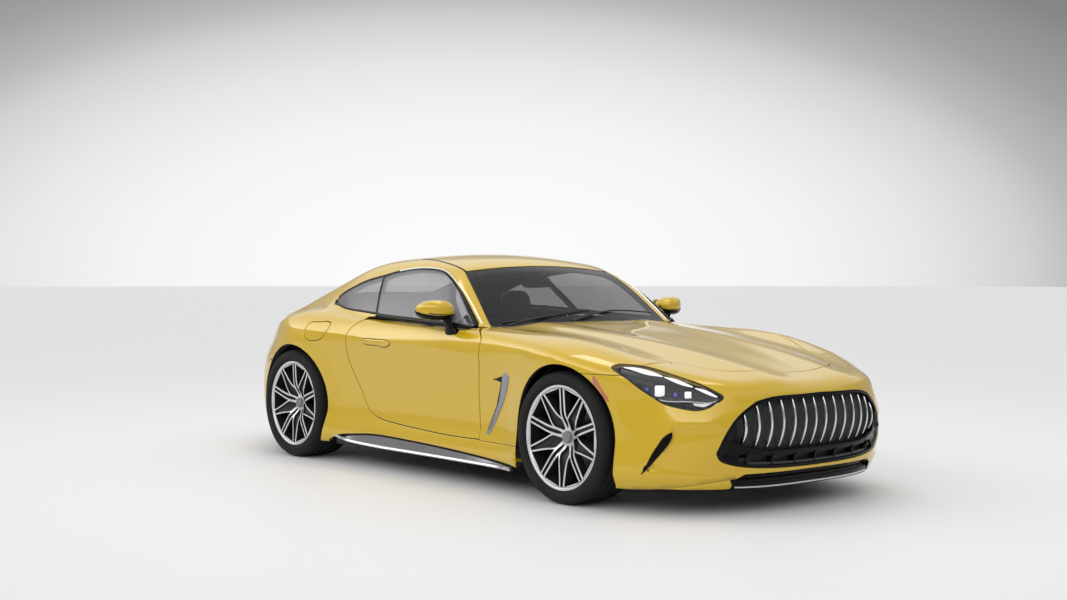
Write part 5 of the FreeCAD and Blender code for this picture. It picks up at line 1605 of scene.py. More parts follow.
def cdt_front(loops_, keep_fn, t, step=16.0):
    """triangles of the front view between loops, laid on the skin at depth t(x, z)"""
    pts, edges = [], []
    for L in loops_:
        k = len(pts)
        pts += [Vector(q) for q in L.tolist()]
        edges += [(k + i, k + (i + 1) % len(L)) for i in range(len(L))]
    lo, hi = np.min(loops_[0], 0), np.max(loops_[0], 0)
    for x in np.arange(lo[0], hi[0], step):
        for z in np.arange(lo[1], hi[1], step):
            pts.append(Vector((x + 0.37, z + 0.41)))
    vs, es, fs, *_ = delaunay_2d_cdt(pts, edges, [], 0, 1e-3)
    uv = np.array([(p.x, p.y) for p in vs])
    tri = np.array([f for f in fs if len(f) == 3], int)
    tri = tri[keep_fn(uv[tri].mean(1))]
    used, idx = np.unique(tri, return_inverse=True)
    tri, uv = idx.reshape(-1, 3), uv[used]
    tt = t(uv[:, 0], uv[:, 1]) if callable(t) else t
    O = np.stack([uv[:, 0], np.full(len(uv), -1500.0), uv[:, 1]], 1)
    P = crossing(O, np.tile([0.0, -1.0, 0.0], (len(uv), 1)), lambda w, y, z: F_A(w, y, z) + tt)
    v = P[tri]
    n = np.cross(v[:, 1] - v[:, 0], v[:, 2] - v[:, 0])
    tri[n[:, 1] > 0] = tri[n[:, 1] > 0][:, ::-1]
    return P, tri, uv


def thick_front(P, tri, depth):
    """closed solid: the surface, its walls and its back, going inwards along y"""
    n = len(P)
    be, _ = boundary(tri)
    w1 = np.stack([be[:, 1], be[:, 0], be[:, 0] + n], 1)
    w2 = np.stack([be[:, 1], be[:, 0] + n, be[:, 1] + n], 1)
    Q = P + np.array([0, depth, 0]) if np.isscalar(depth) else P + depth
    return np.vstack([P, Q]), np.vstack([tri, w1, w2, tri[:, ::-1] + n])


def frame_depth(x, z):
    # face of the black frame: near the skin at the outline, sinking towards the apertures
    q = np.stack([x, z], 1)
    d = np.full(len(q), 1e9)
    for a, b in zip(G_OUT, np.roll(G_OUT, -1, 0)):
        ab = b - a
        t = np.clip(((q - a) @ ab) / (ab @ ab + 1e-9), 0, 1)
        d = smn(d, np.linalg.norm(q - (a + t[:, None] * ab), axis=1))
    return 3.0 + 19.0 * sstep(0.0, 60.0, d) - 7.0 * np.exp(-((z - BAR_T(x) + 10) / 12.0) ** 2)


fr_out = offset(G_OUT, -1.5)
P, tri, uv = cdt_front([fr_out, AP_UP, AP_LO], lambda c: inside(fr_out, c) & ~inside(AP_UP, c) & ~inside(AP_LO, c), frame_depth, 13.0)
V, F = thick_front(P, tri, 30.0)
puth("grille_frame", V, F, M["black_gloss"], "shell", None, ["grille"], 40.0)

# dark mesh behind the apertures
wide = offset(AP_UP, 10.0)
P, tri, uv = cdt_front([wide], lambda c: inside(wide, c), 52.0, 30.0)
V1, F1 = thick_front(P, tri, 3.0)
wide = offset(AP_LO, 10.0)
P, tri, uv = cdt_front([wide], lambda c: inside(wide, c), 52.5, 30.0)
V2, F2 = thick_front(P, tri, 3.0)
V, F, m = joinh([(V1, F1), (V2, F2)])
puth("grille_mesh", V, F, M["grille_mesh"], "shell", None, [])

# bright bowed bars
bars = []
TOPZ = Curve(*[list(v) for v in zip(*sorted({round(float(a)): float(b) for a, b in u_top}.items()))])
for xk in (40.5, 121.0, 203.0, 285.0, 364.0, 440.0, 514.0):
    for s in (-1, 1):
        x = s * xk
        z1, z0 = float(TOPZ(x)) - 3.0, float(BAR_T(x)) + 2.0
        t = np.linspace(0, 1, 25)
        ins = 7.0 + np.where(t < 0.55, 32.0 * ((0.55 - t) / 0.55) ** 2, 13.0 * ((t - 0.55) / 0.45) ** 2)
        z = z0 + (z1 - z0) * t
        O = np.stack([np.full(len(t), x), np.full(len(t), -1500.0), z], 1)
        pth = crossing(O, np.tile([0.0, -1.0, 0.0], (len(t), 1)), lambda w, y, zz: F_A(w, y, zz) + ins)
        pth[:, 0] = x
        wdt = 4.4
        prof = [(wdt, -20), (wdt, -3.0), (wdt * 0.62, -0.7), (0, 0), (-wdt * 0.62, -0.7), (-wdt, -3.0), (-wdt, -20)]
        sc = np.stack([np.ones(len(t)), np.ones(len(t))], 1)
        sc[0], sc[-1] = (0.75, 0.7), (0.75, 0.7)
        V, F = sweep(pth, np.array([0.0, -1.0, 0.0]), prof, scale=sc)
        bars.append((V, F))
V, F, m = joinh(bars)
puth("grille_bars", V, F, M["bar_chrome"], "shell", None, [], 50.0)

# lower intake: one blade with dividers
bits = []
bl = np.array([[x, 252.0 + 0.00006 * x * x] for x in np.linspace(-500, 500, 60)])
pth = on_skin("front", bl, 16.0)
V, F = sweep(pth, np.array([0.0, -1.0, 0.0]), rect(15, 34, 2.5, 0.0))
bits.append((V, F, 0))
for k in range(-3, 4):
    x = -6.0 + 162.0 * k
    if abs(x) > 500:
        continue
    z0, z1 = 246.0, float(BAR_B(x)) + 4
    pp = on_skin("front", np.array([[x, z] for z in np.linspace(z0 - 8, z1, 8)]), 14.0)
    V, F = sweep(pp, np.array([0.0, -1.0, 0.0]), rect(16, 36, 2.0, 0.0))
    bits.append((V, F, 1))
V, F, m = joinh(bits)
puth("intake_blade", V, F, [M["satin_dark"], M["black_gloss"]], "shell", m, [], 40.0)
# rounded element at each end of the intake
ell = []
for s in (-1, 1):
    for k in range(4):
        cx, cz = s * (515.0 - 6 * k), 286.0 - 11.0 * k
        rx = 46.0 - 3.0 * k
        xx = np.linspace(cx - rx, cx + rx, 14)
        zz = cz + 7.0 * np.sqrt(np.clip(1 - ((xx - cx) / rx) ** 2, 0, 1)) - 0.00045 * (xx - s * 470.0) ** 2
        pp = on_skin("front", np.column_stack([xx, zz]), 17.0 + 2.0 * k)
        V, F = sweep(pp, np.array([0.0, -1.0, 0.0]), rect(5.5, 12, 1.4, 0.0))
        ell.append((V, F))
V, F, m = joinh(ell)
puth("intake_end_fins", V, F, M["satin_dark"], "shell", None, [], 40.0)

# ------------------------------------------------------------------ slit beside the intake, and the splitter
SL_O = [(-905, 214), (-900, 240), (-884, 308), (-863, 372), (-843, 416), (-819, 437)]
SL_I = [(-818, 431), (-833, 394), (-848, 355), (-874, 297), (-896, 240)]
parts_ = []
for s in (1, -1):
    a = line(SL_O, 10.0)
    b = line(SL_I, 10.0)
    lp = np.vstack([a, b])
    if s < 0:
        lp = lp * np.array([-1.0, 1.0])
    # the slit: a dark tongue standing 2.6 mm proud of the skin and running 16 mm into the body
    P, tri, uv = cdt_front([lp], lambda c: inside(lp, c), -2.6, 7.0)
    V, F = thick_front(P, tri, 16.0)
    parts_.append((V, F))
V, F, m = joinh(parts_)
puth("bumper_slits", V, F, M["black_gloss"], "shell", None, [], 40.0)

sp_poly = outline(SPLITTER, 12)
P, tri, uv = cdt_front([offset(sp_poly, -1.5)], lambda c: inside(offset(sp_poly, -1.5), c), lambda x, z: 4.0 + 30.0 * np.exp(-((z - 196.0) / 20.0) ** 2), 12.0)
V, F = thick_front(P, tri, 46.0)
pp = on_skin("front", np.array([[x, 139.0 + 6.0 * (x / 540.0) ** 4] for x in np.linspace(-536, 536, 70)]), 4.0)
V2, F2 = sweep(pp, np.array([0.0, -1.0, 0.0]), [(-5.5, -14), (-5.5, 1.5), (-3, 4), (2.5, 4), (5.0, 1.0), (5.0, -14)])
V, F, m = joinh([(V, F, 0), (V2, F2, 1)])
puth("front_splitter_lip", V, F, [M["black_gloss"], M["satin_silver"]], "shell", m, ["front_splitter"], 40.0)


# ------------------------------------------------------------------ headlamps
def lamp3(pts, t):
    return on_skin("lamp", np.array(pts, float), t)


L_OUT = CUT["lamp"].poly
if area2(L_OUT) < 0:
    L_OUT = L_OUT[::-1]
lparts = []


def lamp_patch(poly, t, depth, mat, step=16.0, tf=None):
    pts = [Vector(q) for q in poly.tolist()]
    edges = [(i, (i + 1) % len(poly)) for i in range(len(poly))]
    lo, hi = poly.min(0), poly.max(0)
    for x in np.arange(lo[0], hi[0], step):
        for z in np.arange(lo[1], hi[1], step):
            pts.append(Vector((x + 0.3, z + 0.2)))
    vs, es, fs, *_ = delaunay_2d_cdt(pts, edges, [], 0, 1e-3)
    uv = np.array([(p.x, p.y) for p in vs])
    tri = np.array([f for f in fs if len(f) == 3], int)
    tri = tri[inside(poly, uv[tri].mean(1))]
    used, idx = np.unique(tri, return_inverse=True)
    tri, uv = idx.reshape(-1, 3), uv[used]
    P = lamp3(uv, tf(uv) if tf else t)
    v = P[tri]
    n = np.cross(v[:, 1] - v[:, 0], v[:, 2] - v[:, 0]) @ D_LAMP
    tri[n < 0] = tri[n < 0][:, ::-1]
    N_ = len(P)
    be, _ = boundary(tri)
    w1 = np.stack([be[:, 1], be[:, 0], be[:, 0] + N_], 1)
    w2 = np.stack([be[:, 1], be[:, 0] + N_, be[:, 1] + N_], 1)
    V = np.vstack([P, P - D_LAMP * depth])
    lparts.append((V, np.vstack([tri, w1, w2, tri[:, ::-1] + N_]), mat))


# 0 black gloss, 1 led, 2 satin dark, 3 satin silver, 4 violet, 5 lens white
rim_in = offset(L_OUT, -9.0)
A = lamp3(offset(L_OUT, -2.0), 5.0)
B = lamp3(rim_in, 7.0)
Cc = lamp3(offset(L_OUT, -13.0), 36.0)
n_ = len(A)
F = []
for i in range(n_):
    j = (i + 1) % n_
    F += [(i, j, n_ + j), (i, n_ + j, n_ + i), (n_ + i, n_ + j, 2 * n_ + j), (n_ + i, 2 * n_ + j, 2 * n_ + i)]
lparts.append((np.vstack([A, B, Cc]), np.array(F)[:, ::-1], 0))
lamp_patch(offset(L_OUT, -11.0), 38.0, 3.0, 0, 18.0)
# inner bezel, dark satin, hugging the lower line
BZ = np.vstack([line([(-352, 736), (-424, 722), (-476, 708), (-527, 696), (-560, 690), (-616, 676), (-660, 660), (-699, 642), (-740, 628), (-790, 605), (-822, 592)], 10.0),
                line([(-822, 580), (-760, 578), (-716, 580), (-628, 583), (-550, 585), (-499, 600), (-452, 623), (-398, 666), (-352, 714)], 10.0)])
lamp_patch(BZ, 0, 5.0, 2, 12.0, tf=lambda uv: 22.0 + 10.0 * np.exp(-((uv[:, 1] - 640.0) / 30.0) ** 2))
# daytime strip, three parts, each thick in the middle
for top, bot in (([(-366, 744), (-424, 743), (-476, 733), (-527, 717), (-556, 703)], [(-556, 699), (-514, 704), (-462, 713), (-416, 728), (-366, 741)]),
                 ([(-561, 700), (-616, 690), (-658, 674), (-697, 656)], [(-697, 650), (-651, 659), (-612, 673), (-561, 696)]),
                 ([(-708, 648), (-751, 641), (-785, 626), (-815, 607)], [(-815, 601), (-775, 613), (-741, 628), (-708, 644)])):
    lamp_patch(np.vstack([line(top, 8.0), line(bot, 8.0)]), 11.0, 9.0, 1, 9.0)


def lamp_unit(a, z, w, h, r, t, deep, mat_rim, mat_in, tube=3.0):
    o = lamp3([(a, z)], t)[0]
    ex = np.array([E_LAMP[0], E_LAMP[1], 0.0])
    ez = np.array([0, 0, 1.0])
    ex = -ex
    V, F = stack(round_rect(w, h, r), [(tube, -deep), (tube, 1.5), (tube * 0.5, 3.0), (0.0, 1.5), (0.0, -4.0)], True, True)
    lparts.append((seat_at(V, o, ex, ez, D_LAMP), F, mat_rim))
    V, F = stack(round_rect(w - 1, h - 1, r), [(-1.0, -5.0), (-1.0, 3.0), (-2.5, 6.0), (-6.0, 8.0)], True, True)
    lparts.append((seat_at(V, o, ex, ez, D_LAMP), F, mat_in))


lamp_unit(-533, 631, 54, 60, 9, 22.0, 10.0, 0, 5)
lamp_unit(-671, 613, 38, 38, 7, 20.0, 10.0, 0, 5)
lamp_unit(-472, 634, 30, 26, 8, 24.0, 8.0, 2, 4)
lamp_unit(-609, 613, 30, 26, 8, 22.0, 8.0, 2, 4)
# light lower lip of the bezel
pp = lamp3(line([(-346, 716), (-398, 664), (-452, 620), (-499, 597), (-550, 582), (-628, 580), (-716, 577), (-790, 578), (-826, 590)], 9.0), 15.0)
V, F = sweep(pp, D_LAMP, rect(6.5, 8, 1.5, 0.0))
lparts.append((V, F, 3))
lamp_patch(np.vstack([line([(-690, 573), (-757, 572), (-812, 580)], 8.0), line([(-822, 572), (-780, 558), (-735, 556), (-700, 562)], 8.0)]), 17.0, 4.0, 3, 10.0)
V, F, m = joinh(both_sides(lparts))
puth("headlamp_inside", V, F, [M["black_gloss"], M["led"], M["satin_dark"], M["satin_silver"], M["violet"], M["led_lens"]], "shell", m, ["headlights"], 35.0)
put("headlamp_lenses", [lens, mirror_x(*lens)], M["clear"], "shell", ["headlights"])


# ------------------------------------------------------------------ trims of the side windows
def on_side(pts, t=0.0, fld=None):
    return on_skin("side", np.array(pts, float), t, fld or F_U)


def nrm_of(P, fld=None):
    return normals(np.asarray(P, float), fld or F_U)


def bead(view, pts, w, h, t=0.0, fld=None, step=9.0, base=0.0, taper=0.0, y0=-1500.0, prof=None, n=6):
    """half-round bead lying on the skin along a line drawn in a view"""
    L = line(pts, step)
    P = on_skin(view, L, t, fld, y0)
    N = nrm_of(P, fld)
    sc = np.ones(len(P))
    if taper:
        s = np.concatenate([[0.0], np.cumsum(np.linalg.norm(np.diff(P, axis=0), axis=1))])
        e = smn(s, s[-1] - s)
        sc = np.clip(e / taper, 0.12, 1.0)
    return sweep(P, N, prof or half_round(w, h, n, base), scale=np.stack([sc, sc ** 0.5], 1))


DLO_UP = [(-466, 921), (-375, 1000), (-303, 1060), (-215, 1124), (-135, 1169), (-50, 1206), (40, 1234), (120, 1246), (215, 1251), (335, 1249), (450, 1238), (560, 1222), (640, 1207)]
DLO_UP2 = [(653, 1205), (799, 1182), (918, 1156), (1034, 1119), (1130, 1082), (1164, 1060)]
DLO_LO = [(-462, 923), (-378, 931), (-200, 940), (80, 952), (257, 960), (494, 972)]
DLO_LO2 = [(508, 974), (700, 985), (870, 993), (1000, 1006), (1090, 1020), (1158, 1034), (1172, 1047)]
door_tr, body_tr, belt_d, belt_b = [], [], [], []
# bright strip over the glass: on the body, seen from the pillar's foot to the rear corner
up_all = DLO_UP + [(799, 1182), (918, 1156), (1034, 1119), (1130, 1082), (1160, 1062)]
Lu = line(up_all, 11.0)
# outwards in the side view, to sit on the opening's edge
d_ = np.gradient(Lu, axis=0)
d_ /= np.linalg.norm(d_, axis=1)[:, None]
nu_ = np.stack([-d_[:, 1], d_[:, 0]], 1)
Pu = on_side(Lu + nu_ * 9.5, -0.3)
Nu = nrm_of(Pu)
s_ = np.arange(len(Pu)) / (len(Pu) - 1.0)
k_ = int(len(Pu) * 0.60)
V, F = sweep(Pu[:k_ + 1], Nu[:k_ + 1], half_round(8.5, 3.4, 7))
body_tr.append((V, F, 0))
V, F = sweep(Pu[k_:], Nu[k_:], half_round(8.5, 3.0, 7), scale=np.stack([np.linspace(1, 0.75, len(Pu) - k_)] * 2, 1))
body_tr.append((V, F, 1))
# black seal inside it
Ps = on_side(Lu + nu_ * 1.5, 0.5)
Ns = nrm_of(Ps)
V, F = sweep(Ps, Ns, [(-7.0, -9), (-7.0, 0.2), (-4.5, 1.2), (4.5, 1.2), (6.5, 0.2), (6.5, -9)])
body_tr.append((V, F, 1))
# rear corner and lower line of the fixed rear glass
Lq = line(DLO_LO2, 9.0)
Pq = on_side(Lq + np.array([0.0, -1.0]), -0.4)
V, F = sweep(Pq, nrm_of(Pq), [(-8.0, -9), (-8.0, 0.4), (-5.5, 2.2), (4.5, 2.2), (7.0, 0.4), (7.0, -9)])
body_tr.append((V, F, 1))
V, F, m = joinh(both_sides(body_tr))
puth("window_trim_body", V, F, [M["trim_bright"], M["black_gloss"]], "shell", m, [], 50.0)
# belt rubber on the doors, between glass and door skin, with the corner triangle at its front end
for sgn, bd in ((1, "door_right_body"), (-1, "door_left_body")):
    items = []
    Lb = line(DLO_LO, 10.0)
    Pb = on_skin("side", Lb + np.array([0.0, -7.0]), 0.0, F_U)
    V, F = sweep(Pb, nrm_of(Pb), [(-13.0, -9), (-13.0, 0.6), (-10.5, 2.4), (10.5, 2.4), (13.0, 0.6), (13.0, -9)])
    items.append((V, F, 0))
    tri_ = np.array([(-452, 930), (-446, 930), (-400, 933), (-392, 938), (-387, 975), (-388, 981), (-394, 978), (-420, 956)], float)
    tp = on_skin("side", tri_, 0.0, F_B)
    tn = nrm_of(tp, F_B)
    n_ = len(tp)
    tv = np.vstack([tp + tn * 1.6, tp - tn * 5.0, (tp + tn * 1.9).mean(0)[None], (tp - tn * 5.0).mean(0)[None]])
    tf = [(i, (i + 1) % n_, n_ + (i + 1) % n_) for i in range(n_)] + [(i, n_ + (i + 1) % n_, n_ + i) for i in range(n_)]
    tf += cap_fan(list(range(n_)), 2 * n_, False) + cap_fan(list(range(n_, 2 * n_)), 2 * n_ + 1, True)
    tf = fix_winding(tv, np.array(tf))
    items.append((tv, tf, 0))
    # rear edge of the pane: black strip
    Lr = line([(499, 974), (540, 1037), (588, 1107), (640, 1188)], 12.0)
    Pr = on_skin("side", Lr - np.array([8.0, 0.0]), 0.0, F_B)
    V, F = sweep(Pr, nrm_of(Pr, F_B), rect(9.0, 5.0, 0.8, 1.2))
    items.append((V, F, 0))
    if sgn < 0:
        items = [(p[0] * np.array([-1.0, 1, 1]), np.asarray(p[1])[:, ::-1], p[2]) for p in items]
    V, F, m = joinh(items)
    puth("window_trim_" + bd[:-5], V, F, [M["black_gloss"]], bd, m, [], 50.0)
# strip between the two side panes, on the body
Lr = line([(502, 974), (541, 1037), (591, 1108), (650, 1200)], 12.0)
Pr = on_side(Lr + np.array([1.5, 0.0]), 0.0, F_B)
V, F = sweep(Pr, nrm_of(Pr, F_B), rect(13.0, 8.0, 1.0, 0.4))
V, F, m = joinh(both_sides([(V, F, 0)]))
puth("pillar_strips", V, F, [M["black_gloss"]], "shell", None, [], 40.0)

# ---- dark strips along the roof's sides
items = []
P = on_skin("plan", line([(-586, -84), (-583, -20), (-578, 60), (-560, 240), (-541, 424)], 14.0), 0.0, F_B)
V, F = sweep(P, nrm_of(P, F_B), [(-8.0, -8), (-8.0, 0.4), (-6.0, 1.4), (6.0, 1.4), (8.0, 0.4), (8.0, -8)])
items.append((V, F, 0))
V, F, m = joinh(both_sides(items))
puth("roof_strips", V, F, [M["black_gloss"]], "shell", None, [], 50.0)

# ---- black band round the screen, under the glass edge
def plan_band(poly, w_in, t_, fld, thick_=1.2, extra=None):
    o = resample2(poly, 14.0)
    A = on_skin("plan", offset(o, -1.5), t_, fld)
    wi = w_in(o) if callable(w_in) else w_in
    B2 = offset_var(o, -wi)
    B = on_skin("plan", B2, t_ + 0.1, fld)
    n = len(A)
    NA, NB = nrm_of(A, fld), nrm_of(B, fld)
    V = np.vstack([A, B, A - NA * thick_, B - NB * thick_])
    F = []
    for i in range(n):
        j = (i + 1) % n
        F += [(i, j, n + j), (i, n + j, n + i), (n + i, n + j, 3 * n + j), (n + i, 3 * n + j, 3 * n + i),
              (2 * n + j, 2 * n + i, 3 * n + j), (3 * n + j, 2 * n + i, 3 * n + i), (j, i, 2 * n + j), (2 * n + j, i, 2 * n + i)]
    return V, np.array(F)


def resample2(P, step):
    Q = np.vstack([P, P[:1]])
    s = np.concatenate([[0.0], np.cumsum(np.linalg.norm(np.diff(Q, axis=0), axis=1))])
    n = max(8, int(s[-1] / step))
    t = np.linspace(0, s[-1], n + 1)[:-1]
    return np.stack([np.interp(t, s, Q[:, i]) for i in range(Q.shape[1])], 1)


def offset_var(p, d):
    d = np.broadcast_to(np.asarray(d, float), (len(p),))
    a = offset(p, 1.0) - p
    q = p + a * d[:, None]
    # keep it simple: smooth the moved line a little
    for _ in range(3):
        q = (np.roll(q, 1, 0) + 2 * q + np.roll(q, -1, 0)) / 4
    return q


sc_poly = outline(SCREEN, 10)
wsc = lambda o: 26.0 + 34.0 * np.exp(-((o[:, 1] + 535.0) / 60.0) ** 2) + 26.0 * np.exp(-((o[:, 1] + 96.0) / 42.0) ** 2)
V, F = plan_band(sc_poly, wsc, 6.0, F_B)
F = fix_winding(V, F)
puth("screen_band", V, F, [M["black_gloss"]], "shell", None, [], 60.0)
rg_poly = outline(REARGLASS, 10)
V, F = plan_band(rg_poly, 34.0, 6.0, F_U)
F = fix_winding(V, F)
puth("rear_window_band", V, F, [M["black_gloss"]], "tailgate_body", None, [], 60.0)

# ---- flush handles
for sgn, bd in ((1, "door_right_body"), (-1, "door_left_body")):
    ctr = np.array([(226, 795), (250, 806), (360, 812), (480, 815), (509, 806), (512, 798), (482, 783), (360, 779), (250, 779)], float)
    ctr = ctr if area2(ctr) > 0 else ctr[::-1]
    hp = closed_smooth(ctr, 9.0)
    # slightly proud tongue with a rolled edge
    rings = []
    for d, t_ in ((0.0, 1.2), (0.0, -3.0), (-2.5, -6.0), (-7.0, -7.5), (-14.0, -8.0)):
        q = offset(hp, d)
        P = on_skin("side", q, 0.0, F_A)
        N = nrm_of(P, F_A)
        rings.append(P - N * t_)
    n_ = len(hp)
    V = np.vstack(rings + [rings[-1].mean(0)[None], rings[0].mean(0)[None]])
    F = []
    for k in range(len(rings) - 1):
        for i in range(n_):
            j = (i + 1) % n_
            F += [(k * n_ + i, k * n_ + j, (k + 1) * n_ + j), (k * n_ + i, (k + 1) * n_ + j, (k + 1) * n_ + i)]
    e0 = (len(rings) - 1) * n_
    F += cap_fan(list(range(e0, e0 + n_)), len(rings) * n_, False) + cap_fan(list(range(n_)), len(rings) * n_ + 1, True)
    F = fix_winding(V, np.array(F))
    # dark thin outline under its edge: a painted shadow standing for the gap
    P = on_skin("side", offset(hp, 2.6), 0.0, F_A)
    V2, F2 = sweep(P, nrm_of(P, F_A), [(-2.0, -2), (-2.0, 0.25), (2.0, 0.25), (2.0, -2)], closed=True)
    items = [(V, F, 0), (V2, F2, 1)]
    if sgn < 0:
        items = [(p[0] * np.array([-1.0, 1, 1]), np.asarray(p[1])[:, ::-1], p[2]) for p in items]
    V, F, m = joinh(items)
    puth("handle_" + bd[:-5], V, F, [M["paint"], M["black_matt"]], bd, m, [], 40.0)


# ---- blade on the wing behind the front wheel
def side_patch(poly, levels, fld=None, mat=0):
    """rings of an outline in the side view at given (offset, height above skin)"""
    rings = []
    f = fld or F_A
    for d, h in levels:
        P = on_skin("side", offset(poly, d), 0.0, f)
        rings.append(P + nrm_of(P, f) * h)
    n = len(poly)
    V = np.vstack(rings + [rings[-1].mean(0)[None], rings[0].mean(0)[None]])
    F = []
    for k in range(len(rings) - 1):
        for i in range(n):
            j = (i + 1) % n
            F += [(k * n + i, k * n + j, (k + 1) * n + j), (k * n + i, (k + 1) * n + j, (k + 1) * n + i)]
    e0 = (len(rings) - 1) * n
    F += cap_fan(list(range(e0, e0 + n)), len(rings) * n, False) + cap_fan(list(range(n)), len(rings) * n + 1, True)
    return V, fix_winding(V, np.array(F)), mat


items = []
blade = np.vstack([line([(-858, 652), (-880, 668), (-915, 668), (-926, 650)], 8.0), line([(-922, 640), (-860, 520), (-790, 420), (-728, 322)], 20.0),
                   line([(-722, 316), (-700, 314), (-692, 322)], 8.0), line([(-706, 345), (-770, 440), (-822, 540), (-852, 630)], 20.0)])
if area2(blade) < 0:
    blade = blade[::-1]
items.append(side_patch(blade, [(1.0, -3.0), (0.5, 2.0), (-2.5, 5.0), (-7.0, 6.5), (-12.0, 6.8)], F_A, 0))
slot_ = np.vstack([line([(-706, 345), (-770, 440), (-822, 540), (-850, 625)], 20.0) + np.array([9.0, 0]), (line([(-706, 345), (-770, 440), (-822, 540), (-850, 625)], 20.0) + np.array([-2.0, 0]))[::-1]])
if area2(slot_) < 0:
    slot_ = slot_[::-1]
items.append(side_patch(slot_, [(0.5, -4.0), (0.5, 0.4), (-1.5, 0.9)], F_A, 1))
slot2_ = closed_smooth(np.array([(-757, 630), (-800, 637), (-868, 641), (-872, 626), (-800, 624)], float), 7.0)
if area2(slot2_) < 0:
    slot2_ = slot2_[::-1]
items.append(side_patch(slot2_, [(0.5, -4.0), (0.5, 0.5), (-1.5, 1.0)], F_A, 1))
V, F, m = joinh(both_sides(items))
puth("wing_blades", V, F, [M["blade_silver"], M["black_gloss"]], "shell", m, [], 40.0)

# ---- side markers at the front arch
mk_ = closed_smooth(np.array([(-1643, 696), (-1636, 680), (-1676, 628), (-1716, 574), (-1731, 568), (-1727, 586), (-1690, 636), (-1657, 686)], float), 7.0)
if area2(mk_) < 0:
    mk_ = mk_[::-1]
V, F, m = joinh(both_sides([side_patch(mk_, [(0.5, -2.0), (0.0, 1.2), (-2.5, 2.6), (-5.0, 3.0)], F_A, 0)]))
puth("side_markers", V, F, [M["amber"]], "shell", m, [], 40.0)

# ---- sill blades
ZS = Curve([-1100, -863, -566, -195, 198, 468, 830], [149, 171, 192, 210, 222, 222, 182])
ZB2 = Curve([-960, -932, -600, 0, 400, 600, 800, 850], [133, 134, 138, 140, 143, 150, 172, 184])
items = []
yy = np.linspace(-945, 838, 110)
e_ = np.clip(smn(yy + 965.0, 858.0 - yy) / 170.0, 0.0, 1.0)
zt = ZS(yy) - 12.0
zb_ = ZB2(yy)
zt = np.where(zt > zb_ + 6, zt, zb_ + 6)
rows = []
ref = np.full(len(yy), 262.0)
Pr0 = on_skin("side", np.column_stack([yy, ref]), 0.0, F_A)
xr = Pr0[:, 0]
zm = (zt + zb_) / 2
# section: face leaning outwards towards its lower edge, which ends in a bright lip
for dx, zz in ((18.0, zt), (2.0, zt - 2.0), (-6.0 * e_ + 0.0, zb_ + 16.0), (-12.0 * e_ + 0.0, zb_ + 14.0), (-17.0 * e_, zb_ + 3.0), (-12.0 * e_, zb_ - 3.0), (20.0, zb_ - 3.0)):
    rows.append(np.column_stack([xr + dx, yy, zz]))
nR, nP = len(rows), len(yy)
V = np.vstack(rows)
F, mm = [], []
for r in range(nR):
    r2 = (r + 1) % nR
    for i in range(nP - 1):
        a, b, c, d = r * nP + i, r * nP + i + 1, r2 * nP + i + 1, r2 * nP + i
        F += [(a, b, c), (a, c, d)]
        mm += [1 if r in (3, 4, 5) else 0] * 2
k = len(V)
V = np.vstack([V, np.mean([r[0] for r in rows], 0)[None], np.mean([r[-1] for r in rows], 0)[None]])
F += cap_fan([r * nP for r in range(nR)], k, False) + cap_fan([r * nP + nP - 1 for r in range(nR)], k + 1, True)
mm += [0] * (2 * nR)
F = fix_winding(V, np.array(F))
items.append((V, F, np.array(mm)))
# black body under the sill, behind the blade
bk = []
for dx, zz in ((20.0, ZS(yy) + 4.0), (20.0, np.full(len(yy), 128.0)), (60.0, np.full(len(yy), 124.0)), (60.0, ZS(yy) + 4.0)):
    bk.append(np.column_stack([xr + dx, yy, zz]))
V = np.vstack(bk)
F = []
for r in range(4):
    r2 = (r + 1) % 4
    for i in range(nP - 1):
        a, b, c, d = r * nP + i, r * nP + i + 1, r2 * nP + i + 1, r2 * nP + i
        F += [(a, b, c), (a, c, d)]
k = len(V)
V = np.vstack([V, np.mean([r[0] for r in bk], 0)[None], np.mean([r[-1] for r in bk], 0)[None]])
F += cap_fan([r * nP for r in range(4)], k, False) + cap_fan([r * nP + nP - 1 for r in range(4)], k + 1, True)
items.append((V, fix_winding(V, np.array(F)), 2))
V, F, m = joinh(both_sides(items))
puth("sill_blades", V, F, [M["sill_grey"], M["satin_silver"], M["black_matt"]], "shell", m, [], 35.0)


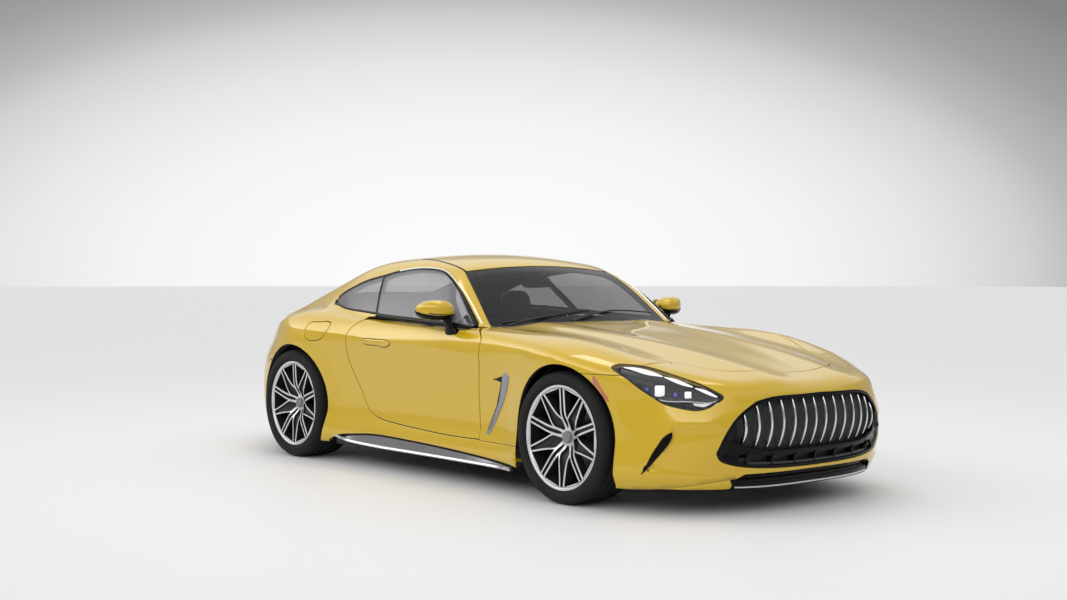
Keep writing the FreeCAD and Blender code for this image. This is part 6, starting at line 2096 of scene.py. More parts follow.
# ---- mirrors: painted cap, black base and foot, and the glass
def mirror_parts():
    xs = np.array([-886, -889, -899, -917, -943, -975, -1007, -1031, -1044, -1050.5, -1052])
    yf = np.array([-318, -334, -352, -362, -367, -364, -350, -326, -300, -272, -252.0])
    yb = np.array([-268, -262, -254, -248, -243, -238, -232, -228, -227, -230, -240.0])
    zu = np.array([1012, 1030, 1046, 1058, 1067, 1070, 1067, 1056, 1042, 1024, 1008.0])
    zl = np.array([992, 980, 968, 958, 951, 949, 952, 962, 974, 988, 1002.0])
    n = 30
    a = np.linspace(0, 2 * pi, n, endpoint=False)
    rows_, mats_ = [], []
    for x, f, b, u, l in zip(xs, yf, yb, zu, zl):
        cy, cz, ry, rz = (f + b) / 2, (u + l) / 2, (b - f) / 2, (u - l) / 2
        # squarish towards the glass, rounder in front
        c_, s__ = np.cos(a), np.sin(a)
        ex = 0.62
        px_ = np.sign(c_) * np.abs(c_) ** ex
        pz_ = np.sign(s__) * np.abs(s__) ** 0.78
        rows_.append(np.column_stack([np.full(n, x), cy + ry * px_, cz + rz * pz_]))
    V = np.vstack(rows_)
    F = []
    m_ = []
    for i in range(len(xs) - 1):
        for j in range(n):
            k = (j + 1) % n
            F += [(i * n + j, i * n + k, (i + 1) * n + k), (i * n + j, (i + 1) * n + k, (i + 1) * n + j)]
            # the lower part and the rear face are black, the cap over them is painted
            low_ = (np.sin(a[j]) + np.sin(a[j] + 2 * pi / n)) / 2 < -0.46
            back = (np.cos(a[j]) + np.cos(a[j] + 2 * pi / n)) / 2 > 0.93
            m_ += [1 if (low_ or back) else 0] * 2
    k = len(V)
    V = np.vstack([V, rows_[0].mean(0)[None], rows_[-1].mean(0)[None]])
    F += cap_fan(list(range(n)), k, False) + cap_fan(list(range((len(xs) - 1) * n, len(xs) * n)), k + 1, True)
    m_ += [1] * n + [0] * n
    F = fix_winding(V, np.array(F))
    out = [(V, F, np.array(m_))]
    # reflecting pane at the rear, with its black rim
    gp = round_rect(150.0, 84.0, 26.0, 6)
    G, GF = stack(gp, [(0.0, 0.0), (0.0, 3.0), (-3.0, 3.4), (-8.0, 3.6)], True, True)
    o_ = np.array([-962.0, -240.5, 1009.0])
    ex_, ey_ = unit([-1.0, 0.085, 0.0]), np.array([0, 0, 1.0])
    ez_ = unit(np.cross(ex_, ey_))
    if ez_[1] < 0:
        ez_ = -ez_
    G = seat_at(G, o_, ex_, ey_, ez_)
    out.append((G, fix_winding(G, GF), 2))
    # foot
    base = np.array([(-412, 872), (-372, 866), (-330, 864), (-298, 870), (-292, 884), (-310, 896), (-360, 902), (-402, 896)], float)
    bs = on_skin("side", base, -0.5, F_A)
    tp_ = np.array([(-908, -350, 968), (-925, -358, 962), (-940, -345, 960), (-945, -315, 962), (-938, -290, 966), (-920, -284, 970), (-905, -292, 972), (-900, -325, 972.0)])
    # order both rings the same way round
    cb, ct = bs.mean(0), tp_.mean(0)
    ob = np.argsort(np.arctan2(bs[:, 2] - cb[2], bs[:, 1] - cb[1]))
    ot = np.argsort(np.arctan2(-(tp_[:, 0] - ct[0]) * -1.0, tp_[:, 1] - ct[1]))
    bs, tp_ = bs[ob], tp_[ot]
    best = min(range(8), key=lambda r: np.linalg.norm(np.roll(tp_, r, 0) - bs, axis=1).sum())
    tp_ = np.roll(tp_, best, 0)
    rr = [bs + (tp_ - bs) * t + np.array([0.0, 0, 1.0]) * 0 + (bs.mean(0) - bs) * 0.30 * math.sin(pi * t) for t in np.linspace(0, 1, 7)]
    Vf = np.vstack(rr)
    Ff = []
    for i in range(6):
        for j in range(8):
            k = (j + 1) % 8
            Ff += [(i * 8 + j, i * 8 + k, (i + 1) * 8 + k), (i * 8 + j, (i + 1) * 8 + k, (i + 1) * 8 + j)]
    k = len(Vf)
    Vf = np.vstack([Vf, bs.mean(0)[None], tp_.mean(0)[None]])
    Ff += cap_fan(list(range(8)), k, False) + cap_fan(list(range(48, 56)), k + 1, True)
    out.append((Vf, fix_winding(Vf, np.array(Ff)), 1))
    # narrow turn lamp line on the cap's leading edge
    q = np.array([(-905, -362.5, 985), (-940, -367.5, 984), (-975, -364, 985), (-1008, -349, 988), (-1034, -324, 993.0)])
    V5, F5 = sweep(line(q, 8.0), np.array([0, -1.0, 0.15]), half_round(5.0, 2.0, 6))
    out.append((V5, F5, 1))
    for k in (0, 1, 3):
        V_ = out[k][0]
        V_[:, 0] = -962.0 + (V_[:, 0] + 962.0) * 1.18
        V_[:, 1] = -300.0 + (V_[:, 1] + 300.0) * 1.20
    return out


mp_ = mirror_parts()
for sgn, tag in ((1, "right"), (-1, "left")):
    items = mp_ if sgn > 0 else [(p[0] * np.array([-1.0, 1, 1]), np.asarray(p[1])[:, ::-1], p[2]) for p in mp_]
    V, F, m = joinh(items)
    puth("mirror_%s_housing" % tag, V, F, [M["paint"], M["black_gloss"], M["mirror_glass"]], "door_%s_body" % tag, m, ["mirror_" + tag], 42.0)

# ---- wipers at the foot of the screen
items = []
for arm, piv in (([(-150, -560), (180, -500), (470, -470), (640, -455)], (-160, -585)), ([(-640, -500), (-300, -520), (-60, -505), (60, -492)], (-650, -560))):
    P = on_skin("plan", line(arm, 16.0), 0.0, F_B)
    N = nrm_of(P, F_B)
    V, F = sweep(P + N * 5.0, N, [(3.5, -5.5), (4, -2), (3, 1.5), (-3, 1.5), (-4, -2), (-3.5, -5.5)], scale=np.stack([np.linspace(1, 0.7, len(P))] * 2, 1))
    items.append((V, F, 0))
    a0 = on_skin("plan", np.array([piv], float), 0.0, F_A if piv[1] < -570 else F_U)[0]
    mid = P[len(P) // 2] + N[len(P) // 2] * 9.0
    q = line([a0 + np.array([0, 0, 4.0]), (a0 + mid) / 2 + np.array([0, 0, 7.0]), mid], 18.0)
    V, F = sweep(q, np.array([0.0, -0.5, 0.85]), [(6, -3), (6, 1), (3.5, 3), (-3.5, 3), (-6, 1), (-6, -3)], scale=np.stack([np.linspace(1.3, 0.6, len(q))] * 2, 1))
    items.append((V, F, 0))
V, F, m = joinh(items)
puth("wipers", V, F, [M["black_matt"]], "shell", None, [], 40.0)


# ------------------------------------------------------------------ wheels, discs, calipers
WH = build_wheels()
DV, DF, DM = ring_holes_disc()
DISC_X = 742.0


def place_axle(V, sx, x0, y0, z0, turn=0.0):
    # V: x outwards from x0; turned about the axle
    c, s = math.cos(turn), math.sin(turn)
    Q = np.stack([V[:, 0], V[:, 1] * c - V[:, 2] * s, V[:, 1] * s + V[:, 2] * c], 1)
    return np.stack([sx * (x0 + Q[:, 0]), y0 + Q[:, 1], z0 + Q[:, 2]], 1)


for tag, sx, ax, yc, zc, tn in (("front_left", 1, "front", YF, 355.0, 0.35), ("front_right", -1, "front", YF, 355.0, 0.0),
                                ("rear_left", 1, "rear", YR, 358.0, 0.9), ("rear_right", -1, "rear", YR, 358.0, 0.0)):
    W = WH[ax]
    body = "wheel_%s_body" % tag
    V, F, m = W["rim"]
    V = place_axle(V, sx, W["lx"], yc, zc, tn)
    if sx < 0:
        F = F[:, ::-1]
    puth("rim_%s_face" % tag, V, F, [M["machined"], M["rim_dark"], M["hub_cap"]], body, m, ["rim_" + tag], 32.0)
    V, F = W["tyre"]
    V = place_axle(V, sx, 835.0, yc, zc)
    if sx < 0:
        F = F[:, ::-1]
    puth("tyre_%s_tread" % tag, V, F, [M["rubber"]], body, None, ["tyre_" + tag], 50.0)
    V = place_axle(DV, sx, DISC_X, yc, zc)
    F = DF[:, ::-1] if sx < 0 else DF
    puth("brake_disc_%s_drilled" % tag, V, F, [M["iron"], M["cast"]], body, DM, ["brake_disc_" + tag], 30.0)


# ------------------------------------------------------------------ seats
def taller(V):
    # backs and head rests stretched upwards from the cushion
    W = np.array(V, float)
    W[:, 2] = np.where(W[:, 2] > 360.0, 360.0 + (W[:, 2] - 360.0) * 1.14, W[:, 2])
    return W


def pillow(hx, hy, hz, k=4.0, n=14, dent=None):
    """crowned closed form: a cube's surface rounded towards a box of half sizes hx, hy, hz"""
    n = n
    g = np.linspace(-1, 1, n + 1)
    vs, idx = [], {}
    F = []

    def vid(p):
        key = tuple(int(round(c * n)) for c in p)
        if key not in idx:
            idx[key] = len(vs)
            vs.append(p)
        return idx[key]
    for ax in range(3):
        for s in (-1.0, 1.0):
            for i in range(n):
                for j in range(n):
                    q = []
                    for a, b in ((g[i], g[j]), (g[i + 1], g[j]), (g[i + 1], g[j + 1]), (g[i], g[j + 1])):
                        p = [0.0, 0.0, 0.0]
                        p[ax], p[(ax + 1) % 3], p[(ax + 2) % 3] = s, a, b
                        q.append(vid(tuple(p)))
                    if s < 0:
                        q = q[::-1]
                    F += [(q[0], q[1], q[2]), (q[0], q[2], q[3])]
    C = np.array(vs, float)
    r = (np.abs(C) ** k).sum(1) ** (1.0 / k)
    U = C / r[:, None]
    V = U * np.array([hx, hy, hz], float)
    if dent is not None:
        V = V + dent(C, V)
    return V, np.array(F)


def flute(x, pitch, depth, w=7.0):
    # sewn channels every pitch mm
    d = np.abs((np.asarray(x) / pitch) - np.round(np.asarray(x) / pitch)) * pitch
    return -depth * np.exp(-(d / w) ** 2)


def leather_mat():
    m, nt, b = new_mat("seat_leather")
    vary_color(nt, b, (0.016, 0.016, 0.018), (0.026, 0.026, 0.029), 14.0)
    vary_rough(nt, b, 0.42, 0.62, 9.0)
    tc = node(nt, "ShaderNodeTexCoord")
    v = node(nt, "ShaderNodeTexVoronoi", Scale=520.0)
    nz = node(nt, "ShaderNodeTexNoise", Scale=55.0, Detail=5.0)
    nt.links.new(tc.outputs["Object"], v.inputs["Vector"])
    nt.links.new(tc.outputs["Object"], nz.inputs["Vector"])
    ad = node(nt, "ShaderNodeMath", operation="ADD")
    nt.links.new(v.outputs["Distance"], ad.inputs[0])
    nt.links.new(nz.outputs["Fac"], ad.inputs[1])
    bp = node(nt, "ShaderNodeBump", Strength=0.30, Distance=0.0012)
    nt.links.new(ad.outputs["Value"], bp.inputs["Height"])
    nt.links.new(bp.outputs["Normal"], b.inputs["Normal"])
    b.inputs["Sheen Weight"].default_value = 0.15
    return m


M["leather"] = leather_mat()
M["stitch"] = plain_mat("seat_stitching", (0.30, 0.30, 0.31), 0.7, bump=0.4, bscale=900.0)
M["soft_cloth"] = plain_mat("soft_cloth", (0.018, 0.018, 0.020), 0.92, bump=0.5, bscale=900.0)
M["belt"] = plain_mat("belt_webbing", (0.010, 0.010, 0.011), 0.72, bump=0.5, bscale=1400.0)
M["light_trim"] = plain_mat("light_trim", (0.42, 0.42, 0.43), 0.42, bump=0.08, bscale=300.0)
M["screen_black"] = plain_mat("screen_black", (0.006, 0.007, 0.009), 0.09, coat=0.4)
M["carpet"] = plain_mat("carpet", (0.012, 0.012, 0.013), 0.95, bump=0.9, bscale=1500.0)


def tilt_yz(V, a, o):
    # rotate about the x axis through o by a degrees
    c, s = math.cos(math.radians(a)), math.sin(math.radians(a))
    Q = V - np.asarray(o, float)
    return np.stack([Q[:, 0], Q[:, 1] * c - Q[:, 2] * s, Q[:, 1] * s + Q[:, 2] * c], 1) + np.asarray(o, float)


def soft(name, V, F, cx, mat="leather"):
    ob = puth(name, V + np.array([cx, 0.0, 0.0]), F, [M[mat]], "shell", None, ["seats"], 80.0)
    return ob


for side, cx in (("left", 372.0), ("right", -372.0)):
    # cushion: fluted centre between two raised bolsters
    def dent(C, V):
        d = np.zeros_like(V)
        top = (C[:, 2] > 0) * (1 - sstep(0.80, 1.0, np.abs(C[:, 0])))
        d[:, 2] += top * flute(V[:, 1] + 20, 62.0, 6.5, 7.0)
        d[:, 2] += -7.0 * top * (1 - sstep(0.0, 1.0, np.abs(C[:, 0])))
        return d
    V, F = pillow(158, 248, 66, 5.0, 26, dent)
    soft("seat_%s_cushion" % side, V + np.array([0.0, 186.0, 338.0]), F, cx)
    for s in (-1, 1):
        def dent(C, V):
            d = np.zeros_like(V)
            d[:, 0] += -s * 16.0 * sstep(-0.2, 1.0, C[:, 2])
            return d
        V, F = pillow(46, 250, 84, 3.4, 16, dent)
        soft("seat_%s_bolster_%s" % (side, "a" if s < 0 else "b"), V + np.array([s * 201.0, 188.0, 322.0]), F, cx)
    # back: fluted centre, shoulder bolsters, all leaning back by 20 degrees about (320, 360)
    o = (0.0, 320.0, 360.0)

    def dent(C, V):
        d = np.zeros_like(V)
        fr = (C[:, 1] < 0) * (1 - sstep(0.80, 1.0, np.abs(C[:, 0])))
        d[:, 1] -= fr * flute(V[:, 2] + 10, 62.0, 6.5, 7.0)
        d[:, 1] += fr * 9.0 * (1 - sstep(0.0, 1.0, np.abs(C[:, 0])))
        # narrower towards the shoulders
        d[:, 0] += -V[:, 0] * 0.16 * sstep(0.1, 1.0, C[:, 2])
        return d
    V, F = pillow(150, 52, 262, 5.0, 26, dent)
    V = tilt_yz(V + np.array([0.0, 320.0 + 66, 360.0 + 282]), -20.0, o)
    soft("seat_%s_back" % side, taller(V), F, cx)
    for s in (-1, 1):
        def dent(C, V):
            d = np.zeros_like(V)
            d[:, 0] += -s * 10.0 * sstep(-1.0, 1.0, -C[:, 1])
            d[:, 0] += -s * 34.0 * sstep(0.2, 1.0, C[:, 2])
            d[:, 1] += 16.0 * sstep(0.3, 1.0, C[:, 2])
            return d
        V, F = pillow(44, 62, 258, 3.6, 16, dent)
        V = tilt_yz(V + np.array([s * 192.0, 320.0 + 62, 360.0 + 276]), -20.0, o)
        soft("seat_%s_side_%s" % (side, "a" if s < 0 else "b"), taller(V), F, cx)
    # head rest
    V, F = pillow(118, 44, 86, 3.4, 16)
    V = tilt_yz(V + np.array([0.0, 522.0 + 50, 860.0 + 84]), -14.0, (0.0, 522.0, 860.0))
    soft("seat_%s_headrest" % side, taller(V), F, cx)
    # hard parts: back shell, base frame, posts of the head rest, belt and buckle
    hard = []
    V, F = pillow(212, 12, 262, 6.0, 12)
    V = tilt_yz(V + np.array([0.0, 320.0 + 118, 360.0 + 276]), -20.0, o)
    hard.append((V, F, 0))
    for s in (-1, 1):
        q = line([tilt_yz(np.array([[s * 42.0, 320 + 70, 360 + 500.0]]), -20.0, o)[0], tilt_yz(np.array([[s * 42.0, 522 + 50, 860 + 20.0]]), -14.0, (0, 522.0, 860.0))[0]], 20.0)
        V, F = pipe(q, 6.0, 8)
        hard.append((V, F, 1))
        V, F = rbox(34, 430, 26, 5)
        hard.append((V + np.array([s * 170.0, 190.0, 244.0]), F, 0))
    V, F = rbox(380, 400, 22, 6)
    hard.append((V + np.array([0.0, 190.0, 262.0]), F, 0))
    V, F = rbox(24, 30, 84, 5)
    so = 1.0 if cx > 0 else -1.0
    hard.append((tilt_yz(V, -20, (0, 0, 0)) + np.array([-so * 236.0 + 0.0, 396.0, 366.0]), F, 2))
    V, F, m = joinh(hard)
    puth("seat_%s_shell" % side, taller(V) + np.array([cx, 0, 0]), F, [M["trim_dark"], M["chrome"], M["belt"]], "shell", m, ["seats"], 40.0)
    # belt from the shoulder down the inner side of the seat back
    bp_ = [(cx + so * 236, 560, 925), (cx + so * 226, 520, 880), (cx + so * 170, 462, 812), (cx + so * 60, 372, 640), (cx - so * 60, 316, 520), (cx - so * 190, 300, 425)]
    q = taller(line(bp_, 22.0))
    V, F = sweep(q, np.array([0.0, -0.92, 0.38]), rect(44, 2.4, 0.8, 1.2))
    V2, F2 = rbox(40, 18, 34, 6)
    V3, F3 = sweep(line([(cx + so * 236, 560, 925), (cx + so * 240, 570, 700), (cx + so * 240, 575, 480)], 30.0), np.array([so * 1.0, 0.0, 0.0]), rect(44, 2.4, 0.8, 1.2))
    V, F, m = joinh([(V, F, 0), (V2 + np.array(bp_[0]), F2, 1), (V3, F3, 0)])
    puth("seat_belt_" + side, V, F, [M["belt"], M["trim_dark"]], "shell", m, [], 40.0)
    # small rear seat
    V, F = pillow(198, 92, 60, 4.2, 14, lambda C, V: np.stack([V[:, 0] * 0, V[:, 0] * 0, (C[:, 2] > 0) * flute(V[:, 0], 66.0, 5.0)], 1))
    soft("rear_seat_%s_cushion" % side, V + np.array([0.0, 742.0, 322.0]), F, cx)
    V, F = pillow(198, 34, 196, 4.6, 16, lambda C, V: np.stack([V[:, 0] * 0, (C[:, 1] < 0) * -flute(V[:, 0], 66.0, 5.0), V[:, 0] * 0], 1))
    soft("rear_seat_%s_back" % side, V + np.array([0.0, 832.0, 516.0]), F, cx)

# ------------------------------------------------------------------ steering wheel
SWC = np.array([372.0, -215.0, 770.0])
SWN = np.array([0.0, math.sin(math.radians(66)), math.cos(math.radians(66))])
SWU = np.array([0.0, -math.cos(math.radians(66)), math.sin(math.radians(66))])
SWX = np.array([1.0, 0.0, 0.0])


def sw(u, v, h=0.0):
    return SWC + SWX * u + SWU * v + SWN * h


items = []
th = np.linspace(0, 2 * pi, 65)[:-1]
rr_ = 165.0 - 14.0 * np.exp(-((th - 1.5 * pi) / 0.42) ** 2)      # flattened at the bottom
ringp = np.array([sw(r * math.cos(t), r * math.sin(t)) for r, t in zip(rr_, th)])
tn = np.linspace(0, 2 * pi, 13)[:-1]
prof = [(14.5 * math.cos(a), 12.5 * math.sin(a)) for a in tn]
V, F = sweep(ringp, SWN, prof, closed=True)
items.append((V, F, 0))
for a0, w0 in ((0.06, 40.0), (pi - 0.06, 40.0)):
    pts = [sw(38 * math.cos(a0), 38 * math.sin(a0) + 6, -4), sw(96 * math.cos(a0), 96 * math.sin(a0) + 6, -4), sw(154 * math.cos(a0), 154 * math.sin(a0), -1)]
    V, F = sweep(line(pts, 14.0), SWN, rect(w0, 13, 4.0, 6.0), scale=np.stack([np.linspace(1.15, 0.72, len(line(pts, 14.0)))] * 2, 1))
    items.append((V, F, 1))
for s in (-1, 1):
    pts = [sw(s * 16, -30, -5), sw(s * 20, -92, -5), sw(s * 26, -146, -2)]
    V, F = sweep(line(pts, 14.0), SWN, rect(15, 11, 3.0, 5.0))
    items.append((V, F, 2))
pad = closed_smooth(np.array([(-66, 26), (-44, 44), (0, 50), (44, 44), (66, 26), (62, -22), (34, -46), (0, -52), (-34, -46), (-62, -22)], float), 8.0)
V, F = stack(pad, [(-6.0, -22.0), (0.0, -14.0), (0.0, 4.0), (-5.0, 12.0), (-16.0, 17.0), (-30.0, 19.0)], True, True)
items.append((seat_at(V, SWC, SWX, SWU, SWN), fix_winding(seat_at(V, SWC, SWX, SWU, SWN), F), 1))
# round controls under the spokes
for s in (-1, 1):
    V, F = lathe([(0, 0.01), (0, 15), (4, 17), (10, 17), (13, 14), (13, 0.01)], 28)
    V = np.stack([V[:, 1], V[:, 2], V[:, 0]], 1)
    P_ = seat_at(V, sw(s * 82, -30, -2), SWX, SWU, SWN)
    items.append((P_, fix_winding(P_, F), 2))
    for k in range(3):
        V, F = rbox(20, 9, 5, 1.5, 2)
        items.append((seat_at(V, sw(s * 92, 2 + 13 * (k - 1) * 0.9 + 6, 8), SWX, SWU, SWN), F, 1))
V, F, m = joinh(items)
puth("steering_wheel_rim", V, F, [M["leather"], M["trim_dark"], M["satin_silver"]], "steering_wheel_body", m, ["steering_wheel"], 50.0)

# ------------------------------------------------------------------ dashboard and console
items = []
xs_ = np.linspace(-632, 632, 49)
sec = [(-566, 700), (-560, 760), (-520, 800), (-470, 818), (-420, 820), (-384, 806), (-364, 776), (-362, 742), (-372, 708), (-392, 674), (-430, 650), (-500, 646)]
sec = closed_smooth(np.array(sec, float), 16.0)
rows_ = []
for x in xs_:
    hood = np.exp(-((x - 372.0) / 120.0) ** 2)
    q = sec.copy()
    top = sstep(740, 800, q[:, 1])
    q[:, 1] = q[:, 1] + top * (8.0 * hood - 10.0 * (abs(x) / 632.0) ** 3)
    q[:, 0] = q[:, 0] + 12.0 * hood * sstep(-430, -380, q[:, 0]) - 20.0 * (abs(x) / 632.0) ** 4 * sstep(-430, -370, q[:, 0])
    rows_.append(np.column_stack([np.full(len(q), x), q]))
n_ = len(sec)
V = np.vstack(rows_)
F = []
for i in range(len(xs_) - 1):
    for a in range(n_):
        b = (a + 1) % n_
        F += [(i * n_ + a, i * n_ + b, (i + 1) * n_ + b), (i * n_ + a, (i + 1) * n_ + b, (i + 1) * n_ + a)]
k = len(V)
V = np.vstack([V, rows_[0].mean(0)[None], rows_[-1].mean(0)[None]])
F += cap_fan(list(range(n_)), k, True) + cap_fan(list(range(k - n_, k)), k + 1, False)
F = fix_winding(V, np.array(F))
items.append((V, F, 0))
# trim bar across, with round air outlets
V, F = sweep(line([(-600, -366, 724), (-300, -360, 726), (0, -356, 727), (300, -360, 726), (600, -366, 724)], 24.0), np.array([0, 1.0, 0.1]), rect(26, 16, 4.0, 6.0))
items.append((V, F, 2))
for x in (-560.0, -120.0, 0.0, 120.0, 560.0):
    prof = [(0, 0.01), (2, 20), (3, 24), (9, 29), (10, 34), (6, 38), (-10, 38), (-10, 0.01)]
    V, F = lathe(prof, 30)
    P_ = np.stack([V[:, 1] + x, V[:, 0] - 362.0, V[:, 2] + 762.0], 1)
    items.append((P_, fix_winding(P_, F), 3))
    for a in range(5):
        V, F = rbox(6, 5, 34, 1.5, 2)
        c, s_ = math.cos(a * pi / 2.5), math.sin(a * pi / 2.5)
        V = np.stack([V[:, 0] * c - (V[:, 2] - 12) * s_, V[:, 1], V[:, 0] * s_ + (V[:, 2] - 12) * c], 1)
        items.append((V * 0.62 + np.array([x, -354.0, 762.0]), F, 1))
# instrument panel and upright centre screen, both blank
V, F = stack(round_rect(262, 92, 12), [(0, -9), (0, 0), (-3, 2.5), (-6, 3)], True, True)
P_ = seat_at(V, (372.0, -356.0, 792.0), (1, 0, 0), unit((0, 0.22, 1.0)), unit((0, 1.0, -0.22)))
items.append((P_, fix_winding(P_, F), 4))
V, F = stack(round_rect(204, 276, 16), [(0, -13), (0, 0), (-3, 3.0), (-7, 3.5)], True, True)
P_ = seat_at(V, (0.0, -300.0, 632.0), (1, 0, 0), unit((0, -0.62, 1.0)), unit((0, 1.0, 0.62)))
items.append((P_, fix_winding(P_, F), 4))
# stack behind the screen, console, lid, tray, cup wells and selector
V, F = rbox(236, 190, 236, 24, 4)
items.append((V + np.array([0, -348.0, 560.0]), F, 0))
V, F = rbox(204, 880, 84, 18, 4)
items.append((V + np.array([0, 110.0, 390.0]), F, 0))
V, F = rbox(176, 270, 26, 11, 4)
items.append((V + np.array([0, 380.0, 438.0]), F, 1))
V, F = rbox(150, 330, 8, 3, 2)
items.append((V + np.array([0, -70.0, 433.0]), F, 4))
for y in (-60.0, 44.0):
    V, F = lathe([(-24, 0.01), (-24, 36), (0, 40), (4, 44), (2, 47), (-26, 47), (-26, 0.01)], 36)
    P_ = np.stack([V[:, 1], V[:, 2] + y, V[:, 0] + 437.0], 1)
    items.append((P_, fix_winding(P_, F), 3))
V, F = pillow(20, 26, 24, 3.0, 10)
items.append((V + np.array([0, -168.0, 458.0]), F, 2))
# column cowl
V, F = sweep(line([(372, -340, 715), (372, -300, 731), (372, -262, 748)], 12.0), np.array([0, 0, 1.0]), round_rect(78, 62, 18, 4).tolist())
items.append((V, F, 1))
for s in (-1, 1):
    V, F = pipe(line([(372 + s * 30, -276, 748), (372 + s * 90, -270, 752), (372 + s * 130, -262, 756)], 18.0), 6.5, 8)
    items.append((V, F, 1))
V, F, m = joinh(items)
puth("dashboard_trim", V, F, [M["trim_dark"], M["leather"], M["satin_dark"], M["satin_silver"], M["screen_black"]], "shell", m, ["dashboard"], 40.0)

# inner mirror on the screen
items = []
V, F = pillow(118, 17, 34, 4.0, 12)
items.append((tilt_yz(V, -12, (0, 0, 0)) + np.array([0, -60.0, 1168.0]), F, 0))
V, F = pillow(106, 3, 27, 5.0, 10)
items.append((tilt_yz(V, -12, (0, 0, 0)) + np.array([0, -42.0, 1165.0]), F, 1))
V, F = rbox(64, 120, 44, 14, 3)
items.append((tilt_yz(V, -36, (0, 0, 0)) + np.array([0, -88.0, 1192.0]), F, 0))
V, F, m = joinh(items)
puth("inner_mirror", V, F, [M["trim_dark"], M["mirror_glass"]], "shell", m, [], 40.0)


# ------------------------------------------------------------------ door cards and the cabin's lining
def cdt_view(view, loops_, keep_fn, t, fld, step=24.0, y0=-1500.0):
    pts, edges = [], []
    for L in loops_:
        k = len(pts)
        pts += [Vector(q) for q in L.tolist()]
        edges += [(k + i, k + (i + 1) % len(L)) for i in range(len(L))]
    lo, hi = np.min(loops_[0], 0), np.max(loops_[0], 0)
    for x in np.arange(lo[0], hi[0], step):
        for z in np.arange(lo[1], hi[1], step):
            pts.append(Vector((x + 0.37, z + 0.41)))
    vs, es, fs, *_ = delaunay_2d_cdt(pts, edges, [], 0, 1e-3)
    uv = np.array([(p.x, p.y) for p in vs])
    tri = np.array([f for f in fs if len(f) == 3], int)
    tri = tri[keep_fn(uv[tri].mean(1))]
    used, idx = np.unique(tri, return_inverse=True)
    tri, uv = idx.reshape(-1, 3), uv[used]
    tt = t(uv) if callable(t) else t
    P = project(view, uv, lambda w, y, z: fld(w, y, z) + tt, y0)
    N = normals(P, fld)
    v = P[tri]
    n = np.cross(v[:, 1] - v[:, 0], v[:, 2] - v[:, 0])
    flip = np.sum(n * N[tri[:, 0]], 1) < 0
    tri[flip] = tri[flip][:, ::-1]
    return P, tri, uv, N


def slab(P, tri, N, thick_):
    # closed sheet going inwards from P
    n = len(P)
    be, _ = boundary(tri)
    w1 = np.stack([be[:, 1], be[:, 0], be[:, 0] + n], 1)
    w2 = np.stack([be[:, 1], be[:, 0] + n, be[:, 1] + n], 1)
    return np.vstack([P, P - N * (thick_[:, None] if not np.isscalar(thick_) else thick_)]), np.vstack([tri, w1, w2, tri[:, ::-1] + n])


dcard = offset(CUT["door"].poly, -44.0)
lim_ = Curve([-700, -450, 80, 640], [872, 884, 905, 925])
dcard = np.column_stack([dcard[:, 0], smn(dcard[:, 1], lim_(dcard[:, 0]))])
P, tri, uv, N = cdt_view("side", [dcard], lambda c: inside(dcard, c), 27.0, F_A, 26.0)
tk = 7.0 + 30.0 * np.exp(-((uv[:, 1] - 640.0) / 46.0) ** 2) * sstep(-480, -330, uv[:, 0]) * (1 - sstep(300, 470, uv[:, 0])) + 9.0 * np.exp(-((uv[:, 1] - 872.0) / 24.0) ** 2)
V0, F0 = slab(P, tri, N, tk)
items = [(V0, F0, 0)]
# handle, pull and speaker ring
hx_ = lambda y, z, d: on_skin("side", np.array([[y, z]]), d, F_A)[0]
q = line([hx_(-150, 740, 44), hx_(-100, 752, 62), hx_(-20, 754, 62), hx_(30, 742, 44)], 14.0)
V, F = pipe(q, 7.0, 8)
items.append((V, F, 1))
c_ = hx_(-330, 400, 36)
V, F = lathe([(0, 0.01), (3, 60), (5, 74), (2, 80), (-9, 80), (-9, 0.01)], 40)
P_ = V + c_
items.append((P_, fix_winding(P_, F), 2))
q = line([hx_(-380, 822, 36), hx_(-100, 838, 36), hx_(200, 850, 36), hx_(430, 862, 36)], 22.0)
V, F = sweep(q, np.array([1.0, 0, 0]), rect(16, 8, 2.5, 4.0))
items.append((V, F, 3))
for sgn, bd in ((1, "door_right_body"), (-1, "door_left_body")):
    its = items if sgn > 0 else [(p[0] * np.array([-1.0, 1, 1]), np.asarray(p[1])[:, ::-1], p[2]) for p in items]
    V, F, m = joinh(its)
    puth("door_card_" + bd[5:-5], V, F, [M["leather"], M["satin_silver"], M["trim_dark"], M["light_trim"]], bd, m, [], 45.0)

# dark lining of the roof, inside the panel
rl_poly = offset(CUT["roof"].poly, -16.0)
P, tri, uv, N = cdt_view("plan", [rl_poly], lambda c: inside(rl_poly, c), 33.0, F_B, 40.0)
V0, F0 = slab(P, tri, N, 5.0)
puth("headliner", V0, F0, [M["soft_cloth"]], "shell", None, [], 60.0)
# floor mats, rear shelf
items = []
for s in (-1, 1):
    V, F = stack(round_rect(430, 640, 60, 5), [(0, 0), (0, 9), (-4, 12), (-9, 12.5)], True, True)
    items.append((V + np.array([s * 372.0, -230.0, 175.0]), F, 0))
V, F = stack(round_rect(1040, 300, 60, 5), [(0, 0), (0, 10), (-6, 16), (-12, 17)], True, True)
items.append((V + np.array([0.0, 1100.0, 740.0]), F, 1))
V, F, m = joinh(items)
puth("floor_mats", V, F, [M["carpet"], M["soft_cloth"]], "shell", m, [], 40.0)
items = []
for k_x in (-44, 10, 60):
    V, F = rbox(40, 8, 72, 3, 2)
    items.append((tilt_yz(V, 30, (0, 0, 0)) + np.array([372.0 + k_x, -520.0, 330.0]), F, 0))
V, F, m = joinh(items)
puth("pedals", V, F, [M["satin_silver"]], "shell", None, [], 40.0)


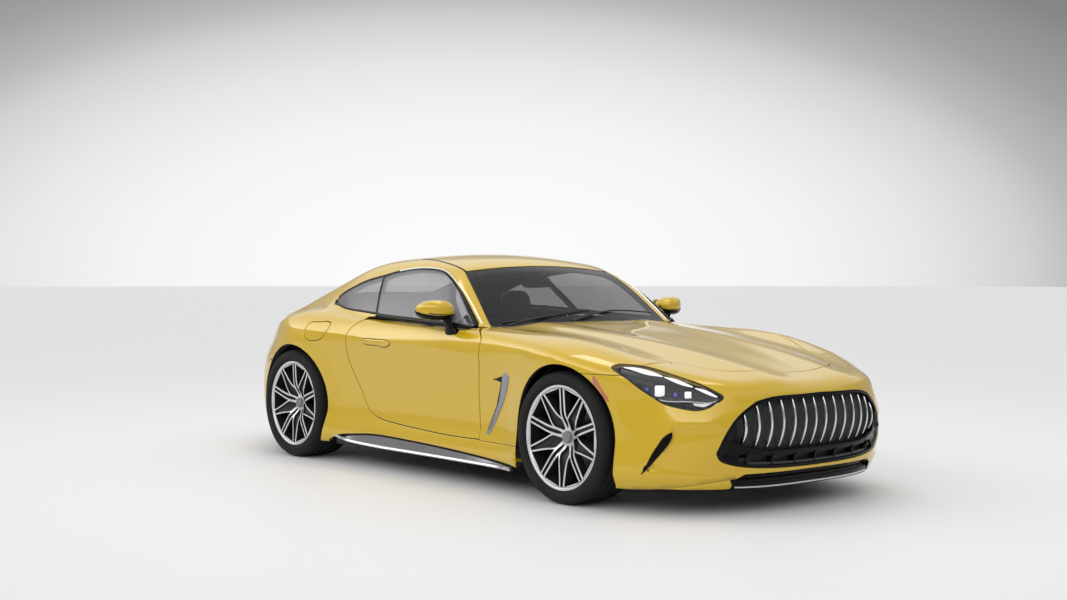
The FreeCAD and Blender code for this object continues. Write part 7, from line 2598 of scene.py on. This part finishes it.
# ------------------------------------------------------------------ engine under the bonnet
items = []
V, F = rbox(330, 560, 250, 20, 3)
items.append((V + np.array([0, -1290, 395.0]), F, 0))
for s in (-1, 1):
    V, F = rbox(150, 520, 96, 16, 3)
    a = math.radians(s * 24)
    V = np.stack([V[:, 0] * math.cos(a) + V[:, 2] * math.sin(a), V[:, 1], -V[:, 0] * math.sin(a) + V[:, 2] * math.cos(a)], 1)
    items.append((V + np.array([s * 156.0, -1296, 556.0]), F, 1))
    for k_y in range(4):
        y = -1490 + 128 * k_y
        V, F = rbox(34, 84, 30, 9, 3)
        V = np.stack([V[:, 0] * math.cos(a) + V[:, 2] * math.sin(a), V[:, 1], -V[:, 0] * math.sin(a) + V[:, 2] * math.cos(a)], 1)
        items.append((V + np.array([s * 182.0, y, 596.0]), F, 0))
        V, F = pipe(line([(s * 150, y, 500), (s * 200, y + 6, 470), (s * 226, y + 24, 420), (s * 226, y + 60, 360)], 18.0), 17.0, 10)
        items.append((V, F, 2))
        V, F = pipe(line([(s * 44, y, 622), (s * 84, y, 634), (s * 118, y, 606)], 14.0), 19.0, 10)
        items.append((V, F, 1))
V, F = pillow(66, 250, 44, 4.0, 18, lambda C, V: np.stack([V[:, 0] * 0, V[:, 0] * 0, (C[:, 2] > 0) * flute(V[:, 1], 60.0, 5.0)], 1))
items.append((V + np.array([0, -1300, 622.0]), F, 3))
for (x, z, r) in ((0, 360, 78), (-120, 430, 46), (120, 430, 50), (0, 520, 40), (-150, 310, 40), (150, 320, 36)):
    V, F = lathe([(0, 0.01), (0, r * 0.35), (8, r * 0.5), (8, r - 6), (0, r), (-18, r), (-18, r * 0.3), (-24, 0.01)], 32)
    P_ = np.stack([V[:, 1] + x, -1572.0 - V[:, 0], V[:, 2] + z], 1)
    items.append((P_, fix_winding(P_, F), 0))
V, F, m = joinh(items)
puth("engine", V, F, [M["cast"], M["black_matt"], M["iron"], M["caliper"]], "shell", m, ["engine_block"], 35.0)


# ------------------------------------------------------------------ hub carriers and calipers
def sector(r0, r1, a0, a1, x0, x1, bev=5.0, n=18):
    a = np.radians(np.linspace(a0, a1, n))
    o = np.vstack([np.stack([r1 * np.cos(a), r1 * np.sin(a)], 1), np.stack([r0 * np.cos(a[::-1]), r0 * np.sin(a[::-1])], 1)])
    V, F = stack(o, [(-bev, x0), (0, x0 + bev), (0, x1 - bev), (-bev, x1)], True, True)
    P_ = np.stack([V[:, 2], V[:, 0], V[:, 1]], 1)
    return P_, fix_winding(P_, F)


def carrier_parts(a0, a1):
    # x outwards from the disc's centre; y, z about the axle
    its = []
    for x0, x1 in ((21.0, 46.0), (-46.0, -21.0)):
        V, F = sector(136, 232, a0, a1, x0, x1, 7.0)
        its.append((V, F, 0))
        for k in range(3):
            a = math.radians(a0 + (a1 - a0) * (k + 0.5) / 3)
            V, F = lathe([(0, 0.01), (0, 20), (-4, 25), (-14, 26), (-14, 0.01)], 24)
            V = V * np.array([1 if x0 > 0 else -1, 1, 1]) + np.array([x1 + 0.5 if x0 > 0 else x0 - 0.5, 182 * math.cos(a), 182 * math.sin(a)])
            its.append((V, fix_winding(V, F), 0))
    for f0, f1 in ((0.0, 0.16), (0.42, 0.58), (0.84, 1.0)):
        V, F = sector(208, 234, a0 + (a1 - a0) * f0, a0 + (a1 - a0) * f1, -40.0, 40.0, 4.0, 6)
        its.append((V, F, 0))
    # upright, hub and steering arm
    V, F = rbox(38, 104, 292, 14, 3)
    its.append((V + np.array([-61.0, 0, 0]), F, 1))
    V, F = lathe([(-80, 0.01), (-80, 60), (-60, 72), (-40, 60), (-38, 31.5), (180, 31.5), (184, 28), (184, 0.01)], 40)
    its.append((V, fix_winding(V, F), 1))
    V, F = sector(60, 178, a0 + 4, a1 - 4, -56.0, -43.0, 3.0)
    its.append((V, F, 1))
    return its


for tag, sx, body, nodes_, yc, zc, aa in (("front_left", 1, "knuckle_left_body", ["front_knuckle_left"], YF, 355.0, (-24, 42)), ("front_right", -1, "knuckle_right_body", ["front_knuckle_right"], YF, 355.0, (-24, 42)),
                                          ("rear_left", 1, "shell", ["suspension"], YR, 358.0, (120, 182)), ("rear_right", -1, "shell", ["suspension"], YR, 358.0, (120, 182))):
    V, F, m = joinh(carrier_parts(*aa))
    V = place_axle(V, sx, DISC_X, yc, zc)
    if sx < 0:
        F = F[:, ::-1]
    puth("caliper_" + tag, V, F, [M["caliper"], M["cast"]], body, m, nodes_, 38.0)
# arms between the shell and the carriers, on the shell
items = []
for axle, tr, gx in ((YF, 355.0, 560.0), (YR, 358.0, 662.0)):
    for sx in (1, -1):
        for dy, dz, x0 in ((-150.0, -118.0, 300.0), (110.0, -118.0, 300.0), (-20.0, 128.0, 400.0)):
            a_, b_ = np.array([sx * x0, axle + dy, tr + dz]), np.array([sx * gx, axle + dy * 0.25, tr + dz])
            q = line([a_, (a_ + b_) / 2, b_], 40.0)
            w_ = np.linspace(0, 1, len(q))
            V, F = sweep(q, np.array([0, 0, 1.0]), [(15, -9), (16, 0), (15, 9), (6, 5), (-6, 5), (-15, 9), (-16, 0), (-15, -9), (-6, -5), (6, -5)], scale=np.stack([0.72 + 0.28 * np.cos(w_ * pi) ** 2] * 2, 1))
            items.append((V, F, 0))
            for e_ in (a_, b_):
                V, F = lathe([(-15, 8), (-15, 14), (-12, 17), (12, 17), (15, 14), (15, 8)], 24)
                V = np.stack([V[:, 1], V[:, 0], V[:, 2]], 1) + e_
                items.append((V, fix_winding(V, F), 1))
V, F, m = joinh(items)
puth("suspension_arms", V, F, [M["cast"], M["black_matt"]], "shell", m, ["suspension"], 40.0)


# ------------------------------------------------------------------ rear: lamps, diffuser, tips
def rear3(pts, t=0.0, fld=None):
    return on_skin("front", np.array(pts, float), t, fld or F_U, 1500.0)


put("taillight_lenses", [tlens, mirror_x(*tlens)], M["red_lens"], "shell", ["taillights"])
items = []
TL = CUT["tail"].poly
if area2(TL) < 0:
    TL = TL[::-1]
# dark housing behind the lens and two bright light lines in it
P, tri, uv, N = cdt_view("front", [offset(TL, -5.0)], lambda c: inside(offset(TL, -5.0), c) & (c[:, 0] > -905), 16.0, F_U, 16.0, 1500.0)
ok_ = P[:, 1] > 1960
keep_ = ok_[tri].all(1)
used, idx = np.unique(tri[keep_], return_inverse=True)
V, F = slab(P[used], idx.reshape(-1, 3), N[used], 4.0)
items.append((V, F, 0))
for z0, z1, t_ in ((0.30, 0.30, 8.0), (0.72, 0.72, 8.0)):
    xs_ = np.linspace(-452, -800, 40)
    lo_ = np.interp(-xs_, [432, 640, 800, 900], [778, 762, 748, 752])
    hi_ = np.interp(-xs_, [432, 640, 800, 900], [806, 816, 812, 806])
    pth = rear3(np.column_stack([xs_, lo_ + (hi_ - lo_) * z0]), t_)
    pth = pth[pth[:, 1] > 2010]
    V, F = sweep(pth, np.array([0, 1.0, 0]), rect(6.0, 8, 1.5, 2.0))
    items.append((V, F, 1))
V, F, m = joinh(both_sides(items))
tl_glow = plain_mat("tail_glow", (0.55, 0.010, 0.012), 0.25, lift=1.2)
tl_glow.node_tree.nodes["Principled BSDF"].inputs["Emission Color"].default_value = (0.9, 0.02, 0.02, 1)
tl_glow.node_tree.nodes["Principled BSDF"].inputs["Emission Strength"].default_value = 0.10
M["tail_glow"] = tl_glow
puth("taillight_inside", V, F, [M["black_gloss"], M["tail_glow"]], "shell", m, ["taillights"], 40.0)

# diffuser: black panel with upright fins, exhaust openings and a bright lower line
dpoly = CUT["diff"].poly
if area2(dpoly) < 0:
    dpoly = dpoly[::-1]
hole = [np.stack([x + 45.0 * np.cos(np.linspace(0, 2 * pi, 33)[:-1]), 262.0 + 45.0 * np.sin(np.linspace(0, 2 * pi, 33)[:-1])], 1) for x in (-580, -480, 480, 580)]
dp = offset(dpoly, -2.0)


def ddep(uv):
    # middle part sunk
    m_ = (1 - sstep(360, 420, np.abs(uv[:, 0]))) * sstep(158, 180, uv[:, 1])
    return 8.0 + 26.0 * m_


def not_hole(c):
    k_ = inside(dp, c)
    for h_ in hole:
        k_ = k_ & ~inside(h_, c)
    return k_


P, tri, uv, N = cdt_view("front", [dp] + hole, not_hole, ddep, F_U, 16.0, 1500.0)
n_ = len(P)
be, _ = boundary(tri)
w1 = np.stack([be[:, 1], be[:, 0], be[:, 0] + n_], 1)
w2 = np.stack([be[:, 1], be[:, 0] + n_, be[:, 1] + n_], 1)
V = np.vstack([P, P - np.array([0, 34.0, 0])])
F = np.vstack([tri, w1, w2, tri[:, ::-1] + n_])
items = [(V, F, 0)]
for x in (-330.0, -198.0, -66.0, 66.0, 198.0, 330.0):
    zs = np.linspace(156, 318, 10)
    pth = rear3(np.column_stack([np.full(10, x), zs]), 14.0)
    V, F = sweep(pth, np.array([0, 1.0, 0]), rect(9.0, 52, 2.0, 6.0), scale=np.stack([np.linspace(1.0, 0.8, 10)] * 2, 1))
    items.append((V, F, 1))
pth = rear3(np.column_stack([np.linspace(-628, 628, 60), 162.0 + 0.00002 * np.linspace(-628, 628, 60) ** 2]), 6.0)
V, F = sweep(pth, np.array([0, 1.0, 0]), rect(7.0, 12, 2.0, 3.0))
items.append((V, F, 2))
V, F, m = joinh(items)
puth("rear_diffuser_panel", V, F, [M["black_gloss"], M["black_matt"], M["satin_silver"]], "shell", m, ["rear_diffuser"], 40.0)

items = []
for x in (-580.0, -480.0, 480.0, 580.0):
    prof = [(1905, 30.0), (1905, 36.0), (2052, 38.5), (2066, 41.5), (2074.5, 41.8), (2075, 40.0), (2071, 37.6), (2050, 35.5), (2000, 34.0)]
    V, F = lathe([(a - 1900.0, r) for a, r in prof], 48)
    P_ = np.stack([V[:, 1] + x, V[:, 0] + 1900.0, V[:, 2] + 262.0], 1)
    items.append((P_, fix_winding(P_, F), 0))
    V, F = lathe([(90, 0.01), (90, 34.2), (86, 34.2), (86, 0.01)], 40)
    P_ = np.stack([V[:, 1] + x, V[:, 0] + 1900.0, V[:, 2] + 262.0], 1)
    items.append((P_, fix_winding(P_, F), 1))
V, F, m = joinh(items)
puth("exhaust_tip_rings", V, F, [M["chrome"], M["black_under"]], "shell", m, ["exhaust_tips"], 40.0)

# blank plate field and reflectors
items = []
pf = round_rect(540, 126, 14)
P, tri, uv, N = cdt_view("front", [pf + np.array([0.0, 520.0])], lambda c: inside(pf + np.array([0.0, 520.0]), c), 0.0, F_U, 30.0, 1500.0)
V, F = slab(P + N * 1.4, tri, N, 5.0)
items.append((V, F, 0))
for s in (-1, 1):
    xs_ = np.linspace(640, 770, 16) * s
    pth = rear3(np.column_stack([xs_, 372.0 + 0.00 * xs_]), 0.0)
    V, F = sweep(pth, np.array([0, 1.0, 0]), half_round(15.0, 3.4, 7))
    items.append((V, F, 1))
V, F, m = joinh(items)
puth("rear_bumper_details", V, F, [M["black_matt"], M["red_lens"]], "shell", m, [], 40.0)

# the plain carried-over parts of the underside and the wheel arches
for nm, mt in (("underbody", "black_under"), ("wheel_arch_liners", "black_under")):
    ob = bpy.data.objects.get(nm)
    if ob is None:
        for o2 in bpy.data.objects:
            if o2.name.startswith(nm) or o2.get("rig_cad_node") == nm:
                ob = o2
                break
    for s_ in ob.material_slots:
        s_.material = M[mt]


# ------------------------------------------------------------------ floor, light, camera
def stage_mat():
    m, nt, b = new_mat("stage_floor")
    b.inputs["Base Color"].default_value = (0.80, 0.80, 0.81, 1)
    b.inputs["Roughness"].default_value = 0.55
    return m


fl = bpy.data.meshes.new("floor")
n_ = 96
vs_ = [(136 * math.cos(2 * pi * i / n_), 136 * math.sin(2 * pi * i / n_), 0.0) for i in range(n_)]
fl.from_pydata(vs_, [], [list(range(n_))])
fl.materials.append(stage_mat())
flo = bpy.data.objects.new("floor", fl)
bpy.context.scene.collection.objects.link(flo)

BAND = 2.8
w = bpy.data.worlds.new("studio")
bpy.context.scene.world = w
w.use_nodes = True
nt = w.node_tree
bg = nt.nodes["Background"]
tc = nt.nodes.new("ShaderNodeTexCoord")
sp = nt.nodes.new("ShaderNodeSeparateXYZ")
rp = nt.nodes.new("ShaderNodeValToRGB")
nt.links.new(tc.outputs["Generated"], sp.inputs[0])
# soft studio: the wall behind the car is palest in its middle and darkens towards its corners
# and its right end; elsewhere the room is dim low down, with a soft bright band all round above
# it and a weaker ceiling


def ramp(fac, stops):
    r = nt.nodes.new("ShaderNodeValToRGB")
    nt.links.new(fac, r.inputs["Fac"])
    el = r.color_ramp.elements
    el[0].position, el[0].color = stops[0][0], (*[stops[0][1]] * 3, 1)
    el[1].position, el[1].color = stops[-1][0], (*[stops[-1][1]] * 3, 1)
    for p_, c_ in stops[1:-1]:
        el.new(p_).color = (c_, c_, c_, 1)
    return r.outputs["Color"]


def math_(op, a, b=None):
    n = nt.nodes.new("ShaderNodeMath")
    n.operation = op
    for i, v in enumerate((a, b)):
        if v is None:
            continue
        if isinstance(v, (int, float)):
            n.inputs[i].default_value = v
        else:
            nt.links.new(v, n.inputs[i])
    return n.outputs["Value"]


def dot_(vec):
    n = nt.nodes.new("ShaderNodeVectorMath")
    n.operation = "DOT_PRODUCT"
    nt.links.new(tc.outputs["Generated"], n.inputs[0])
    n.inputs[1].default_value = vec
    return n.outputs["Value"]


def smooth_(v, a, b, lo=0.0, hi=1.0):
    n = nt.nodes.new("ShaderNodeMapRange")
    n.interpolation_type = "SMOOTHSTEP"
    n.inputs["From Min"].default_value, n.inputs["From Max"].default_value = a, b
    n.inputs["To Min"].default_value, n.inputs["To Max"].default_value = lo, hi
    nt.links.new(v, n.inputs["Value"])
    return n.outputs["Result"]


nt.nodes.remove(rp)
zz_ = sp.outputs["Z"]
uu_ = math_("ADD", dot_((0.762, -0.648, 0.0)), 0.043)
ff_ = dot_((0.648, 0.762, 0.0))
d2_ = math_("ADD", math_("POWER", math_("ABSOLUTE", math_("DIVIDE", uu_, 0.363)), 2.0), math_("POWER", math_("ABSOLUTE", math_("DIVIDE", zz_, 0.171)), 2.0))
wall_ = ramp(math_("DIVIDE", d2_, 2.5), ((0.0, 0.97), (0.15, 0.90), (0.28, 0.79), (0.40, 0.64), (0.48, 0.49), (0.60, 0.36), (0.80, 0.24), (1.0, 0.22)))
room_ = ramp(math_("MULTIPLY", zz_, 1.0), ((0.0, 0.42), (0.20, 0.40), (0.29, 0.38), (0.36, 0.80), (0.60, 1.0), (0.74, 0.72), (1.0, 0.70)))
# the band's own strength, on the two long sides most
band_ = ramp(math_("MULTIPLY", zz_, 1.0), ((0.0, 0.0), (0.325, 0.0), (0.355, 1.0), (0.46, 0.62), (0.60, 0.30), (0.72, 0.0), (1.0, 0.0)))
mask_ = math_("MULTIPLY", smooth_(ff_, 0.80, 0.90), smooth_(zz_, 0.19, 0.25, 1.0, 0.0))
mx1 = nt.nodes.new("ShaderNodeMix")
mx1.data_type = "RGBA"
nt.links.new(mask_, mx1.inputs[0])
nt.links.new(room_, mx1.inputs[6])
nt.links.new(wall_, mx1.inputs[7])
side_ = smooth_(dot_((-0.995, 0.10, 0.0)), 0.10, 0.50, 0.06, 1.0)
bsc_ = nt.nodes.new("ShaderNodeVectorMath")
bsc_.operation = "SCALE"
nt.links.new(band_, bsc_.inputs[0])
nt.links.new(math_("MULTIPLY", side_, BAND), bsc_.inputs["Scale"])
add_ = nt.nodes.new("ShaderNodeVectorMath")
add_.operation = "ADD"
gen_ = nt.nodes.new("ShaderNodeVectorMath")
gen_.operation = "SCALE"
nt.links.new(mx1.outputs[2], gen_.inputs[0])
gen_.inputs["Scale"].default_value = 1.0
nt.links.new(gen_.outputs["Vector"], add_.inputs[0])
nt.links.new(bsc_.outputs["Vector"], add_.inputs[1])
nt.links.new(add_.outputs["Vector"], bg.inputs["Color"])
bg.inputs["Strength"].default_value = 1.0


def area(name, loc, target, size, power, color=(1, 1, 1), sy=None):
    L = bpy.data.lights.new(name, "AREA")
    L.energy = power
    L.shape = "RECTANGLE"
    L.size = size
    L.size_y = sy or size
    L.color = color
    o = bpy.data.objects.new(name, L)
    o.location = loc
    d = Vector(target) - Vector(loc)
    o.rotation_mode = "QUATERNION"
    o.rotation_quaternion = d.to_track_quat("-Z", "Y")
    bpy.context.scene.collection.objects.link(o)
    return o


area("soft_top", (0.0, 0.0, 6.5), (0, 0, 0), 2.4, 110, sy=4.6)
bpy.context.scene.view_settings.view_transform = "Standard"
bpy.context.scene.view_settings.look = "None"
bpy.context.scene.view_settings.exposure = 0.0
bpy.context.scene.view_settings.gamma = 1.0

cam = bpy.data.cameras.new("camera")
cam.sensor_width = 36.0
cam.lens = 49.26
cam.clip_start, cam.clip_end = 0.1, 300.0
co = bpy.data.objects.new("camera", cam)
co.location = (-6.069, -7.166, 1.2235)
co.rotation_euler = (pi / 2 - 0.018, 0.0, -0.705)
bpy.context.scene.collection.objects.link(co)
bpy.context.scene.camera = co
